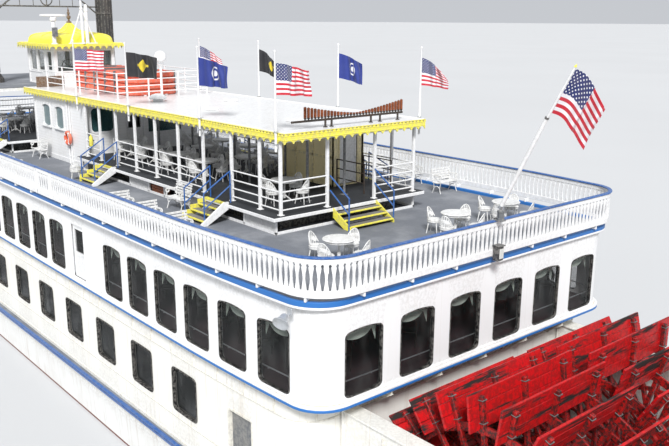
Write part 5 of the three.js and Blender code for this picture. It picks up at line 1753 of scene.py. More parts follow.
@dataclass
class Balustrade:
    """The promenade rail: flat-sawn boards between two bands, under a blue cap.

    Args:
        line: Outer edge of the cap.
        pitch: Spacing of the boards.
        inset: From the line to the middle of the boards.
        profile: Rows of height, 0 to 1, and the share of the pitch left open on each side.
        gate: Stations of the boarding gates.
        foot_pitch: Spacing of the feet that carry the rail out over the deck's edge.
    """

    line: DeckLine = RAIL_LINE
    pitch: float = 0.18
    inset: float = 0.075
    profile: tuple[tuple[float, float], ...] = (
        (0.0, 0.06), (0.05, 0.18), (0.12, 0.20), (0.3, 0.31), (0.45, 0.36), (0.62, 0.31),
        (0.78, 0.20), (0.86, 0.17), (0.91, 0.25), (0.96, 0.15), (1.0, 0.08),
    )
    gate: tuple[float, float] = (13.9, 15.1)
    foot_pitch: float = 1.6

    def sawn(self, thick: float = 0.036) -> Shape:
        """One board as a flat plate whose edges follow the profile, centred on x = 0."""
        share, gap = np.array(self.profile).T
        z = 8.24 + share * (8.89 - 8.24)
        x = self.pitch * (0.5 - gap)
        ring = np.array([(-1, -1), (1, -1), (1, 1), (-1, 1)])
        across, through = x[:, None] * ring[:, 0], np.full((len(z), 4), thick / 2) * ring[:, 1]
        return tube(np.stack([across, through, np.repeat(z[:, None], 4, axis=1)], axis=-1))

    def build(self) -> None:
        """Builds both lengths of rail and the gates between them."""
        total = self.line.length()
        aft, forward = self.line.side(self.gate[0]), self.line.side(self.gate[1])
        self.run("aft", -aft, aft)
        self.run("forward", forward, total - forward)
        for side, name in SIDES:
            self.leaf(side, name)

    def run(self, name: str, first: float, last: float) -> None:
        """Builds one length of rail between two lengths along the line."""
        piece = Piece(f"balustrade_{name}", slot="white_paint", replaces=(f"promenade_rail_{name}",))
        cap = self.line.path(9.003, first, last, 0.16, 0.075)
        piece.add(sweep(cap, box_section(0.125, 0.047, 0.014)), Finish.BLUE)
        for foot, depth, width in ((8.08, 0.17, 0.06), (8.875, 0.13, 0.06)):
            band = self.line.path(foot, first, last, 0.16, self.inset)
            piece.add(sweep(band, box_section(width, depth, 0.008)), Finish.WHITE)
        count = int((last - first) / self.pitch)
        s = first + (np.arange(count) + 0.5) * (last - first) / count
        boards = self.sawn().copies(lifted(self.line.at(s, self.inset), 0.0), self.line.axes(s))
        piece.add(boards, Finish.WHITE)
        posts = np.array([first + 0.05, last - 0.05])
        places = lifted(self.line.at(posts, self.inset), 8.53)
        piece.add(blocks(places, (0.05, 0.045, 0.45), self.line.axes(posts), 0.01), Finish.WHITE)
        feet = first + (np.arange(int((last - first) / self.foot_pitch)) + 0.5) * self.foot_pitch
        places = lifted(self.line.at(feet, self.inset + 0.1), 8.0225)
        piece.add(blocks(places, (0.03, 0.1, 0.0615), self.line.axes(feet), 0.01), Finish.WHITE)
        piece.make()

    def leaf(self, side: float, name: str) -> None:
        """Builds a boarding gate on its hinge barrel."""
        y = (self.line.half - self.inset) * side
        x0, x1 = self.gate[0] + 0.03, self.gate[1] - 0.03
        piece = Piece(f"{name}_gate_leaf", f"{name}_gate", "white_paint", (f"boarding_gate_{name}",))
        piece.add(board(x0, x1, y - 0.05, y + 0.05, 9.0, 9.05, 0.014), Finish.BLUE)
        bands = [(8.08, 8.25), (8.875, 9.005)]
        piece.add(joined([board(x0, x1, y - 0.03, y + 0.03, a, b) for a, b in bands]), Finish.WHITE)
        ends = [(x0, x0 + 0.06), (x1 - 0.06, x1)]
        piece.add(joined([board(a, b, y - 0.032, y + 0.032, 8.08, 9.0) for a, b in ends]), Finish.WHITE)
        x = np.linspace(x0 + 0.15, x1 - 0.15, 5)
        piece.add(self.sawn().copies(spread(x, y, 0)), Finish.WHITE)
        barrel = [(x1, y - side * 0.05, 8.28), (x1, y - side * 0.05, 8.7)]
        piece.add(rods(barrel, np.array(barrel) + (0, 0, 0.3), 0.027, 12), Finish.GALVANISED)
        latch = [(x0 + 0.03, y - side * 0.06, 8.7)]
        piece.add(blocks(latch, (0.03, 0.03, 0.05)), Finish.GALVANISED)
        piece.make()


# ---------------------------------------------------------------- flat walls and edgings


@dataclass(frozen=True)
class Straight:
    """A straight wall line between two places, with its outside on the left of its run."""

    start: tuple[float, float]
    stop: tuple[float, float]

    def length(self) -> float:
        """Length of the line."""
        return float(np.hypot(self.stop[0] - self.start[0], self.stop[1] - self.start[1]))

    def at(self, s, inset=0.0) -> Array:
        """Points at lengths s, drawn in from the outside by inset."""
        run = (np.array(self.stop) - self.start) / self.length()
        return np.array(self.start) + np.asarray(s, float)[..., None] * run - self.out() * inset

    def out(self) -> Array:
        """Unit vector to the outside."""
        run = (np.array(self.stop) - self.start) / self.length()
        return np.array([-run[1], run[0]])


@dataclass
class FlatWall(PiercedWall):
    """A straight wall from one end of its line to the other."""

    def strips(self) -> list[tuple[float, float]]:
        """Plain lengths of wall before, between and after the openings."""
        placed = sorted(self.openings, key=lambda pair: pair[0])
        ends = [(c - o.width / 2 - self.margin, c + o.width / 2 + self.margin) for c, o in placed]
        starts = [0.0] + [last for _, last in ends]
        stops = [first for first, _ in ends] + [self.line.length()]
        return list(zip(starts, stops))


def edging(start, stop, low: Array, high: float, thick: float) -> Shape:
    """An upright strip between two places whose lower edge follows a list of heights.

    Args:
        start, stop: Plan places (x, y) of its ends.
        low: Heights of its lower edge at even steps.
        high: Height of its upper edge.
        thick: Thickness, split evenly about the line.

    Returns:
        A four-cornered section carried along the line, its lower corners at the heights.
    """
    start, stop = np.array(start, float), np.array(stop, float)
    count = len(low)
    run = (stop - start) / np.linalg.norm(stop - start)
    side = np.array([-run[1], run[0]]) * thick / 2
    line = start + np.linspace(0, 1, count)[:, None] * (stop - start)
    top = np.full(count, high)
    rows = [(line - side, low), (line + side, low), (line + side, top), (line - side, top)]
    return tube(np.stack([lifted(place, z[:, None]) for place, z in rows], axis=1))


def scallops(length: float, pitch: float, root: float, deep: float, drop: float) -> Array:
    """Heights of a scalloped edge: half circles that rise between the drops at each joint.

    Args:
        length: Length of the edge.
        pitch: Wanted width of a scallop.
        root: Height that the drops hang from.
        deep: Rise of a half circle.
        drop: Depth of the drop at each joint.

    Returns:
        Heights at sixteen steps for each scallop.
    """
    count = max(1, round(length / pitch))
    u = np.linspace(0, count, count * 16 + 1) % 1.0
    return root - drop + deep * np.sqrt(np.clip(1 - ((u - 0.5) / 0.44) ** 2, 0, 1))


def wall_box(x0: float, x1: float, half: float, low: float, high: float, thick: float,
             cuts: dict[str, list[tuple[float, Opening]]]) -> dict[str, FlatWall]:
    """Four flat walls of a house: stern, port, bow and starboard.

    Args:
        x0, x1: Stations of the ends.
        half: Half breadth.
        low, high: Heights of foot and head.
        thick: Thickness.
        cuts: Openings of each wall, placed by station on the sides and by y on the ends.

    Returns:
        The walls by name.
    """
    lines = {
        "stern": (Straight((x0, -half), (x0, half)), lambda v: v + half),
        "port": (Straight((x0, half), (x1, half)), lambda v: v - x0),
        "bow": (Straight((x1, half), (x1, -half)), lambda v: half - v),
        "starboard": (Straight((x1, -half), (x0, -half)), lambda v: x1 - v),
    }
    return {
        name: FlatWall(line, low, high, thick, [(along(v), o) for v, o in cuts.get(name, [])], 0.05)
        for name, (line, along) in lines.items()
    }


# ---------------------------------------------------------------- raised decks and shelter


class Bay(Enum):
    """What fills a length of a platform's base."""

    OPEN = "dark opening"
    LOUVRES = "louvred panel"
    JACKETS = "locker of jackets"


@dataclass
class RaisedDeck:
    """A platform on a recessed base, with a flight of steps on each side.

    Args:
        name: Which of the two platforms.
        aft, forward, half: Its plan.
        flights: Stations of the side flights.
        bays: End station and filling of each length of the base, from aft.
        going, rise, width: Size of a step.
    """

    name: str
    aft: float
    forward: float
    half: float
    flights: tuple[float, ...]
    bays: tuple[tuple[float, Bay], ...]
    going: float = 0.28
    rise: float = 0.15
    width: float = 1.3

    def build(self) -> None:
        """Lays the deck over its base and sets the flights."""
        piece = Piece(f"platform_{self.name}", slot="black_deck_paint", replaces=(f"raised_deck_{self.name}",))
        piece.add(board(self.aft, self.forward, -self.half, self.half, 8.34, 8.452, 0.012), Finish.WHITE)
        piece.add(board(self.aft + 0.02, self.forward - 0.02, -self.half + 0.02, self.half - 0.02, 8.43, RAISED),
                  Finish.BLACK_DECK)
        self.base(piece)
        piece.make()
        steps = Piece(f"steps_{self.name}", slot="yellow_paint")
        for station in self.flights:
            for side in BOTH:
                self.flight(steps, station, side)
        if self.name == "aft":
            self.stern_flight(steps)
            self.jackets()
        steps.make()

    def spans(self, kind: Bay) -> list[tuple[float, float]]:
        """Start and end of every length of the base with that filling."""
        starts = [self.aft + 0.29] + [end for end, _ in self.bays[:-1]]
        return [(start, end) for start, (end, filling) in zip(starts, self.bays) if filling is kind]

    def base(self, piece: Piece) -> None:
        """The base: a black block behind the posts as painted shade in the hollow, with a baseboard and louvred panels.
        """
        x0, x1, y = self.aft + 0.25, self.forward, self.half - 0.25
        # Painted shade: a black block fills the hollow under the deck, behind the open bays.
        piece.add(board(x0 + 0.5, x1 - 0.02, -y + 0.5, y - 0.5, 7.861, 8.34), Finish.BLACK)
        edges = [(x0, x1, y - 0.04, y), (x0, x1, -y, -y + 0.04), (x0, x0 + 0.04, -y, y)]
        boards = [board(*edge, low, high) for edge in edges for low, high in ((7.861, 7.95), (8.29, 8.35))]
        piece.add(joined(boards), Finish.WHITE)
        x = np.array([x0 + 0.04] + [min(end, x1 - 0.04) for end, _ in self.bays])
        for side in BOTH:
            piece.add(blocks(spread(x, side * (y - 0.03), 8.12), (0.04, 0.03, 0.24)), Finish.WHITE)
            tilt = np.array(Matrix.Rotation(np.radians(-40 * side), 3, "X"))
            for a, b in self.spans(Bay.LOUVRES):
                slats = spread((a + b) / 2, side * (y - 0.03), np.linspace(7.97, 8.28, 10))
                piece.add(blocks(slats, ((b - a) / 2 - 0.03, 0.022, 0.005), tilt), Finish.WHITE)

    def jackets(self) -> None:
        """Folded jackets packed side by side in three rows, each a crowned foam pad."""
        u, v = np.meshgrid(np.linspace(-np.pi / 2, np.pi / 2, 7), np.arange(12) * np.pi / 6, indexing="ij")
        waves = np.stack([np.cos(u), np.sin(u), np.cos(v), np.sin(v)])
        a, b, c, d = np.sign(waves) * np.abs(waves) ** 0.55
        ball = np.stack([a * c, a * d, b], -1)
        pad = Shape(ball.reshape(-1, 3) * (0.07, 0.13, 0.048), [grid_faces(7, 12, False, True)]).outward()
        places = []
        for start, end in self.spans(Bay.JACKETS):
            x, row = np.meshgrid(np.arange(start + 0.12, end - 0.08, 0.15), np.arange(3), indexing="ij")
            flat = spread(x.ravel() + 0.02 * row.ravel(), 0, 7.912 + 0.1 * row.ravel())
            places += [flat + (0, side * (self.half - 0.45), 0) for side in BOTH]
        piece = Piece("stowed_jackets", slot="orange_float", crease=80)
        piece.add(pad.copies(np.concatenate(places)), Finish.JACKETS).make()

    def flight(self, piece: Piece, station: float, side: float) -> None:
        """A flight from the platform's side: treads with yellow noses between two strings, with handrails."""
        half = self.width / 2
        i = np.arange(3)
        top = RAISED - (i + 1) * self.rise
        y0, y1 = self.half + i * self.going - 0.03, self.half + (i + 1) * self.going
        treads = spread(station, side * (y0 + y1) / 2, top - 0.015)
        piece.add(blocks(treads, (half - 0.03, self.going / 2 + 0.012, 0.015)), Finish.TREAD)
        noses = spread(station, side * (y1 - 0.02), top - 0.02)
        piece.add(blocks(noses, (half - 0.02, 0.03, 0.024)), Finish.YELLOW)
        piece.add(board(station - half, station + half,
                        *sorted((side * (self.half - 0.09), side * (self.half + 0.014))), 8.4, 8.47), Finish.YELLOW)
        foot = self.half + 3 * self.going + 0.04
        step_y = np.repeat([self.half - 0.02, *(self.half + (i + 1) * self.going)], 2)[1:-1]
        step_z = np.repeat(RAISED - np.arange(3) * self.rise - 0.02, 2)
        outline = [(self.half - 0.02, 8.2), (foot - 0.3, 7.861), (foot, 7.861), (foot, 8.0)]
        outline += list(zip(step_y[::-1], step_z[::-1]))
        yellow = [(side * u, v) for u, v in outline]
        piece.add(prism(yellow, station + half - 0.03, station + half, "yz"), Finish.YELLOW)
        white = [(self.half - 0.06, 8.52), (self.half - 0.06, 8.3), (foot - 0.13, 7.861), (foot + 0.07, 7.861),
                 (foot + 0.07, 7.93), (self.half + 0.1, 8.52)]
        piece.add(prism([(side * u, v) for u, v in white], station - half - 0.06, station - half + 0.03, "yz"),
                  Finish.WHITE)
        for x in (station - half + 0.06, station + half - 0.05):
            low, high = np.array([x, side * (foot - 0.1), 0]), np.array([x, side * (self.half - 0.2), 0])
            bars = rods([low + (0, 0, 7.87), high + (0, 0, 8.46), low + (0, 0, 8.88), low + (0, 0, 8.38)],
                        [low + (0, 0, 8.9), high + (0, 0, 9.5), high + (0, 0, 9.48), high + (0, 0, 9.02)], 0.024, 8)
            piece.add(bars, Finish.BLUE)

    def stern_flight(self, piece: Piece) -> None:
        """The wide flight down to the stern end of the promenade."""
        i = np.arange(3)
        top = RAISED - (i + 1) * self.rise
        x0, x1 = self.aft - i * self.going + 0.03, self.aft - (i + 1) * self.going
        treads = spread((x0 + x1) / 2, 0, top - 0.015)
        piece.add(blocks(treads, (self.going / 2 + 0.012, 0.89, 0.015)), Finish.TREAD)
        piece.add(blocks(spread(x1 + 0.02, 0, top - 0.02), (0.03, 0.9, 0.024)), Finish.YELLOW)
        foot = self.aft - 3 * self.going
        outline = [(self.aft, 8.455), (self.aft, 8.15), (foot + 0.3, 7.861), (foot, 7.861), (foot, 7.95)]
        for y in (-0.93, 0.9):
            piece.add(prism(outline, y, y + 0.03, "xz"), Finish.YELLOW)
        for y in (-0.95, 0.95):
            low, high = np.array([foot + 0.06, y, 0]), np.array([self.aft + 0.12, y, 0])
            piece.add(rods([low + (0, 0, 7.861), low + (0, 0, 8.88), low + (0, 0, 8.38)],
                           [low + (0, 0, 8.9), high + (0, 0, 9.46), high + (0, 0, 9.0)], 0.024, 8), Finish.BLUE)


@dataclass
class Posts:
    """White posts with round rails between them, and the beam at their heads.

    Args:
        stations: Stations of the posts.
        side: Their distance from the centreline.
        runs: Lengths of rail along the boat.
    """

    stations: tuple[float, ...] = (5.65, 6.7, 8.25, 9.95, 11.6, 13.25, 14.85, 16.45, 17.95, 19.3)
    side: float = 2.8
    runs: tuple[tuple[float, float], ...] = ((5.65, 8.25), (9.95, 16.45), (17.95, 19.3))
    heights: tuple[float, ...] = (0.15, 0.42, 0.7, 1.0)

    @staticmethod
    def shafts(places: Array, low: float, high: float) -> Shape:
        """Square posts with a foot flange and a small cap plate."""
        return joined([blocks(lifted(places, (low + high) / 2), (0.047, 0.047, (high - low) / 2), edge=0.01),
                       blocks(lifted(places, low + 0.012), (0.085, 0.085, 0.012)),
                       blocks(lifted(places, high - 0.012), (0.075, 0.075, 0.012))])

    def build(self) -> None:
        """Builds the roof posts on each side, joined across the stern."""
        low, high = RAISED + GAP, ROOF_UNDER - GAP
        z = RAISED + np.array(self.heights)
        aft = self.stations[0]
        for side, name in SIDES:
            y = side * self.side
            piece = Piece(f"shelter_posts_{name}", slot="white_paint", replaces=(f"roof_posts_{name}",))
            places = [(x, y) for x in self.stations] + [(aft, side * 1.0)]
            piece.add(self.shafts(places, low, high), Finish.WHITE)
            runs = [((x0, y), (x1, y)) for x0, x1 in self.runs] + [((aft, side * 1.0), (aft, y))]
            piece.add(pipe_rails(runs, z), Finish.WHITE)
            piece.add(board(aft, self.stations[-1], y - 0.05, y + 0.05, high - 0.12, high, 0.01), Finish.WHITE)
            y0, y1 = sorted((GAP * side, y))
            piece.add(board(aft - 0.05, aft + 0.05, y0, y1, high - 0.12, high, 0.01), Finish.WHITE)
            piece.make()
        self.inner()

    def inner(self) -> None:
        """Dark steel stanchions under the middle of the roof, and a rail on each side of the stair's door."""
        piece = Piece("inner_stanchions", slot="black_paint")
        low = RAISED + 0.001
        places = lifted([(x, y) for x in (6.7, 9.95, 13.25, 16.45) for y in (0.95, -0.62)], low)
        piece.add(rods(places, places + (0, 0, ROOF_UNDER - RAISED - 0.002), 0.045, 10), Finish.GREY_STEEL)
        piece.add(blocks(places + (0, 0, 0.012), (0.1, 0.1, 0.012)), Finish.GREY_STEEL)
        stair = [((6.35, y), (7.75, y)) for y in (-1.2, -2.45)]
        foot = lifted(np.reshape(stair, (-1, 2)), low)
        piece.add(rods(foot, foot + (0, 0, 1.0), 0.026), Finish.IRON)
        piece.add(pipe_rails(stair, low + np.array([0.35, 0.68, 1.0]), 0.02), Finish.IRON)
        piece.make()


@dataclass
class Roof:
    """The shelter's roof: plated top, beams beneath, a vent, and a scalloped yellow edge.

    Args:
        aft, forward, half: Its plan.
        thick: Thickness of the edging.
        pitch: Width of a scallop.
    """

    aft: float = 5.25
    forward: float = 25.9
    half: float = 2.95
    thick: float = 0.05
    pitch: float = 0.33

    def build(self) -> None:
        """Builds the roof, its vent and its edging."""
        x0, x1, y = self.aft + self.thick, 25.95 - GAP, self.half - self.thick
        piece = Piece("roof_plate", slot="white_paint", replaces=("roof",))
        piece.add(board(x0, x1, -y, y, ROOF_UNDER + 0.05, ROOF_TOP, 0.01), Finish.WHITE_PLATING)
        x = np.arange(x0 + 0.5, x1 - 0.3, BEAM_PITCH)
        piece.add(blocks(spread(x, 0, ROOF_UNDER + 0.03), (0.03, y - 0.01, 0.03)), Finish.WHITE)
        piece.add(joined([board(x0, x1, a - 0.04, a + 0.04, ROOF_UNDER, ROOF_UNDER + 0.06) for a in (-1.4, 0, 1.4)]),
                  Finish.WHITE)
        rim = [board(x0, x1, s * y - 0.02 - 0.02 * s, s * y + 0.02 - 0.02 * s, ROOF_TOP - 0.01, ROOF_TOP + 0.03)
               for s in BOTH]
        piece.add(joined(rim), Finish.WHITE)
        hood = [(0, 0), (0.2, 0), (0.2, 0.08), (0.33, 0.09), (0.35, 0.12), (0.33, 0.18), (0.24, 0.26), (0.1, 0.3),
                (0, 0.31)]
        piece.add(lathe(hood, (16.0, 1.15, ROOF_TOP), 24), Finish.WHITE)
        pans = np.array([(7.4, 0.9), (12.0, 1.2), (14.2, -1.1)])
        places = np.concatenate([pans, np.full((3, 1), ROOF_TOP + 0.05)], axis=1)
        piece.add(blocks(places, (0.22, 0.22, 0.05), edge=0.02), Finish.WHITE)
        piece.make()
        self.edge()

    def edge(self) -> None:
        """The edging: a band with scallops below and small pickets above."""
        piece = Piece("roof_edging", slot="yellow_paint", replaces=("roof_fascia",))
        a, b, y = self.aft + 0.025, self.forward, self.half - 0.025
        runs = [((b, y), (a, y)), ((a, y), (a, -y)), ((a, -y), (b, -y))]
        for start, stop in runs:
            length = float(np.hypot(stop[0] - start[0], stop[1] - start[1]))
            heights = scallops(length, self.pitch, 10.735, 0.095, 0.1)
            piece.add(edging(start, stop, heights, 10.88, 0.03), Finish.YELLOW)
            run = (np.array(stop) - start) / length
            s = np.arange(0.06, length, self.pitch / 2)
            line = np.array(start) + s[:, None] * run
            places = np.concatenate([line, np.full((len(s), 1), 10.905)], axis=1)
            half = (0.04, 0.018, 0.035) if abs(run[0]) > 0.5 else (0.018, 0.04, 0.035)
            piece.add(blocks(places, half, edge=0.008), Finish.YELLOW)
            for z, half_z in ((10.878, 0.014), (10.755, 0.014), (10.945, 0.009)):
                low = np.minimum(start, stop) - 0.025 * np.abs(run[::-1])
                high = np.maximum(start, stop) + 0.025 * np.abs(run[::-1])
                piece.add(board(low[0], high[0], low[1], high[1], z - half_z, z + half_z), Finish.YELLOW)
        piece.make()


# ---------------------------------------------------------------- houses


@dataclass
class Deckhouse:
    """The house amidships: lapped siding, arched side windows and a door to the shelter.

    Args:
        aft, forward, half: Its plan.
    """

    aft: float = 19.6
    forward: float = 25.3
    half: float = 2.7

    def build(self) -> None:
        """Raises the walls and hangs the door."""
        low, high = PROMENADE + GAP, ROOF_UNDER - GAP
        arched = Opening(0.9, 9.38, 10.24, 0.08, 0.06)
        sides = [(22.35, arched), (23.85, arched)]
        doorway = Opening(0.85, RAISED + 0.05, 10.45, 0.0, 0.02)
        ends = [(-1.05, Opening(1.7, 9.2, 10.5, 0.0, 0.05)), (1.925, Opening(1.05, 9.4, 10.45, 0.0, 0.2))]
        cuts = {"port": sides, "starboard": sides, "stern": ends + [(0.425, doorway)]}
        walls = wall_box(self.aft, self.forward, self.half, low, high, 0.12, cuts)
        glazed = wall_box(self.aft, self.forward, self.half, low, high, 0.12, {**cuts, "stern": ends})
        shell = Piece("deckhouse_shell", slot="white_paint", replaces=("deckhouse_walls",))
        shell.add(joined([wall.wall() for wall in walls.values()]), Finish.SIDING)
        frames = [wall.collars(0.06, 0.02, 0.025, 0.09) for wall in glazed.values() if wall.openings]
        shell.add(joined(frames), Finish.WHITE)
        corners = [(x, y, 9.3) for x in (self.aft + 0.06, self.forward - 0.06)
                   for y in (self.half - 0.06, 0.06 - self.half)]
        shell.add(blocks(corners, (0.085, 0.085, 1.44), edge=0.01), Finish.WHITE)
        sills = [(x, s * (self.half + 0.04), 9.3) for x in (22.35, 23.85) for s in BOTH]
        shell.add(blocks(sills, (0.56, 0.06, 0.03), edge=0.008), Finish.WHITE)
        shell.add(joined([board(self.aft, self.forward, s * self.half - 0.02, s * self.half + 0.02, 7.861, 8.06)
                          for s in BOTH]), Finish.WHITE)
        shell.make()
        panes = Piece("deckhouse_panes", slot="dark_glass", replaces=("deckhouse_glazing",))
        panes.add(glazed["stern"].panes(0.05, 0.02), Finish.TEAL_GLASS)
        # The side panes carry the pale tint of a painted sky reflection.
        panes.add(joined([glazed[name].panes(0.05, 0.02) for name in ("port", "starboard")]), Finish.PALE_GLASS)
        panes.make()
        self.door(doorway)
        self.fittings()

    def door(self, doorway: Opening) -> None:
        """The panelled leaf on its barrel."""
        x0, x1, y0, y1 = self.aft + 0.02, self.aft + 0.1, 0.012, 0.838
        z0, z1 = doorway.foot + 0.02, doorway.head - 0.02
        leaf = Piece("deckhouse_leaf", "deckhouse_door_leaf", "white_paint", ("deckhouse_door",))
        frame = leaf_frame((y0, y1), (x0, x1), (z0, z1), 0.12, 0.22, 0.14, (9.35, 9.47), athwart=True)
        leaf.add(frame, Finish.WHITE)
        leaf.add(board(x0 + 0.02, x1 - 0.02, y0 + 0.11, y1 - 0.11, z0 + 0.2, 9.36), Finish.WHITE)
        leaf.add(board(x0 + 0.03, x1 - 0.03, y0 + 0.11, y1 - 0.11, 9.46, z1 - 0.13), Finish.GLASS)
        leaf.add(rods([(x0, y0, RAISED + 0.2)], [(x0, y0, 10.2)], 0.0105, 10), Finish.GALVANISED)
        leaf.add(blocks([(x0 - 0.02, y1 - 0.07, 9.5)], (0.02, 0.03, 0.03), edge=0.012), Finish.GALVANISED)
        leaf.make()

    def fittings(self) -> None:
        """Downpipe, lifebuoy and lights on the port wall."""
        piece = Piece("deckhouse_fittings", slot="white_paint")
        y = self.half + 0.045
        piece.add(rods([(a, y, 7.861) for a in (21.1, 21.38)], [(a, y, 10.7) for a in (21.1, 21.38)], 0.03, 10),
                  Finish.WHITE)
        brackets = [(a, y - 0.02, z) for a in (21.1, 21.38) for z in (8.2, 9.6, 10.4)]
        piece.add(blocks(brackets, (0.05, 0.025, 0.02)), Finish.WHITE)
        ring = circle((21.2, self.half + 0.15, 9.03), 0.25, angles(32), "xz")
        piece.add(sweep(ring, circle_section(0.075, 12), closed=True, up=(0, 1, 0)), Finish.LIFEBUOY)
        straps = [ring[i] for i in (4, 12, 20, 28)]
        piece.add(blocks(straps, (0.035, 0.082, 0.082), edge=0.02), Finish.WHITE)
        piece.add(blocks([(21.24, self.half + 0.06, 9.33)], (0.05, 0.06, 0.03)), Finish.GALVANISED)
        piece.make()
        can = Piece("extinguisher", slot="yellow_paint")
        can.add(lathe([(0, 0), (0.07, 0.01), (0.08, 0.03), (0.08, 0.36), (0.06, 0.42), (0.02, 0.45), (0.02, 0.5),
                       (0, 0.5)], (18.62, 2.92, 8.98), 16), Finish.YELLOW)
        can.add(joined([rods([(18.62, 2.92, 9.46)], [(18.72, 2.92, 9.4)], 0.012),
                        board(18.57, 18.67, 2.8, 2.86, 9.2, 9.24)]), Finish.IRON)
        can.make()


@dataclass
class Companion:
    """The small house over the stair, with its door on the stern side.

    Args:
        aft, forward, inner, outer: Its plan.
    """

    aft: float = 7.9
    forward: float = 11.0
    inner: float = -1.1
    outer: float = -2.55

    def build(self) -> None:
        """Raises panelled walls round the stair and hangs the door."""
        low, high = RAISED + GAP, ROOF_UNDER - GAP
        middle = (self.inner + self.outer) / 2
        half = (self.inner - self.outer) / 2
        doorway = Opening(0.8, low + 0.05, low + 1.95, 0.0, 0.02)
        walls = wall_box(self.aft, self.forward, half, low, high, 0.08, {"stern": [(-1.85 - middle, doorway)]})
        piece = Piece("companion_shell", slot="cream_paint", replaces=("companion_house",))
        # The walls, frame, battens and skirts are in the cream brightened as painted sunlight.
        piece.add(joined([wall.wall() for wall in walls.values()]).moved(y=middle), Finish.SUNLIT_CREAM)
        piece.add(walls["stern"].collars(0.05, 0.0, 0.015, 0.085).moved(y=middle), Finish.SUNLIT_CREAM)
        x = np.linspace(self.aft + 0.05, self.forward - 0.05, 4)
        battens = [(a, b, 9.6) for a in x for b in (self.inner + 0.01, self.outer - 0.01)]
        piece.add(blocks(battens, (0.05, 0.02, 1.13)), Finish.SUNLIT_CREAM)
        skirt = [board(self.aft, self.forward, y - 0.02, y + 0.02, z, z + 0.09)
                 for y in (self.inner + 0.01, self.outer - 0.01) for z in (8.47, 9.45, 10.62)]
        piece.add(joined(skirt), Finish.SUNLIT_CREAM)
        piece.make()
        x0, x1, y0, y1 = self.aft + 0.01, self.aft + 0.06, -2.238, -1.462
        z0, z1 = low + 0.07, low + 1.93
        leaf = Piece("companion_leaf", "companion_door_leaf", "white_paint", ("companion_door",))
        frame = leaf_frame((y0, y1), (x0, x1), (z0, z1), 0.1, 0.18, 0.12, (9.3, 9.4), athwart=True)
        leaf.add(frame, Finish.WHITE)
        panels = [(z0 + 0.17, 9.31), (9.39, z1 - 0.11)]
        leaf.add(joined([board(x0 + 0.012, x1 - 0.012, y0 + 0.09, y1 - 0.09, a, b) for a, b in panels]), Finish.WHITE)
        leaf.add(rods([(x0, y1, low + 0.2)], [(x0, y1, low + 1.8)], 0.0105, 10), Finish.GALVANISED)
        leaf.add(blocks([(x0 - 0.02, y0 + 0.06, 9.42)], (0.02, 0.025, 0.025), edge=0.012), Finish.GALVANISED)
        leaf.make()


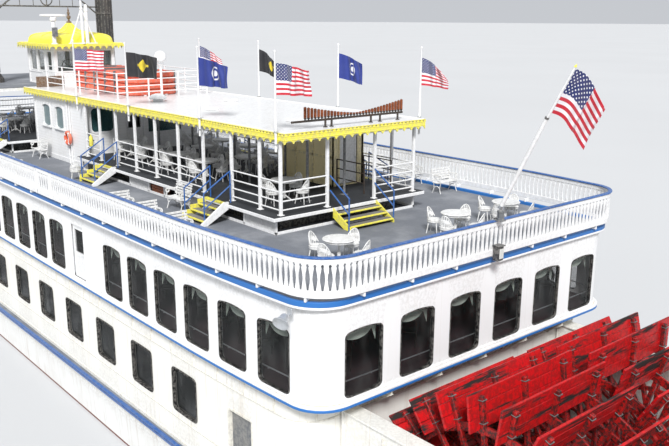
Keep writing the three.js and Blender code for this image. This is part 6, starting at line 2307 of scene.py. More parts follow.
@dataclass
class BridgeDeck:
    """The bridge deck over the forward shelter, its posts, and the rail round the life floats.

    Args:
        aft, forward, half, corner: Its plan.
        stations: Stations of the shelter's posts.
        side: Their distance from the centreline.
        floats: Stations of the two ends of the rail round the floats.
        rail: Its distance from the centreline.
    """

    aft: float = 25.95
    forward: float = 36.0
    half: float = 4.2
    corner: float = 2.0
    stations: tuple[float, ...] = (27.6, 29.6, 31.6, 33.5, 35.4)
    side: float = 3.85
    floats: tuple[float, float] = (17.6, 25.0)
    rail: float = 2.1

    def outline(self, inset: float = 0.0) -> Array:
        """The deck's plan: square aft, rounded forward corners."""
        r = self.corner - inset
        x, y = self.forward - self.corner, self.half - self.corner
        front = np.concatenate([arc((x, -y), r, -90, 0, 12), arc((x, y), r, 0, 90, 12)])
        return np.concatenate([[(self.aft, -self.half + inset)], front, [(self.aft, self.half - inset)]])

    def build(self) -> None:
        """Builds the deck, its posts and the rail round the floats."""
        deck = Piece("bridge_plate", slot="white_paint", replaces=("bridge_deck",))
        deck.add(prism(self.outline(), ROOF_UNDER + 0.03, ROOF_TOP - 0.02), Finish.WHITE)
        deck.add(prism(self.outline(0.06), ROOF_TOP - 0.03, ROOF_TOP), Finish.GREY_DECK)
        x = np.arange(self.aft + 0.4, self.forward - 0.4, BEAM_PITCH)
        reach = np.where(x > self.forward - self.corner, self.half - self.corner * 0.55, self.half) - 0.15
        deck.add(blocks(spread(x, 0, ROOF_UNDER + 0.02), spread(0.03, reach, 0.02)), Finish.WHITE)
        deck.make()
        self.posts()
        self.float_rail()

    def posts(self) -> None:
        """Posts and rails of the forward shelter."""
        piece = Piece("forward_posts", slot="white_paint", replaces=("bridge_posts",))
        places = [(x, s * self.side) for x in self.stations for s in BOTH]
        piece.add(Posts.shafts(places, RAISED + GAP, ROOF_UNDER - GAP), Finish.WHITE)
        x0, x1, y = self.stations[0], self.stations[-1], self.side
        runs = [((x0, y), (x1, y)), ((x0, -y), (x1, -y)), ((x1, -y), (x1, y))]
        piece.add(pipe_rails(runs, RAISED + np.array(Posts.heights)), Finish.WHITE)
        piece.make()

    def float_rail(self) -> None:
        """The rail round the floats and the stand with its dish dome."""
        piece = Piece("float_rail", slot="white_paint", replaces=("bridge_rail",))
        low = ROOF_TOP + GAP
        (x0, x1), y = self.floats, self.rail
        posts = [(x, s * y) for x in np.linspace(x0, x1, 5) for s in BOTH] + [(x0, 0.7), (x0, -0.7)]
        places = lifted(posts, low + 0.525)
        piece.add(blocks(places, (0.028, 0.028, 0.524), edge=0.008), Finish.WHITE)
        piece.add(blocks(places - (0, 0, 0.515), (0.06, 0.06, 0.01)), Finish.WHITE)
        runs = [((x0, y), (x1, y)), ((x0, -y), (x1, -y)), ((x0, -y), (x0, y))]
        piece.add(pipe_rails(runs, low + np.array([0.25, 0.5, 0.77, 1.03]), 0.02), Finish.WHITE)
        turn = np.radians(np.linspace(-90, 90, 15))
        dome = np.stack([0.25 * np.cos(turn), 0.25 * np.sin(turn)], axis=1)
        dome[:6, 0] = np.minimum(dome[:6, 0] * 1.05, 0.24)
        piece.add(lathe(dome, (x0, 0.1, low + 1.65), 28), Finish.WHITE)
        piece.add(lathe([(0, 0), (0.14, 0), (0.14, 0.02), (0.05, 0.04), (0.05, 1.2), (0.12, 1.3), (0.16, 1.36),
                         (0, 1.36)], (x0, 0.1, low), 14), Finish.WHITE)
        piece.make()


@dataclass
class LifeFloats:
    """Stacks of oval life floats with lashings.

    Args:
        first, pitch: Stations of the stacks.
        length, half: Size of a float.
        layer: Height of a float.
    """

    first: float = 18.3
    pitch: float = 2.05
    length: float = 1.95
    half: float = 1.2
    layer: float = 0.25

    def ring(self, narrow: float) -> Shape:
        """One float: a fat tube round a long plan with round corners."""
        r = 0.42
        x, y = self.length / 2 - 0.12 - r, self.half - narrow - 0.12 - r
        corners = [((x, y), 0), ((-x, y), 90), ((-x, -y), 180), ((x, -y), 270)]
        plan = np.concatenate([arc(c, r, a, a + 90, 6) for c, a in corners])
        path = np.concatenate([plan, np.zeros((len(plan), 1))], axis=1)
        turn = np.arange(12) * np.pi / 6
        section = np.stack([0.12 * np.cos(turn), self.layer * 0.49 * np.sign(np.sin(turn)) *
                            np.abs(np.sin(turn)) ** 0.7], axis=1)
        return sweep(path, section, closed=True)

    def build(self) -> None:
        """Piles the floats and lashes them."""
        piece = Piece("life_float_stacks", slot="orange_float", replaces=("life_floats",))
        low = ROOF_TOP + GAP
        for i in range(3):
            x = self.first + i * self.pitch + self.length / 2
            for j in range(4):
                z = low + (j + 0.5) * self.layer
                piece.add(self.ring(0.02 * j).moved(x, 0, z), Finish.FLOAT)
            slats = np.linspace(-0.8, 0.8, 9)
            places = spread(x, slats, low + 0.86)
            piece.add(blocks(places, (self.length / 2 - 0.2, 0.05, 0.012)), Finish.SIGN)
            bands = np.array([(x + a, 0, low + 0.5) for a in (-0.55, 0.55)])
            piece.add(blocks(bands, (0.025, self.half - 0.005, 0.505), edge=0.004), Finish.GREY_STEEL)
            cradle = [(x, y, low + 0.02) for y in (-0.5, 0.5)]
            piece.add(blocks(cradle, (self.length / 2, 0.06, 0.02)), Finish.WHITE)
        piece.make()


@dataclass
class Pilothouse:
    """The pilothouse: windows all round, a door to port and a bare board on its stern side.

    Args:
        aft, forward, half: Its plan.
        sill, head: Heights of its windows.
    """

    aft: float = 25.4
    forward: float = 28.8
    half: float = 1.53
    sill: float = 11.65
    head: float = 12.62

    def build(self) -> None:
        """Raises the walls, glazes them and hangs the door."""
        low, high = ROOF_TOP + GAP, CANOPY - GAP
        pane = Opening(0.8, self.sill, self.head, 0.0, 0.03)
        ends = [(y, pane) for y in (-1.0, 0.0, 1.0)]
        sides = [(27.05, pane), (28.05, pane)]
        small = Opening(0.7, self.sill, self.head, 0.0, 0.03)
        doorway = Opening(0.7, low + 0.05, self.head + 0.05, 0.0, 0.02)
        x = self.aft + 0.65
        cuts = {"stern": ends, "bow": ends, "port": sides + [(x, doorway)], "starboard": sides + [(x, small)]}
        walls = wall_box(self.aft, self.forward, self.half, low, high, 0.08, cuts)
        glazed = wall_box(self.aft, self.forward, self.half, low, high, 0.08, {**cuts, "port": sides})
        shell = Piece("pilothouse_shell", slot="white_paint", replaces=("pilothouse_walls",))
        shell.add(joined([wall.wall() for wall in walls.values()]), Finish.WHITE)
        shell.add(joined([wall.collars(0.045, 0.015, 0.02, 0.06) for wall in glazed.values()]), Finish.WHITE)
        corners = [(a, b, 11.875) for a in (self.aft + 0.04, self.forward - 0.04)
                   for b in (self.half - 0.04, 0.04 - self.half)]
        shell.add(blocks(corners, (0.065, 0.065, 0.92)), Finish.WHITE)
        band = [(self.aft + 0.05, self.forward - 0.05, s * self.half - 0.03, s * self.half + 0.03) for s in BOTH]
        band = [(27.0, self.forward, a, b) if a > 0 else (self.aft, self.forward, a, b) for _, _, a, b in band]
        shell.add(joined([board(*b, z, z + 0.06) for b in band for z in (10.96, 11.52)]), Finish.WHITE)
        shell.make()
        panes = Piece("pilothouse_panes", slot="dark_glass", replaces=("pilothouse_glazing",))
        panes.add(joined([wall.panes(0.04, 0.015) for wall in glazed.values()]), Finish.CLEAR_GLASS).make()
        self.door(low)
        self.helm()

    def door(self, low: float) -> None:
        """The leaf with its upper light."""
        x0, x1 = self.aft + 0.312, self.aft + 0.988
        y0, y1 = self.half - 0.07, self.half - 0.01
        z0, z1 = low + 0.07, self.head + 0.03
        leaf = Piece("pilothouse_leaf", "pilothouse_door_leaf", "white_paint", ("pilothouse_door",))
        leaf.add(leaf_frame((x0, x1), (y0, y1), (z0, z1), 0.09, 0.16, 0.1, (11.6, 11.7)), Finish.WHITE)
        leaf.add(board(x0 + 0.08, x1 - 0.08, y0 + 0.015, y1 - 0.015, z0 + 0.15, 11.61), Finish.WHITE)
        leaf.add(board(x0 + 0.08, x1 - 0.08, y0 + 0.02, y1 - 0.02, 11.69, z1 - 0.09), Finish.CLEAR_GLASS)
        leaf.add(rods([(x1, y1, low + 0.2)], [(x1, y1, self.head - 0.2)], 0.0105, 10), Finish.GALVANISED)
        leaf.make()

    def helm(self) -> None:
        """The bare board outside, and the console and steering wheel inside."""
        piece = Piece("pilothouse_fittings", slot="black_paint")
        piece.add(board(self.aft - 0.05, self.aft - 0.002, 1.15, 2.5, ROOF_TOP + 0.002, 11.45, 0.012), Finish.SIGN)
        piece.add(board(27.7, 28.5, -1.1, 1.1, 10.96, 11.75, 0.03), Finish.SIGN)
        hub = (27.45, 0, 11.75)
        ring = circle(hub, 0.36, angles(24), "yz")
        piece.add(sweep(ring, circle_section(0.022, 6), closed=True, up=(1, 0, 0)), Finish.SIGN)
        tips = circle(hub, 0.45, angles(8), "yz")
        piece.add(rods(np.tile(hub, (8, 1)), tips, 0.014, 6), Finish.SIGN)
        piece.add(rods([(27.4, 0, 11.75)], [(27.72, 0, 11.75)], 0.05, 12), Finish.IRON)
        piece.make()


@dataclass
class Canopy:
    """The pilothouse roof: a scalloped eave and hips that sweep up into a bell with a finial.

    Args:
        aft, forward, half: Plan of the eave.
        deep: Depth of the eave.
        station: Station of the bell.
        bell: Radius that the hips sweep up to, before its own profile narrows it.
        pitch: Width of a scallop.
    """

    aft: float = 24.93
    forward: float = 29.14
    half: float = 1.93
    deep: float = 0.15
    station: float = 27.03
    bell: float = 1.9
    pitch: float = 0.32

    def build(self) -> None:
        """Sweeps a profile round the plan: square at the eave, round at the bell.

        At a height the radius towards an angle is the share q of the eave's own reach that
        way, plus 1 - q of the bell's radius, with q falling from 1 at the eave to 0.
        """
        piece = Piece("pilothouse_canopy", slot="yellow_paint", replaces=("pilothouse_dome",))
        eave = CANOPY + self.deep
        piece.add(board(self.aft + 0.05, self.forward - 0.05, 0.05 - self.half, self.half - 0.05,
                        CANOPY + 0.02, eave, 0.02), Finish.YELLOW)
        rows = smooth_path([(0.80, 0.02, 1.0), (0.79, 0.12, 1.0), (0.78, 0.22, 1.0), (0.745, 0.34, 1.0),
                            (0.66, 0.43, 1.0), (0.55, 0.48, 0.9), (0.42, 0.52, 0.7), (0.32, 0.57, 0.4),
                            (0.24, 0.65, 0.1), (0.17, 0.77, 0.0), (0.11, 0.88, 0.0), (0.06, 0.96, 0.0),
                            (0.02, 1.0, 0.0)], 28)
        rows = np.concatenate([[(0.985, -0.01, 1.0), (0.98, 0.012, 1.0)], rows])
        turn = angles(72)
        reach_x, reach_y = (self.forward - self.aft) / 2, self.half
        square = np.minimum(reach_x / np.maximum(np.abs(np.cos(turn)), 1e-6),
                            reach_y / np.maximum(np.abs(np.sin(turn)), 1e-6))
        q = rows[:, 2:3]
        radius = rows[:, :1] * (q * square + (1 - q) * self.bell)
        points = np.stack([self.station + 0.005 + radius * np.cos(turn), radius * np.sin(turn),
                           np.repeat(eave - 0.01 + rows[:, 1:2], 72, axis=1)], axis=-1)
        piece.add(tube(points), Finish.YELLOW)
        ribs = points[:, ::9] + (0, 0, 0.008)
        for i in range(8):
            piece.add(sweep(ribs[:-1, i], box_section(0.05, 0.03, 0.008, -0.01)), Finish.YELLOW)
        a, b, c = self.aft + 0.02, self.forward - 0.02, self.half - 0.02
        for start, stop in (((b, c), (a, c)), ((a, c), (a, -c)), ((a, -c), (b, -c)), ((b, -c), (b, c))):
            length = float(np.hypot(stop[0] - start[0], stop[1] - start[1]))
            heights = scallops(length, self.pitch, CANOPY + 0.06, 0.14, 0.16)
            piece.add(edging(start, stop, heights, eave, 0.03), Finish.YELLOW)
        beads = [(0, 0), (0.12, 0.0), (0.13, 0.06), (0.05, 0.1), (0.04, 0.18), (0.1, 0.24), (0.1, 0.32), (0.035, 0.38),
                 (0.07, 0.45), (0.07, 0.5), (0.03, 0.55), (0.045, 0.61), (0.02, 0.68), (0.012, 0.77), (0, 0.78)]
        piece.add(lathe(beads, (self.station, 0, CANOPY + 1.12), 16), Finish.SIGN)
        piece.make()


# ---------------------------------------------------------------- stacks, mast, whistles


@dataclass
class Stacks:
    """Two tall ribbed stacks with feathered crowns, and the brace between them.

    Args:
        station, side, radius, top: Place and size of each stack.
    """

    station: float = 29.75
    side: float = 3.15
    radius: float = 0.42
    top: float = 17.6

    def stack(self) -> Shape:
        """A turned shaft whose crown opens into twelve leaves."""
        r, low = self.radius, ROOF_TOP + GAP
        height = self.top - low
        profile = np.array([
            (0.001, 0), (r + 0.18, 0), (r + 0.18, 0.22), (r + 0.12, 0.27), (r + 0.06, 0.4), (r, 0.45), (r, 1.4),
            (r + 0.03, 1.42), (r + 0.03, 1.5), (r, 1.52), (r, 3.4), (r + 0.03, 3.42), (r + 0.03, 3.5), (r, 3.52),
            (r, height - 1.35), (r + 0.06, height - 1.3), (r + 0.06, height - 1.2), (r + 0.04, height - 1.0),
            (r + 0.1, height - 0.9), (r + 0.22, height - 0.6), (r + 0.4, height - 0.25), (r + 0.5, height),
            (r + 0.45, height), (r + 0.2, height - 0.3), (r + 0.08, height - 0.5), (0.001, height - 0.5),
        ])
        turn = angles(48)
        crown = np.clip((profile[:, 1] - (height - 0.6)) / 0.6, 0, 1)[:, None]
        leaf = np.abs(np.cos(6 * turn))
        radius = profile[:, :1] - crown * 0.14 * (1 - leaf)
        z = profile[:, 1:] - crown * 0.2 * (1 - leaf)
        return tube(np.stack([self.station + radius * np.cos(turn), self.side + radius * np.sin(turn), low + z],
                             axis=-1))

    def ribs(self) -> Shape:
        """Upright battens round the shaft."""
        turn = angles(16)
        low, high = 11.45, self.top - 1.42
        places = circle((self.station, self.side, (low + high) / 2), self.radius + 0.012, turn)
        return blocks(places, (0.014, 0.02, (high - low) / 2), Furniture.turns(turn), 0.004)

    def build(self) -> None:
        """Builds both stacks and the spreader with its ring."""
        for side, name in SIDES:
            piece = Piece(f"stack_shell_{name}", slot="black_paint", replaces=(f"stack_{name}",))
            for shape in (self.stack(), self.ribs()):
                piece.add(shape if side > 0 else shape.mirrored(), Finish.STACK)
            piece.make()
        reach = self.side - self.radius - GAP
        x = self.station
        line = smooth_path([(x, -reach, 14.4), (x, -1.6, 15.2), (x, 0, 15.46), (x, 1.6, 15.2), (x, reach, 14.4)], 41)
        brace = Piece("stack_brace", slot="black_paint", replaces=("stack_spreader",))
        brace.add(sweep(line, circle_section(0.04, 10), up=(1, 0, 0)), Finish.STACK)
        brace.add(rods([(x, -reach, 14.75)], [(x, reach, 14.75)], 0.038, 10), Finish.STACK)
        brace.add(rods([(x, 0, 14.75)], [(x, 0, 15.46)], 0.03, 8), Finish.STACK)
        y = np.array([-2.1, -1.4, -0.7, 0.7, 1.4, 2.1])
        top = np.interp(y, line[:, 1], line[:, 2])
        brace.add(rods(spread(x, y, 14.75), spread(x, y, top), 0.018, 6),
                  Finish.STACK)
        ring = circle((x, 0, 15.1), 0.3, angles(24), "yz")
        brace.add(sweep(ring, circle_section(0.03, 8), closed=True, up=(1, 0, 0)), Finish.STACK)
        brace.make()


@dataclass
class MastAndRadar:
    """The mast with its legs and yard, and the radar on its post.

    Args:
        foot: Height that both stand on.
    """

    foot: float = CANOPY + 0.15 + GAP

    def build(self) -> None:
        """Builds the mast, the radar's post and its turning scanner."""
        x, y, z = 25.0, 0.2, self.foot
        mast = Piece("signal_mast", slot="white_paint", replaces=("mast",))
        mast.add(lathe([(0, 0), (0.11, 0), (0.11, 0.03), (0.06, 0.06), (0.058, 1.6), (0.075, 1.62), (0.075, 1.7),
                        (0.05, 1.72), (0.04, 16.88 - z), (0.06, 16.9 - z), (0.05, 17.0 - z), (0, 17.0 - z)],
                       (x, y, z), 16), Finish.WHITE)
        mast.add(rods([(x, y + 0.65, z), (x, y - 0.65, z)], [(x, y, 14.6), (x, y, 14.6)], 0.033, 10), Finish.WHITE)
        mast.add(board(x - 0.03, x + 0.03, y - 0.72, y + 0.72, z, z + 0.05), Finish.WHITE)
        mast.add(rods([(x, y - 0.7, 15.63)], [(x, y + 0.7, 15.63)], 0.035, 10), Finish.WHITE)
        lamps = np.array([(x, y - 0.6, 15.62), (x, y + 0.6, 15.62), (x - 0.09, y, 16.2), (x - 0.09, y, 15.0)])
        mast.add(lathe([(0, -0.01), (0.05, 0), (0.05, 0.02), (0.04, 0.03), (0.04, 0.13), (0.052, 0.14), (0.02, 0.18),
                        (0, 0.18)], sides=12).copies(lamps), Finish.BLACK)
        mast.make()
        pole = Piece("antenna_post", slot="white_paint")
        pole.add(lathe([(0, 0), (0.13, 0), (0.13, 0.03), (0.085, 0.06), (0.085, 1.5), (0.1, 1.52), (0.1, 1.6),
                        (0.085, 1.62), (0.085, 1.78), (0.06, 1.84), (0, 1.85)], (25.12, -0.08, z), 16), Finish.WHITE)
        pole.make()
        x, y = 25.15, 1.55
        post = Piece("radar_pedestal", slot="white_paint", replaces=("radar_post",))
        post.add(lathe([(0, 0), (0.16, 0), (0.16, 0.03), (0.09, 0.06), (0.085, 14.0 - z), (0.15, 14.03 - z),
                        (0.16, 14.06 - z), (0.16, 14.17 - z), (0.13, 14.2 - z), (0, 14.2 - z)], (x, y, z), 20),
                 Finish.WHITE)
        post.add(board(x - 0.2, x - 0.07, y - 0.12, y + 0.12, 13.3, 13.72, 0.015), Finish.GREY_STEEL)
        post.make()
        u = np.linspace(-1, 1, 21)
        ring = np.array([(-1, 0.15), (-0.75, 0.0), (0.75, 0.0), (1, 0.15), (1, 0.85), (0.75, 1.0), (-0.75, 1.0),
                         (-1, 0.85)])
        taper = 1 - 0.35 * np.abs(u) ** 3
        points = np.stack([x + ring[:, 0] * 0.1 * taper[:, None], np.repeat(y + 0.6 * u[:, None], 8, axis=1),
                           14.22 + 0.11 * (0.5 + (ring[:, 1] - 0.5) * taper[:, None])], axis=-1)
        scanner = Piece("radar_bar", "radar", "white_paint", ("radar_scanner",))
        scanner.add(tube(points), Finish.WHITE)
        scanner.add(rods([(x, y, 14.2 + GAP)], [(x, y, 14.25)], 0.06, 14), Finish.GREY_STEEL)
        scanner.make()


@dataclass
class Calliope:
    """A row of steam whistles in a shallow vee on one pipe.

    Args:
        station, height: Place of the pipe.
        port, span, count: First whistle, spread and number.
    """

    station: float = 5.75
    height: float = 11.2
    port: float = 1.79
    span: float = 4.05
    count: int = 32

    def build(self) -> None:
        """Builds the pipe and the whistles: black foot, bell with a lip, cap and stem."""
        x, z = self.station, self.height
        piece = Piece("steam_whistles", slot="copper", replaces=("calliope",))
        t = np.arange(self.count) / (self.count - 1)
        y = self.port - self.span * t
        tall = 0.12 + 0.3 * np.abs(2 * t - 1) ** 1.3
        foot = spread(x, y, z)
        up = np.array([0, 0, 1.0])
        piece.add(rods([(x, -2.31, z - 0.015)], [(x, 2.3, z - 0.015)], 0.035, 14), Finish.IRON)
        piece.add(rods(foot, foot + up * 0.05, 0.022, 8), Finish.IRON)
        piece.add(rods(foot + up * 0.045, foot + up * 0.075, 0.042, 10, 0.048), Finish.IRON)
        piece.add(rods(foot + up * 0.085, foot + up * (tall * 0.93)[:, None], 0.045, 10), Finish.COPPER)
        piece.add(rods(foot + up * 0.07, foot + up * 0.09, 0.03, 8), Finish.IRON)
        piece.add(rods(foot + up * (tall * 0.93)[:, None], foot + up * (tall * 0.97)[:, None], 0.048, 10, 0.03),
                  Finish.COPPER)
        piece.add(rods(foot + up * (tall * 0.96)[:, None], foot + up * tall[:, None], 0.012, 6), Finish.IRON)
        posts = np.array([(x, a, ROOF_TOP + GAP) for a in (1.0, 0.75, -0.9, -1.3, -2.1)])
        piece.add(rods(posts, posts + up * (z - ROOF_TOP - 0.01), 0.034, 10), Finish.IRON)
        piece.add(rods(posts, posts + up * 0.02, 0.07, 12), Finish.IRON)
        piece.make()


@dataclass
class Flags:
    """Flagstaffs along the roof with their flags, and the ensign on its bent staff.

    Args:
        stations: Stations of the staffs.
        side: Their distance from the centreline.
        fly, hoist: Size of a flag.
        wind: Angle that the flags stream at, in degrees from aft to starboard.
    """

    stations: tuple[float, ...] = (5.6, 9.8, 14.9, 19.6)
    side: float = 2.95 + 0.04 + GAP
    fly: float = 1.5
    hoist: float = 0.9
    wind: float = 49.5

    @staticmethod
    def cloth(head: Array, foot: Array, away: Array, fly: float, waves: tuple[float, float, float],
              fall: tuple[float, float], thick: float = 0.01) -> Shape:
        """A drooping flag whose threads keep their length while they swing in folds.

        A thread at height v leaves the hoist, swings from side to side by a sine along the
        fly, and falls at an angle that grows from the foot of the hoist to its head, so that
        the free end is gathered.

        Args:
            head, foot: Ends of the hoist.
            away: Direction that the flag streams in.
            fly: Length of the flag.
            waves: Largest swing in radians, number of waves, and phase.
            fall: Angles in degrees that the foot and the head of the flag fall at.
            thick: Thickness.

        Returns:
            A closed thin shell with u from hoist to fly and v from foot to head.
        """
        columns, rows = 91, 25
        up = head - foot
        away = away / np.linalg.norm(away)
        side = np.cross(up / np.linalg.norm(up), away)
        side /= np.linalg.norm(side)
        u, v = np.linspace(0, 1, columns)[:, None], np.linspace(0, 1, rows)[None]
        swing, number, phase = waves
        angle = swing * np.clip(u * 3.5, 0.25, 1) * np.sin(2 * np.pi * number * u + phase + 1.5 * v * u)
        angle = angle + 0.22 * swing * np.clip(u * 2, 0, 1) * np.sin(2 * np.pi * number * 2.3 * u - 2.1 * v + phase)
        droop = np.radians(fall[0] + (fall[1] - fall[0]) * v**1.3) * np.clip(0.35 + u * 1.6, 0, 1)
        step = fly / (columns - 1)
        ahead, across, down = np.cos(angle) * np.cos(droop), np.sin(angle), np.cos(angle) * np.sin(droop)
        along, across, down = ((np.cumsum(a, axis=0) - a[:1]) * step for a in (ahead, across, down))
        mid = foot + up * v[..., None] + away * along[..., None] + side * across[..., None]
        mid = mid - spread(0, 0, down)
        normal = np.cross(np.gradient(mid, axis=0), np.gradient(mid, axis=1))
        normal /= np.linalg.norm(normal, axis=-1)[..., None]
        near, far = ((mid + normal * offset).reshape(-1, 3) for offset in (-thick / 2, thick / 2))
        uv = np.stack(np.broadcast_arrays(u, v), axis=-1).reshape(-1, 2)
        return shell(near, far, columns, rows, uv)

    def build(self) -> None:
        """Sets up the staffs and flies a flag from each."""
        designs = (Finish.STRIPES, Finish.RING, Finish.GOLD, Finish.STRIPES)
        looks = {"port": ((1.35, 2.1, 0.4, 2, 16), (1.42, 1.9, 2.6, 6, 22), (1.1, 1.8, 0.9, 4, 11),
                          (1.0, 1.9, 2.2, 0, 6)),
                 "starboard": ((1.42, 2.2, 1.2, 10, 46), (1.45, 1.9, 3.4, 20, 30), (1.3, 1.9, 0.2, 30, 50),
                               (1.1, 1.8, 2.0, 19, 38))}
        turn = np.radians(self.wind)
        away = np.array([-np.cos(turn), -np.sin(turn), 0.0])
        for side, name in SIDES:
            for i, (x, look, design) in enumerate(zip(self.stations, looks[name], designs)):
                y = side * self.side
                number = f"{name}_{i + 1}"
                staff = Piece(f"staff_{number}", slot="white_paint", replaces=(f"flagstaff_{number}",))
                staff.add(lathe([(0, 0), (0.038, 0), (0.038, 1.2), (0.032, 1.24), (0.028, 2.82), (0.04, 2.84),
                                 (0.04, 2.88), (0.01, 2.9), (0, 2.9)], (x, y, 10.4), 12), Finish.WHITE)
                clamps = [(x, y - side * 0.01, 10.62), (x, y - side * 0.01, 10.98)]
                staff.add(blocks(clamps, (0.055, 0.05, 0.025)), Finish.GALVANISED)
                staff.make()
                foot = np.array([x, y, 12.04]) + away * 0.032
                shape = self.cloth(foot + (0, 0, self.hoist), foot, away, self.fly, look[:3], look[3:])
                made = Piece(f"flag_{number}", slot="flag_cloth", crease=80).add(shape, design).make()
        self.ensign()

    def ensign(self) -> None:
        """The ensign and its jointed staff over the wheel."""
        foot, joint = np.array([-0.22, 0, 9.3]), np.array([-1.5, 0, 11.85])
        upper, tip = np.array([-1.48, 0, 11.8]), np.array([-2.2, 0, 13.15])
        lean, raise_ = joint - foot, tip - upper
        staff = Piece("ensign_pole", slot="white_paint", replaces=("ensign_staff",))
        staff.add(rods([(-0.22, 0, RAIL_TOP + GAP)], [foot], 0.06, 12), Finish.WHITE)
        staff.add(lathe([(0, 0), (0.12, 0), (0.12, 0.02), (0.07, 0.04), (0, 0.04)], (-0.22, 0, RAIL_TOP + GAP), 18),
                  Finish.BLACK)
        staff.add(rods([foot - lean * 0.015], [joint], 0.056, 14, 0.048), Finish.WHITE)
        staff.add(rods([foot + lean * 0.985], [foot + lean * 1.002], 0.056, 14), Finish.BLACK)
        staff.add(rods([foot + lean * 0.02], [foot + lean * 0.05], 0.062, 14), Finish.GALVANISED)
        staff.add(rods([upper], [upper + raise_ * 0.97], 0.033, 12, 0.028), Finish.WHITE)
        staff.add(rods([upper + raise_ * 0.96], [tip], 0.038, 12, 0.012), Finish.YELLOW)
        staff.make()
        low, high = upper + raise_ * 0.12, upper + raise_ * 0.92
        away = np.array([-0.65, -0.76, 0.0])
        away /= np.linalg.norm(away)
        offset = away * 0.045
        shape = self.cloth(high + offset, low + offset, away, 1.7, (1.15, 2.2, 0.6), (55.0, 60.0))
        made = Piece("ensign_cloth", slot="flag_cloth", replaces=("ensign",), crease=80)
        made = made.add(shape, Finish.STRIPES).make()


# ---------------------------------------------------------------- wheel and bow gear


@dataclass
class PaddleWheel:
    """The stern wheel: two halves of planked buckets, their planks half a pitch apart.

    Args:
        station, height: Place of the shaft.
        count: Buckets on each half.
        radius, depth: Outer edge and depth of a bucket.
        half: Length of each half.
        frames: Places of the arm frames on each half.
    """

    station: float = -3.25
    height: float = 2.55
    count: int = 24
    radius: float = 3.66
    depth: float = 0.9
    half: float = 4.0
    frames: tuple[float, ...] = (0.5, 2.05, 3.6)
    hoops: tuple[tuple[float, float], ...] = ((2.66, 2.86), (1.5, 1.62))

    def axes(self, side: float) -> Array:
        """Axes out along, across and over each arm; the port half is turned half a pitch."""
        turn = (np.arange(self.count) + (0.5 if side > 0 else 0.0)) * 2 * np.pi / self.count
        zero = turn * 0
        out = np.stack([np.cos(turn), zero, np.sin(turn)], axis=1)
        over = np.stack([-np.sin(turn), zero, np.cos(turn)], axis=1)
        return np.stack([out, np.tile((0.0, 1.0, 0.0), (self.count, 1)), over], axis=2)

    def on(self, axes: Array, out: float, across: float, over: float) -> Array:
        """Places at the same offsets on every arm."""
        return axes @ np.array([out, across, over]) + (self.station, 0, self.height)

    def build(self) -> None:
        """Builds both halves on one shaft."""
        planks = Piece("wheel_buckets", "wheel", "red_paint", ("paddle_wheel",))
        frames = Piece("wheel_frames", "wheel", "red_paint")
        bolts = Piece("wheel_bolts", "wheel", "engine_steel")
        for side in BOTH:
            axes = self.axes(side)
            self.planks(planks, axes, side)
            for y in self.frames:
                self.frame(frames, axes, side * y)
                self.bolts(bolts, axes, side * y)
        x, z = self.station, self.height
        shaft = [(0, -4.75), (0.17, -4.75), (0.2, -4.72), (0.2, -4.2), (0.27, -4.2), (0.27, -4.06), (0.2, -4.06),
                 (0.2, 4.06), (0.27, 4.06), (0.27, 4.2), (0.2, 4.2), (0.2, 4.72), (0.17, 4.75), (0, 4.75)]
        frames.add(lathe(shaft, (x, 0, z), 24, "Y"), Finish.IRON)
        planks.make()
        frames.make()
        bolts.make()

    def planks(self, piece: Piece, axes: Array, side: float) -> None:
        """Three planks to a bucket."""
        wide = self.depth / 3
        for i in range(3):
            out = self.radius - self.depth + (i + 0.5) * wide
            centres = self.on(axes, out, side * (self.half + 0.04) / 2, -0.07)
            piece.add(blocks(centres, (wide / 2 - 0.006, (self.half - 0.04) / 2, 0.03), axes, 0.008),
                      Finish.RED_PLANK)

    def frame(self, piece: Piece, axes: Array, y: float) -> None:
        """Arms between a hub and two hoops."""
        centres = self.on(axes, 1.98, y, 0.015)
        piece.add(blocks(centres, (1.58, 0.06, 0.055), axes, 0.008), Finish.RED_FRAME)
        where = (self.station, y, self.height)
        for low, high in self.hoops:
            ring = [(low, -0.035), (high, -0.035), (high, 0.035), (low, 0.035)]
            piece.add(self.hoop(ring).moved(*where), Finish.RED_FRAME)
        hub = [(0.2, -0.2), (0.3, -0.2), (0.32, -0.1), (0.55, -0.08), (0.56, -0.05), (0.56, 0.05), (0.55, 0.08),
               (0.32, 0.1), (0.3, 0.2), (0.2, 0.2)]
        piece.add(lathe(hub, where, 28, "Y"), Finish.RED_FRAME)
        heads = circle(where, 0.46, angles(12), "xz")
        piece.add(rods(heads - (0, 0.11, 0), heads + (0, 0.11, 0), 0.028, 6), Finish.IRON)

    @staticmethod
    def hoop(ring: list[tuple[float, float]]) -> Shape:
        """A closed section of (radius, offset) corners turned about the shaft."""
        corners, turn = np.array(ring), angles(72)
        points = np.stack([corners[:, 0] * np.cos(turn[:, None]), np.tile(corners[:, 1], (72, 1)),
                           corners[:, 0] * np.sin(turn[:, None])], axis=-1)
        return Shape(points.reshape(-1, 3), [grid_faces(72, len(corners), True, True)]).outward()

    def bolts(self, piece: Piece, axes: Array, y: float) -> None:
        """Two bent bolts hold each bucket to each arm: a bar over the arm and two legs with nuts."""
        for out in (2.93, 3.47):
            bar = self.on(axes, out, y, 0.086)
            piece.add(blocks(bar, (0.011, 0.072, 0.009), axes, 0.003), Finish.ENGINE)
            for leg in (-0.076, 0.076):
                head, foot = self.on(axes, out, y + leg, 0.09), self.on(axes, out, y + leg, -0.135)
                piece.add(rods(foot, head, 0.010, 5), Finish.ENGINE)
            nuts = self.on(axes, out, y, -0.11)
            piece.add(blocks(nuts, (0.022, 0.095, 0.007), axes, 0.003), Finish.ENGINE)


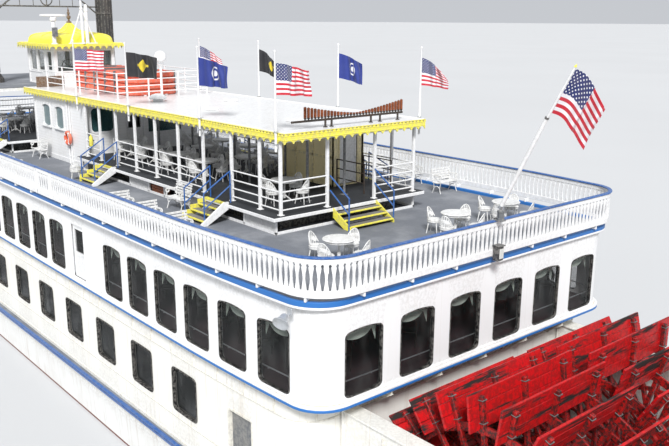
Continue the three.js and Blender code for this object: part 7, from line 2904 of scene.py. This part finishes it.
@dataclass
class WheelBeam:
    """A deep plated beam that carries one end of the wheel's shaft in a split bearing."""

    station: float = -3.25
    height: float = 2.55
    bore: float = 0.201

    @staticmethod
    def bend(a: tuple[float, float], b: tuple[float, float], c: tuple[float, float]) -> Array:
        """Eight places along a curve from a to c that is pulled towards b."""
        t = np.linspace(0, 1, 8)[:, None]
        return (1 - t) ** 2 * np.array(a) + 2 * t * (1 - t) * np.array(b) + t**2 * np.array(c)

    def half_outline(self, upper: bool, inset: float = 0.0) -> list[tuple[float, float]]:
        """The beam's outline above or below the shaft's line, round the bearing."""
        x, z, r = self.station, self.height, self.bore
        if upper:
            rim = np.concatenate([[(0.5494 - inset, z), (0.5494 - inset, 4.8 - inset)],
                                  self.bend((-3.6, 4.8 - inset), (-4.3 + inset, 4.7 - inset), (-4.4 + inset, 3.6)),
                                  [(-4.4 + inset, z)]])
            hole = arc((x, z), r, 180, 0, 13)
        else:
            rim = np.concatenate([[(-4.4 + inset, z)],
                                  self.bend((-4.4 + inset, 1.9), (-4.3 + inset, 1.5 + inset), (-3.6, 1.4 + inset)),
                                  [(0.5494 - inset, 0.5 + inset), (0.5494 - inset, z)]])
            hole = arc((x, z), r, 0, -180, 13)
        return [tuple(p) for p in np.concatenate([rim, hole])]

    def build(self) -> None:
        """Builds the beam on each side: web, flange, stiffeners, bearing and its bolts."""
        for side, name in SIDES:
            piece = Piece(f"wheel_carrier_{name}", slot="cream_paint", replaces=(f"wheel_beam_{name}",))
            low, high = sorted((side * 4.3, side * 4.8))
            for upper in (True, False):
                web = self.half_outline(upper, 0.05)
                piece.add(prism(web, low + 0.05, high - 0.05, "xz"), Finish.CREAM_PLATING)
                rim = np.array(self.half_outline(upper))[:-13]
                path = spread(rim[:, 0], (low + high) / 2, rim[:, 1])
                fine = [path[0]]
                for p, q in zip(path[:-1], path[1:]):
                    fine += [p + (q - p) * f for f in np.linspace(0, 1, max(2, int(np.linalg.norm(q - p) / 0.4)))[1:]]
                flange = box_section(high - low, 0.05, 0.006, -0.05)[:, ::-1]
                piece.add(sweep(np.array(fine), flange, up=(0, 1, 0)), Finish.CREAM_PLATING)
            x, z, r = self.station, self.height, self.bore
            for y in (low + 0.02, high - 0.02):
                ring = [(r, -0.07), (r + 0.17, -0.07), (r + 0.19, -0.05), (r + 0.19, 0.05), (r + 0.17, 0.07),
                        (r, 0.07)]
                offset = y - (low + high) / 2
                shift = np.sign(offset) * -0.05
                piece.add(PaddleWheel.hoop(ring).moved(x, y + shift, z), Finish.GREY_STEEL)
            heads = np.array([(x + a, 0, z + b) for a in (-0.29, 0.29) for b in (-0.07, 0.07)])
            piece.add(rods(heads + (0, low + 0.002, 0), heads + (0, high - 0.002, 0), 0.03, 6), Finish.GREY_STEEL)
            ribs = [(-0.9, 3.1), (-2.2, 3.2)]
            for a, b in ribs:
                piece.add(board(a - 0.02, a + 0.02, low + 0.005, high - 0.005, b - 1.2, b + 1.55), Finish.CREAM)
            piece.make()


@dataclass
class BowGear:
    """Jackstaff, capstan and bitts on the bow."""

    def build(self) -> None:
        """Turns and forges each piece."""
        z = MAIN_DECK + GAP
        staff = Piece("bow_staff", slot="white_paint", replaces=("jackstaff",))
        staff.add(lathe([(0, 0), (0.2, 0), (0.2, 0.03), (0.14, 0.06), (0.12, 0.28), (0.095, 0.3), (0.088, 1.5),
                         (0.075, 4.0), (0.05, 7.35), (0.075, 7.4), (0.08, 7.5), (0.05, 7.66),
                         (0, 9.5 - z)], (48.2, 0, z), 20), Finish.WHITE)
        staff.make()
        capstan = Piece("capstan_barrel", slot="black_paint", replaces=("capstan",))
        capstan.add(lathe([(0, 0), (0.5, 0), (0.5, 0.1), (0.48, 0.12), (0.32, 0.22), (0.28, 0.3), (0.26, 0.45),
                           (0.26, 0.6), (0.3, 0.68), (0.42, 0.78), (0.42, 0.92), (0.4, 0.945), (0, 0.95)],
                          (45.6, 0, z), 32), Finish.BLACK)
        turn = angles(8)
        foot = circle((45.6, 0, z + 0.44), 0.29, turn)
        capstan.add(blocks(foot, (0.03, 0.03, 0.2), Furniture.turns(turn), 0.012), Finish.BLACK)
        slots = circle((45.6, 0, z + 0.9), 0.34, turn)
        capstan.add(blocks(slots, (0.06, 0.03, 0.03), Furniture.turns(turn), 0.006), Finish.IRON)
        capstan.make()
        for side, name in SIDES:
            y = side * 2.7
            piece = Piece(f"mooring_{name}", slot="black_paint", replaces=(f"bitts_{name}",))
            piece.add(board(44.3, 45.6, y - 0.2, y + 0.2, z, z + 0.08, 0.02), Finish.BLACK)
            posts = [(44.6, y, z), (45.3, y, z)]
            piece.add(lathe([(0, 0), (0.15, 0), (0.15, 0.6), (0.15, 0.64), (0.17, 0.66), (0.17, 0.68), (0.15, 0.698),
                             (0, 0.699)], sides=20).copies(np.array(posts)), Finish.BLACK)
            piece.add(rods([(44.42, y, z + 0.46)], [(45.48, y, z + 0.46)], 0.055, 12), Finish.BLACK)
            bolts = np.array([(a, y + b, z + 0.08) for a in (44.36, 44.95, 45.54) for b in (-0.15, 0.15)])
            piece.add(rods(bolts, bolts + (0, 0, 0.03), 0.025, 6), Finish.GALVANISED)
            piece.make()


@dataclass
class Fixtures:
    """Lamps, boxes and sockets on the outside of the decks."""

    def build(self) -> None:
        """Sets the flood lamps, the stern lantern and the stern light."""
        lamps = Piece("flood_lamps", slot="engine_steel")
        for side in BOTH:
            y = side * 6.2
            lamps.add(board(0.66, 0.84, *sorted((y - side * 0.01, y + side * 0.03)), 7.55, 7.74, 0.01),
                      Finish.GALVANISED)
            lamps.add(rods([(0.75, y, 7.62)], [(0.75, y + side * 0.16, 7.56)], 0.018, 8), Finish.GALVANISED)
            shade = [(0.001, 0), (0.07, 0), (0.1, 0.05), (0.11, 0.12), (0.17, 0.24), (0.2, 0.26), (0.2, 0.28),
                     (0.165, 0.26), (0.001, 0.2)]
            hood = lathe(shade, sides=24).turned(118, "Y").turned(90 * side + 25, "Z").moved(0.75, y + side * 0.14, 7.6)
            lamps.add(hood, Finish.GALVANISED)
        lamps.make()
        lantern = Piece("stern_lantern", slot="black_paint")
        lantern.add(board(-0.45, -0.26, 0.0, 0.24, 7.96, 8.36, 0.02), Finish.BLACK)
        lantern.add(board(-0.48, -0.45, 0.04, 0.2, 8.03, 8.3, 0.01), Finish.LAMP)
        lantern.add(board(-0.49, -0.25, -0.02, 0.26, 8.36, 8.39, 0.008), Finish.BLACK)
        lantern.make()
        light = Piece("stern_light", slot="grey_deck_paint")
        light.add(lathe([(0, 0), (0.1, 0), (0.1, 0.05), (0.085, 0.06), (0.085, 0.2), (0.1, 0.21), (0.1, 0.25),
                         (0.05, 0.28), (0, 0.285)], (-0.37, 0.12, 9.07), 20), Finish.GREY_STEEL)
        light.add(board(-0.48, -0.2, 0.02, 0.22, 9.045, 9.071, 0.006), Finish.GREY_STEEL)
        light.make()
        self.dress()

    @staticmethod
    def dress() -> None:
        """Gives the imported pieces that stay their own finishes."""
        kept = {"rudder_port": Finish.ANTIFOUL, "rudder_starboard": Finish.ANTIFOUL, "engine": Finish.ENGINE}
        for name, finish in kept.items():
            for place in frame["nodes"][name].material_slots:
                place.material = finish.material()


# ---------------------------------------------------------------- studio


@dataclass
class Studio:
    """The floor, the soft light and the camera.

    Args:
        place: The camera's place, in the model's metres.
        yaw, pitch, roll: Its turn, fall and tilt in degrees.
        lens: Focal length over a 36 mm frame.
    """

    place: tuple[float, float, float] = (-17.466, 8.295, 7.057)
    yaw: float = -40.543
    pitch: float = 14.270
    roll: float = 0.327
    lens: float = 42.86

    def build(self) -> None:
        """Lays the floor at the waterline, lights it and sets the camera."""
        self.floor()
        self.light()
        self.camera()

    @staticmethod
    def floor() -> None:
        """Lays a wide floor at the waterline."""
        mesh = bpy.data.meshes.new("studio_floor")
        half = 3000.0
        mesh.from_pydata([(-half, -half, 0), (half, -half, 0), (half, half, 0), (-half, half, 0)], [], [(0, 1, 2, 3)])
        mesh.materials.append(Finish.FLOOR.material())
        floor = bpy.data.objects.new("studio_floor", mesh)
        bpy.context.scene.collection.objects.link(floor)

    @staticmethod
    def light() -> None:
        """A pale sky, one broad soft sun and a weaker fill."""
        world = bpy.data.worlds.new("studio")
        world.use_nodes = True
        sky = world.node_tree.nodes["Background"]
        sky.inputs["Color"].default_value = (0.84, 0.87, 0.92, 1.0)
        sky.inputs["Strength"].default_value = 0.68
        bpy.context.scene.world = world
        lamps = (("sun", 4.3, 14.0, (49.0, 0.0, 230.0)), ("fill", 0.35, 60.0, (55.0, 0.0, 90.0)))
        for name, power, wide, turn in lamps:
            lamp = bpy.data.lights.new(name, "SUN")
            lamp.energy = power
            lamp.angle = float(np.radians(wide))
            made = bpy.data.objects.new(name, lamp)
            made.rotation_euler = tuple(np.radians(turn))
            bpy.context.scene.collection.objects.link(made)
        bpy.context.scene.view_settings.view_transform = "Standard"

    def camera(self) -> None:
        """Stands the camera where the photograph was taken from.

        Its axes are the level right and the up of its line of sight, turned by the roll.
        """
        yaw, pitch, roll = np.radians((self.yaw, self.pitch, self.roll))
        ahead = np.array([np.cos(yaw) * np.cos(pitch), np.sin(yaw) * np.cos(pitch), -np.sin(pitch)])
        level = np.array([np.sin(yaw), -np.cos(yaw), 0.0])
        up = np.cross(level, ahead)
        right, top = level * np.cos(roll) + up * np.sin(roll), up * np.cos(roll) - level * np.sin(roll)
        lens = bpy.data.cameras.new("camera")
        lens.lens = self.lens
        lens.sensor_width = 36.0
        lens.clip_end = 5000.0
        camera = bpy.data.objects.new("camera", lens)
        turn = Matrix(np.stack([right, top, -ahead], axis=1).tolist()).to_4x4()
        camera.matrix_world = Matrix.Translation(self.place) @ turn
        bpy.context.scene.collection.objects.link(camera)
        bpy.context.scene.camera = camera


AFT_BAYS = ((7.4, Bay.LOUVRES), (9.4, Bay.OPEN), (11.16, Bay.LOUVRES), (12.51, Bay.OPEN), (13.68, Bay.JACKETS),
            (15.2, Bay.LOUVRES), (17.4, Bay.OPEN), (18.4, Bay.LOUVRES), (19.56, Bay.OPEN))
FORE_BAYS = ((28.0, Bay.OPEN), (30.4, Bay.LOUVRES), (33.0, Bay.OPEN), (35.5, Bay.LOUVRES))


def main() -> None:
    """Builds every sub-assembly in order, from the hull up."""
    logging.basicConfig(level=logging.INFO, format="%(message)s")
    Studio().build()
    works = (
        Hull(), MainDeck(), MainCabin(), SecondDeck(), Saloon(), PromenadeDeck(), Balustrade(),
        RaisedDeck("aft", 5.45, 19.6 - GAP, 3.2, (8.65, 16.65), AFT_BAYS),
        RaisedDeck("forward", 25.6, 35.6, 4.0, (26.6,), FORE_BAYS),
        Posts(), Roof(), Deckhouse(), Companion(), BridgeDeck(), LifeFloats(), Pilothouse(), Canopy(),
        Stacks(), MastAndRadar(), Calliope(), Flags(), Furniture(), PaddleWheel(), WheelBeam(), BowGear(), Fixtures(),
    )
    for work in works:
        log.info("building %s", type(work).__name__)
        work.build()


if __name__ == "__main__":
    main()
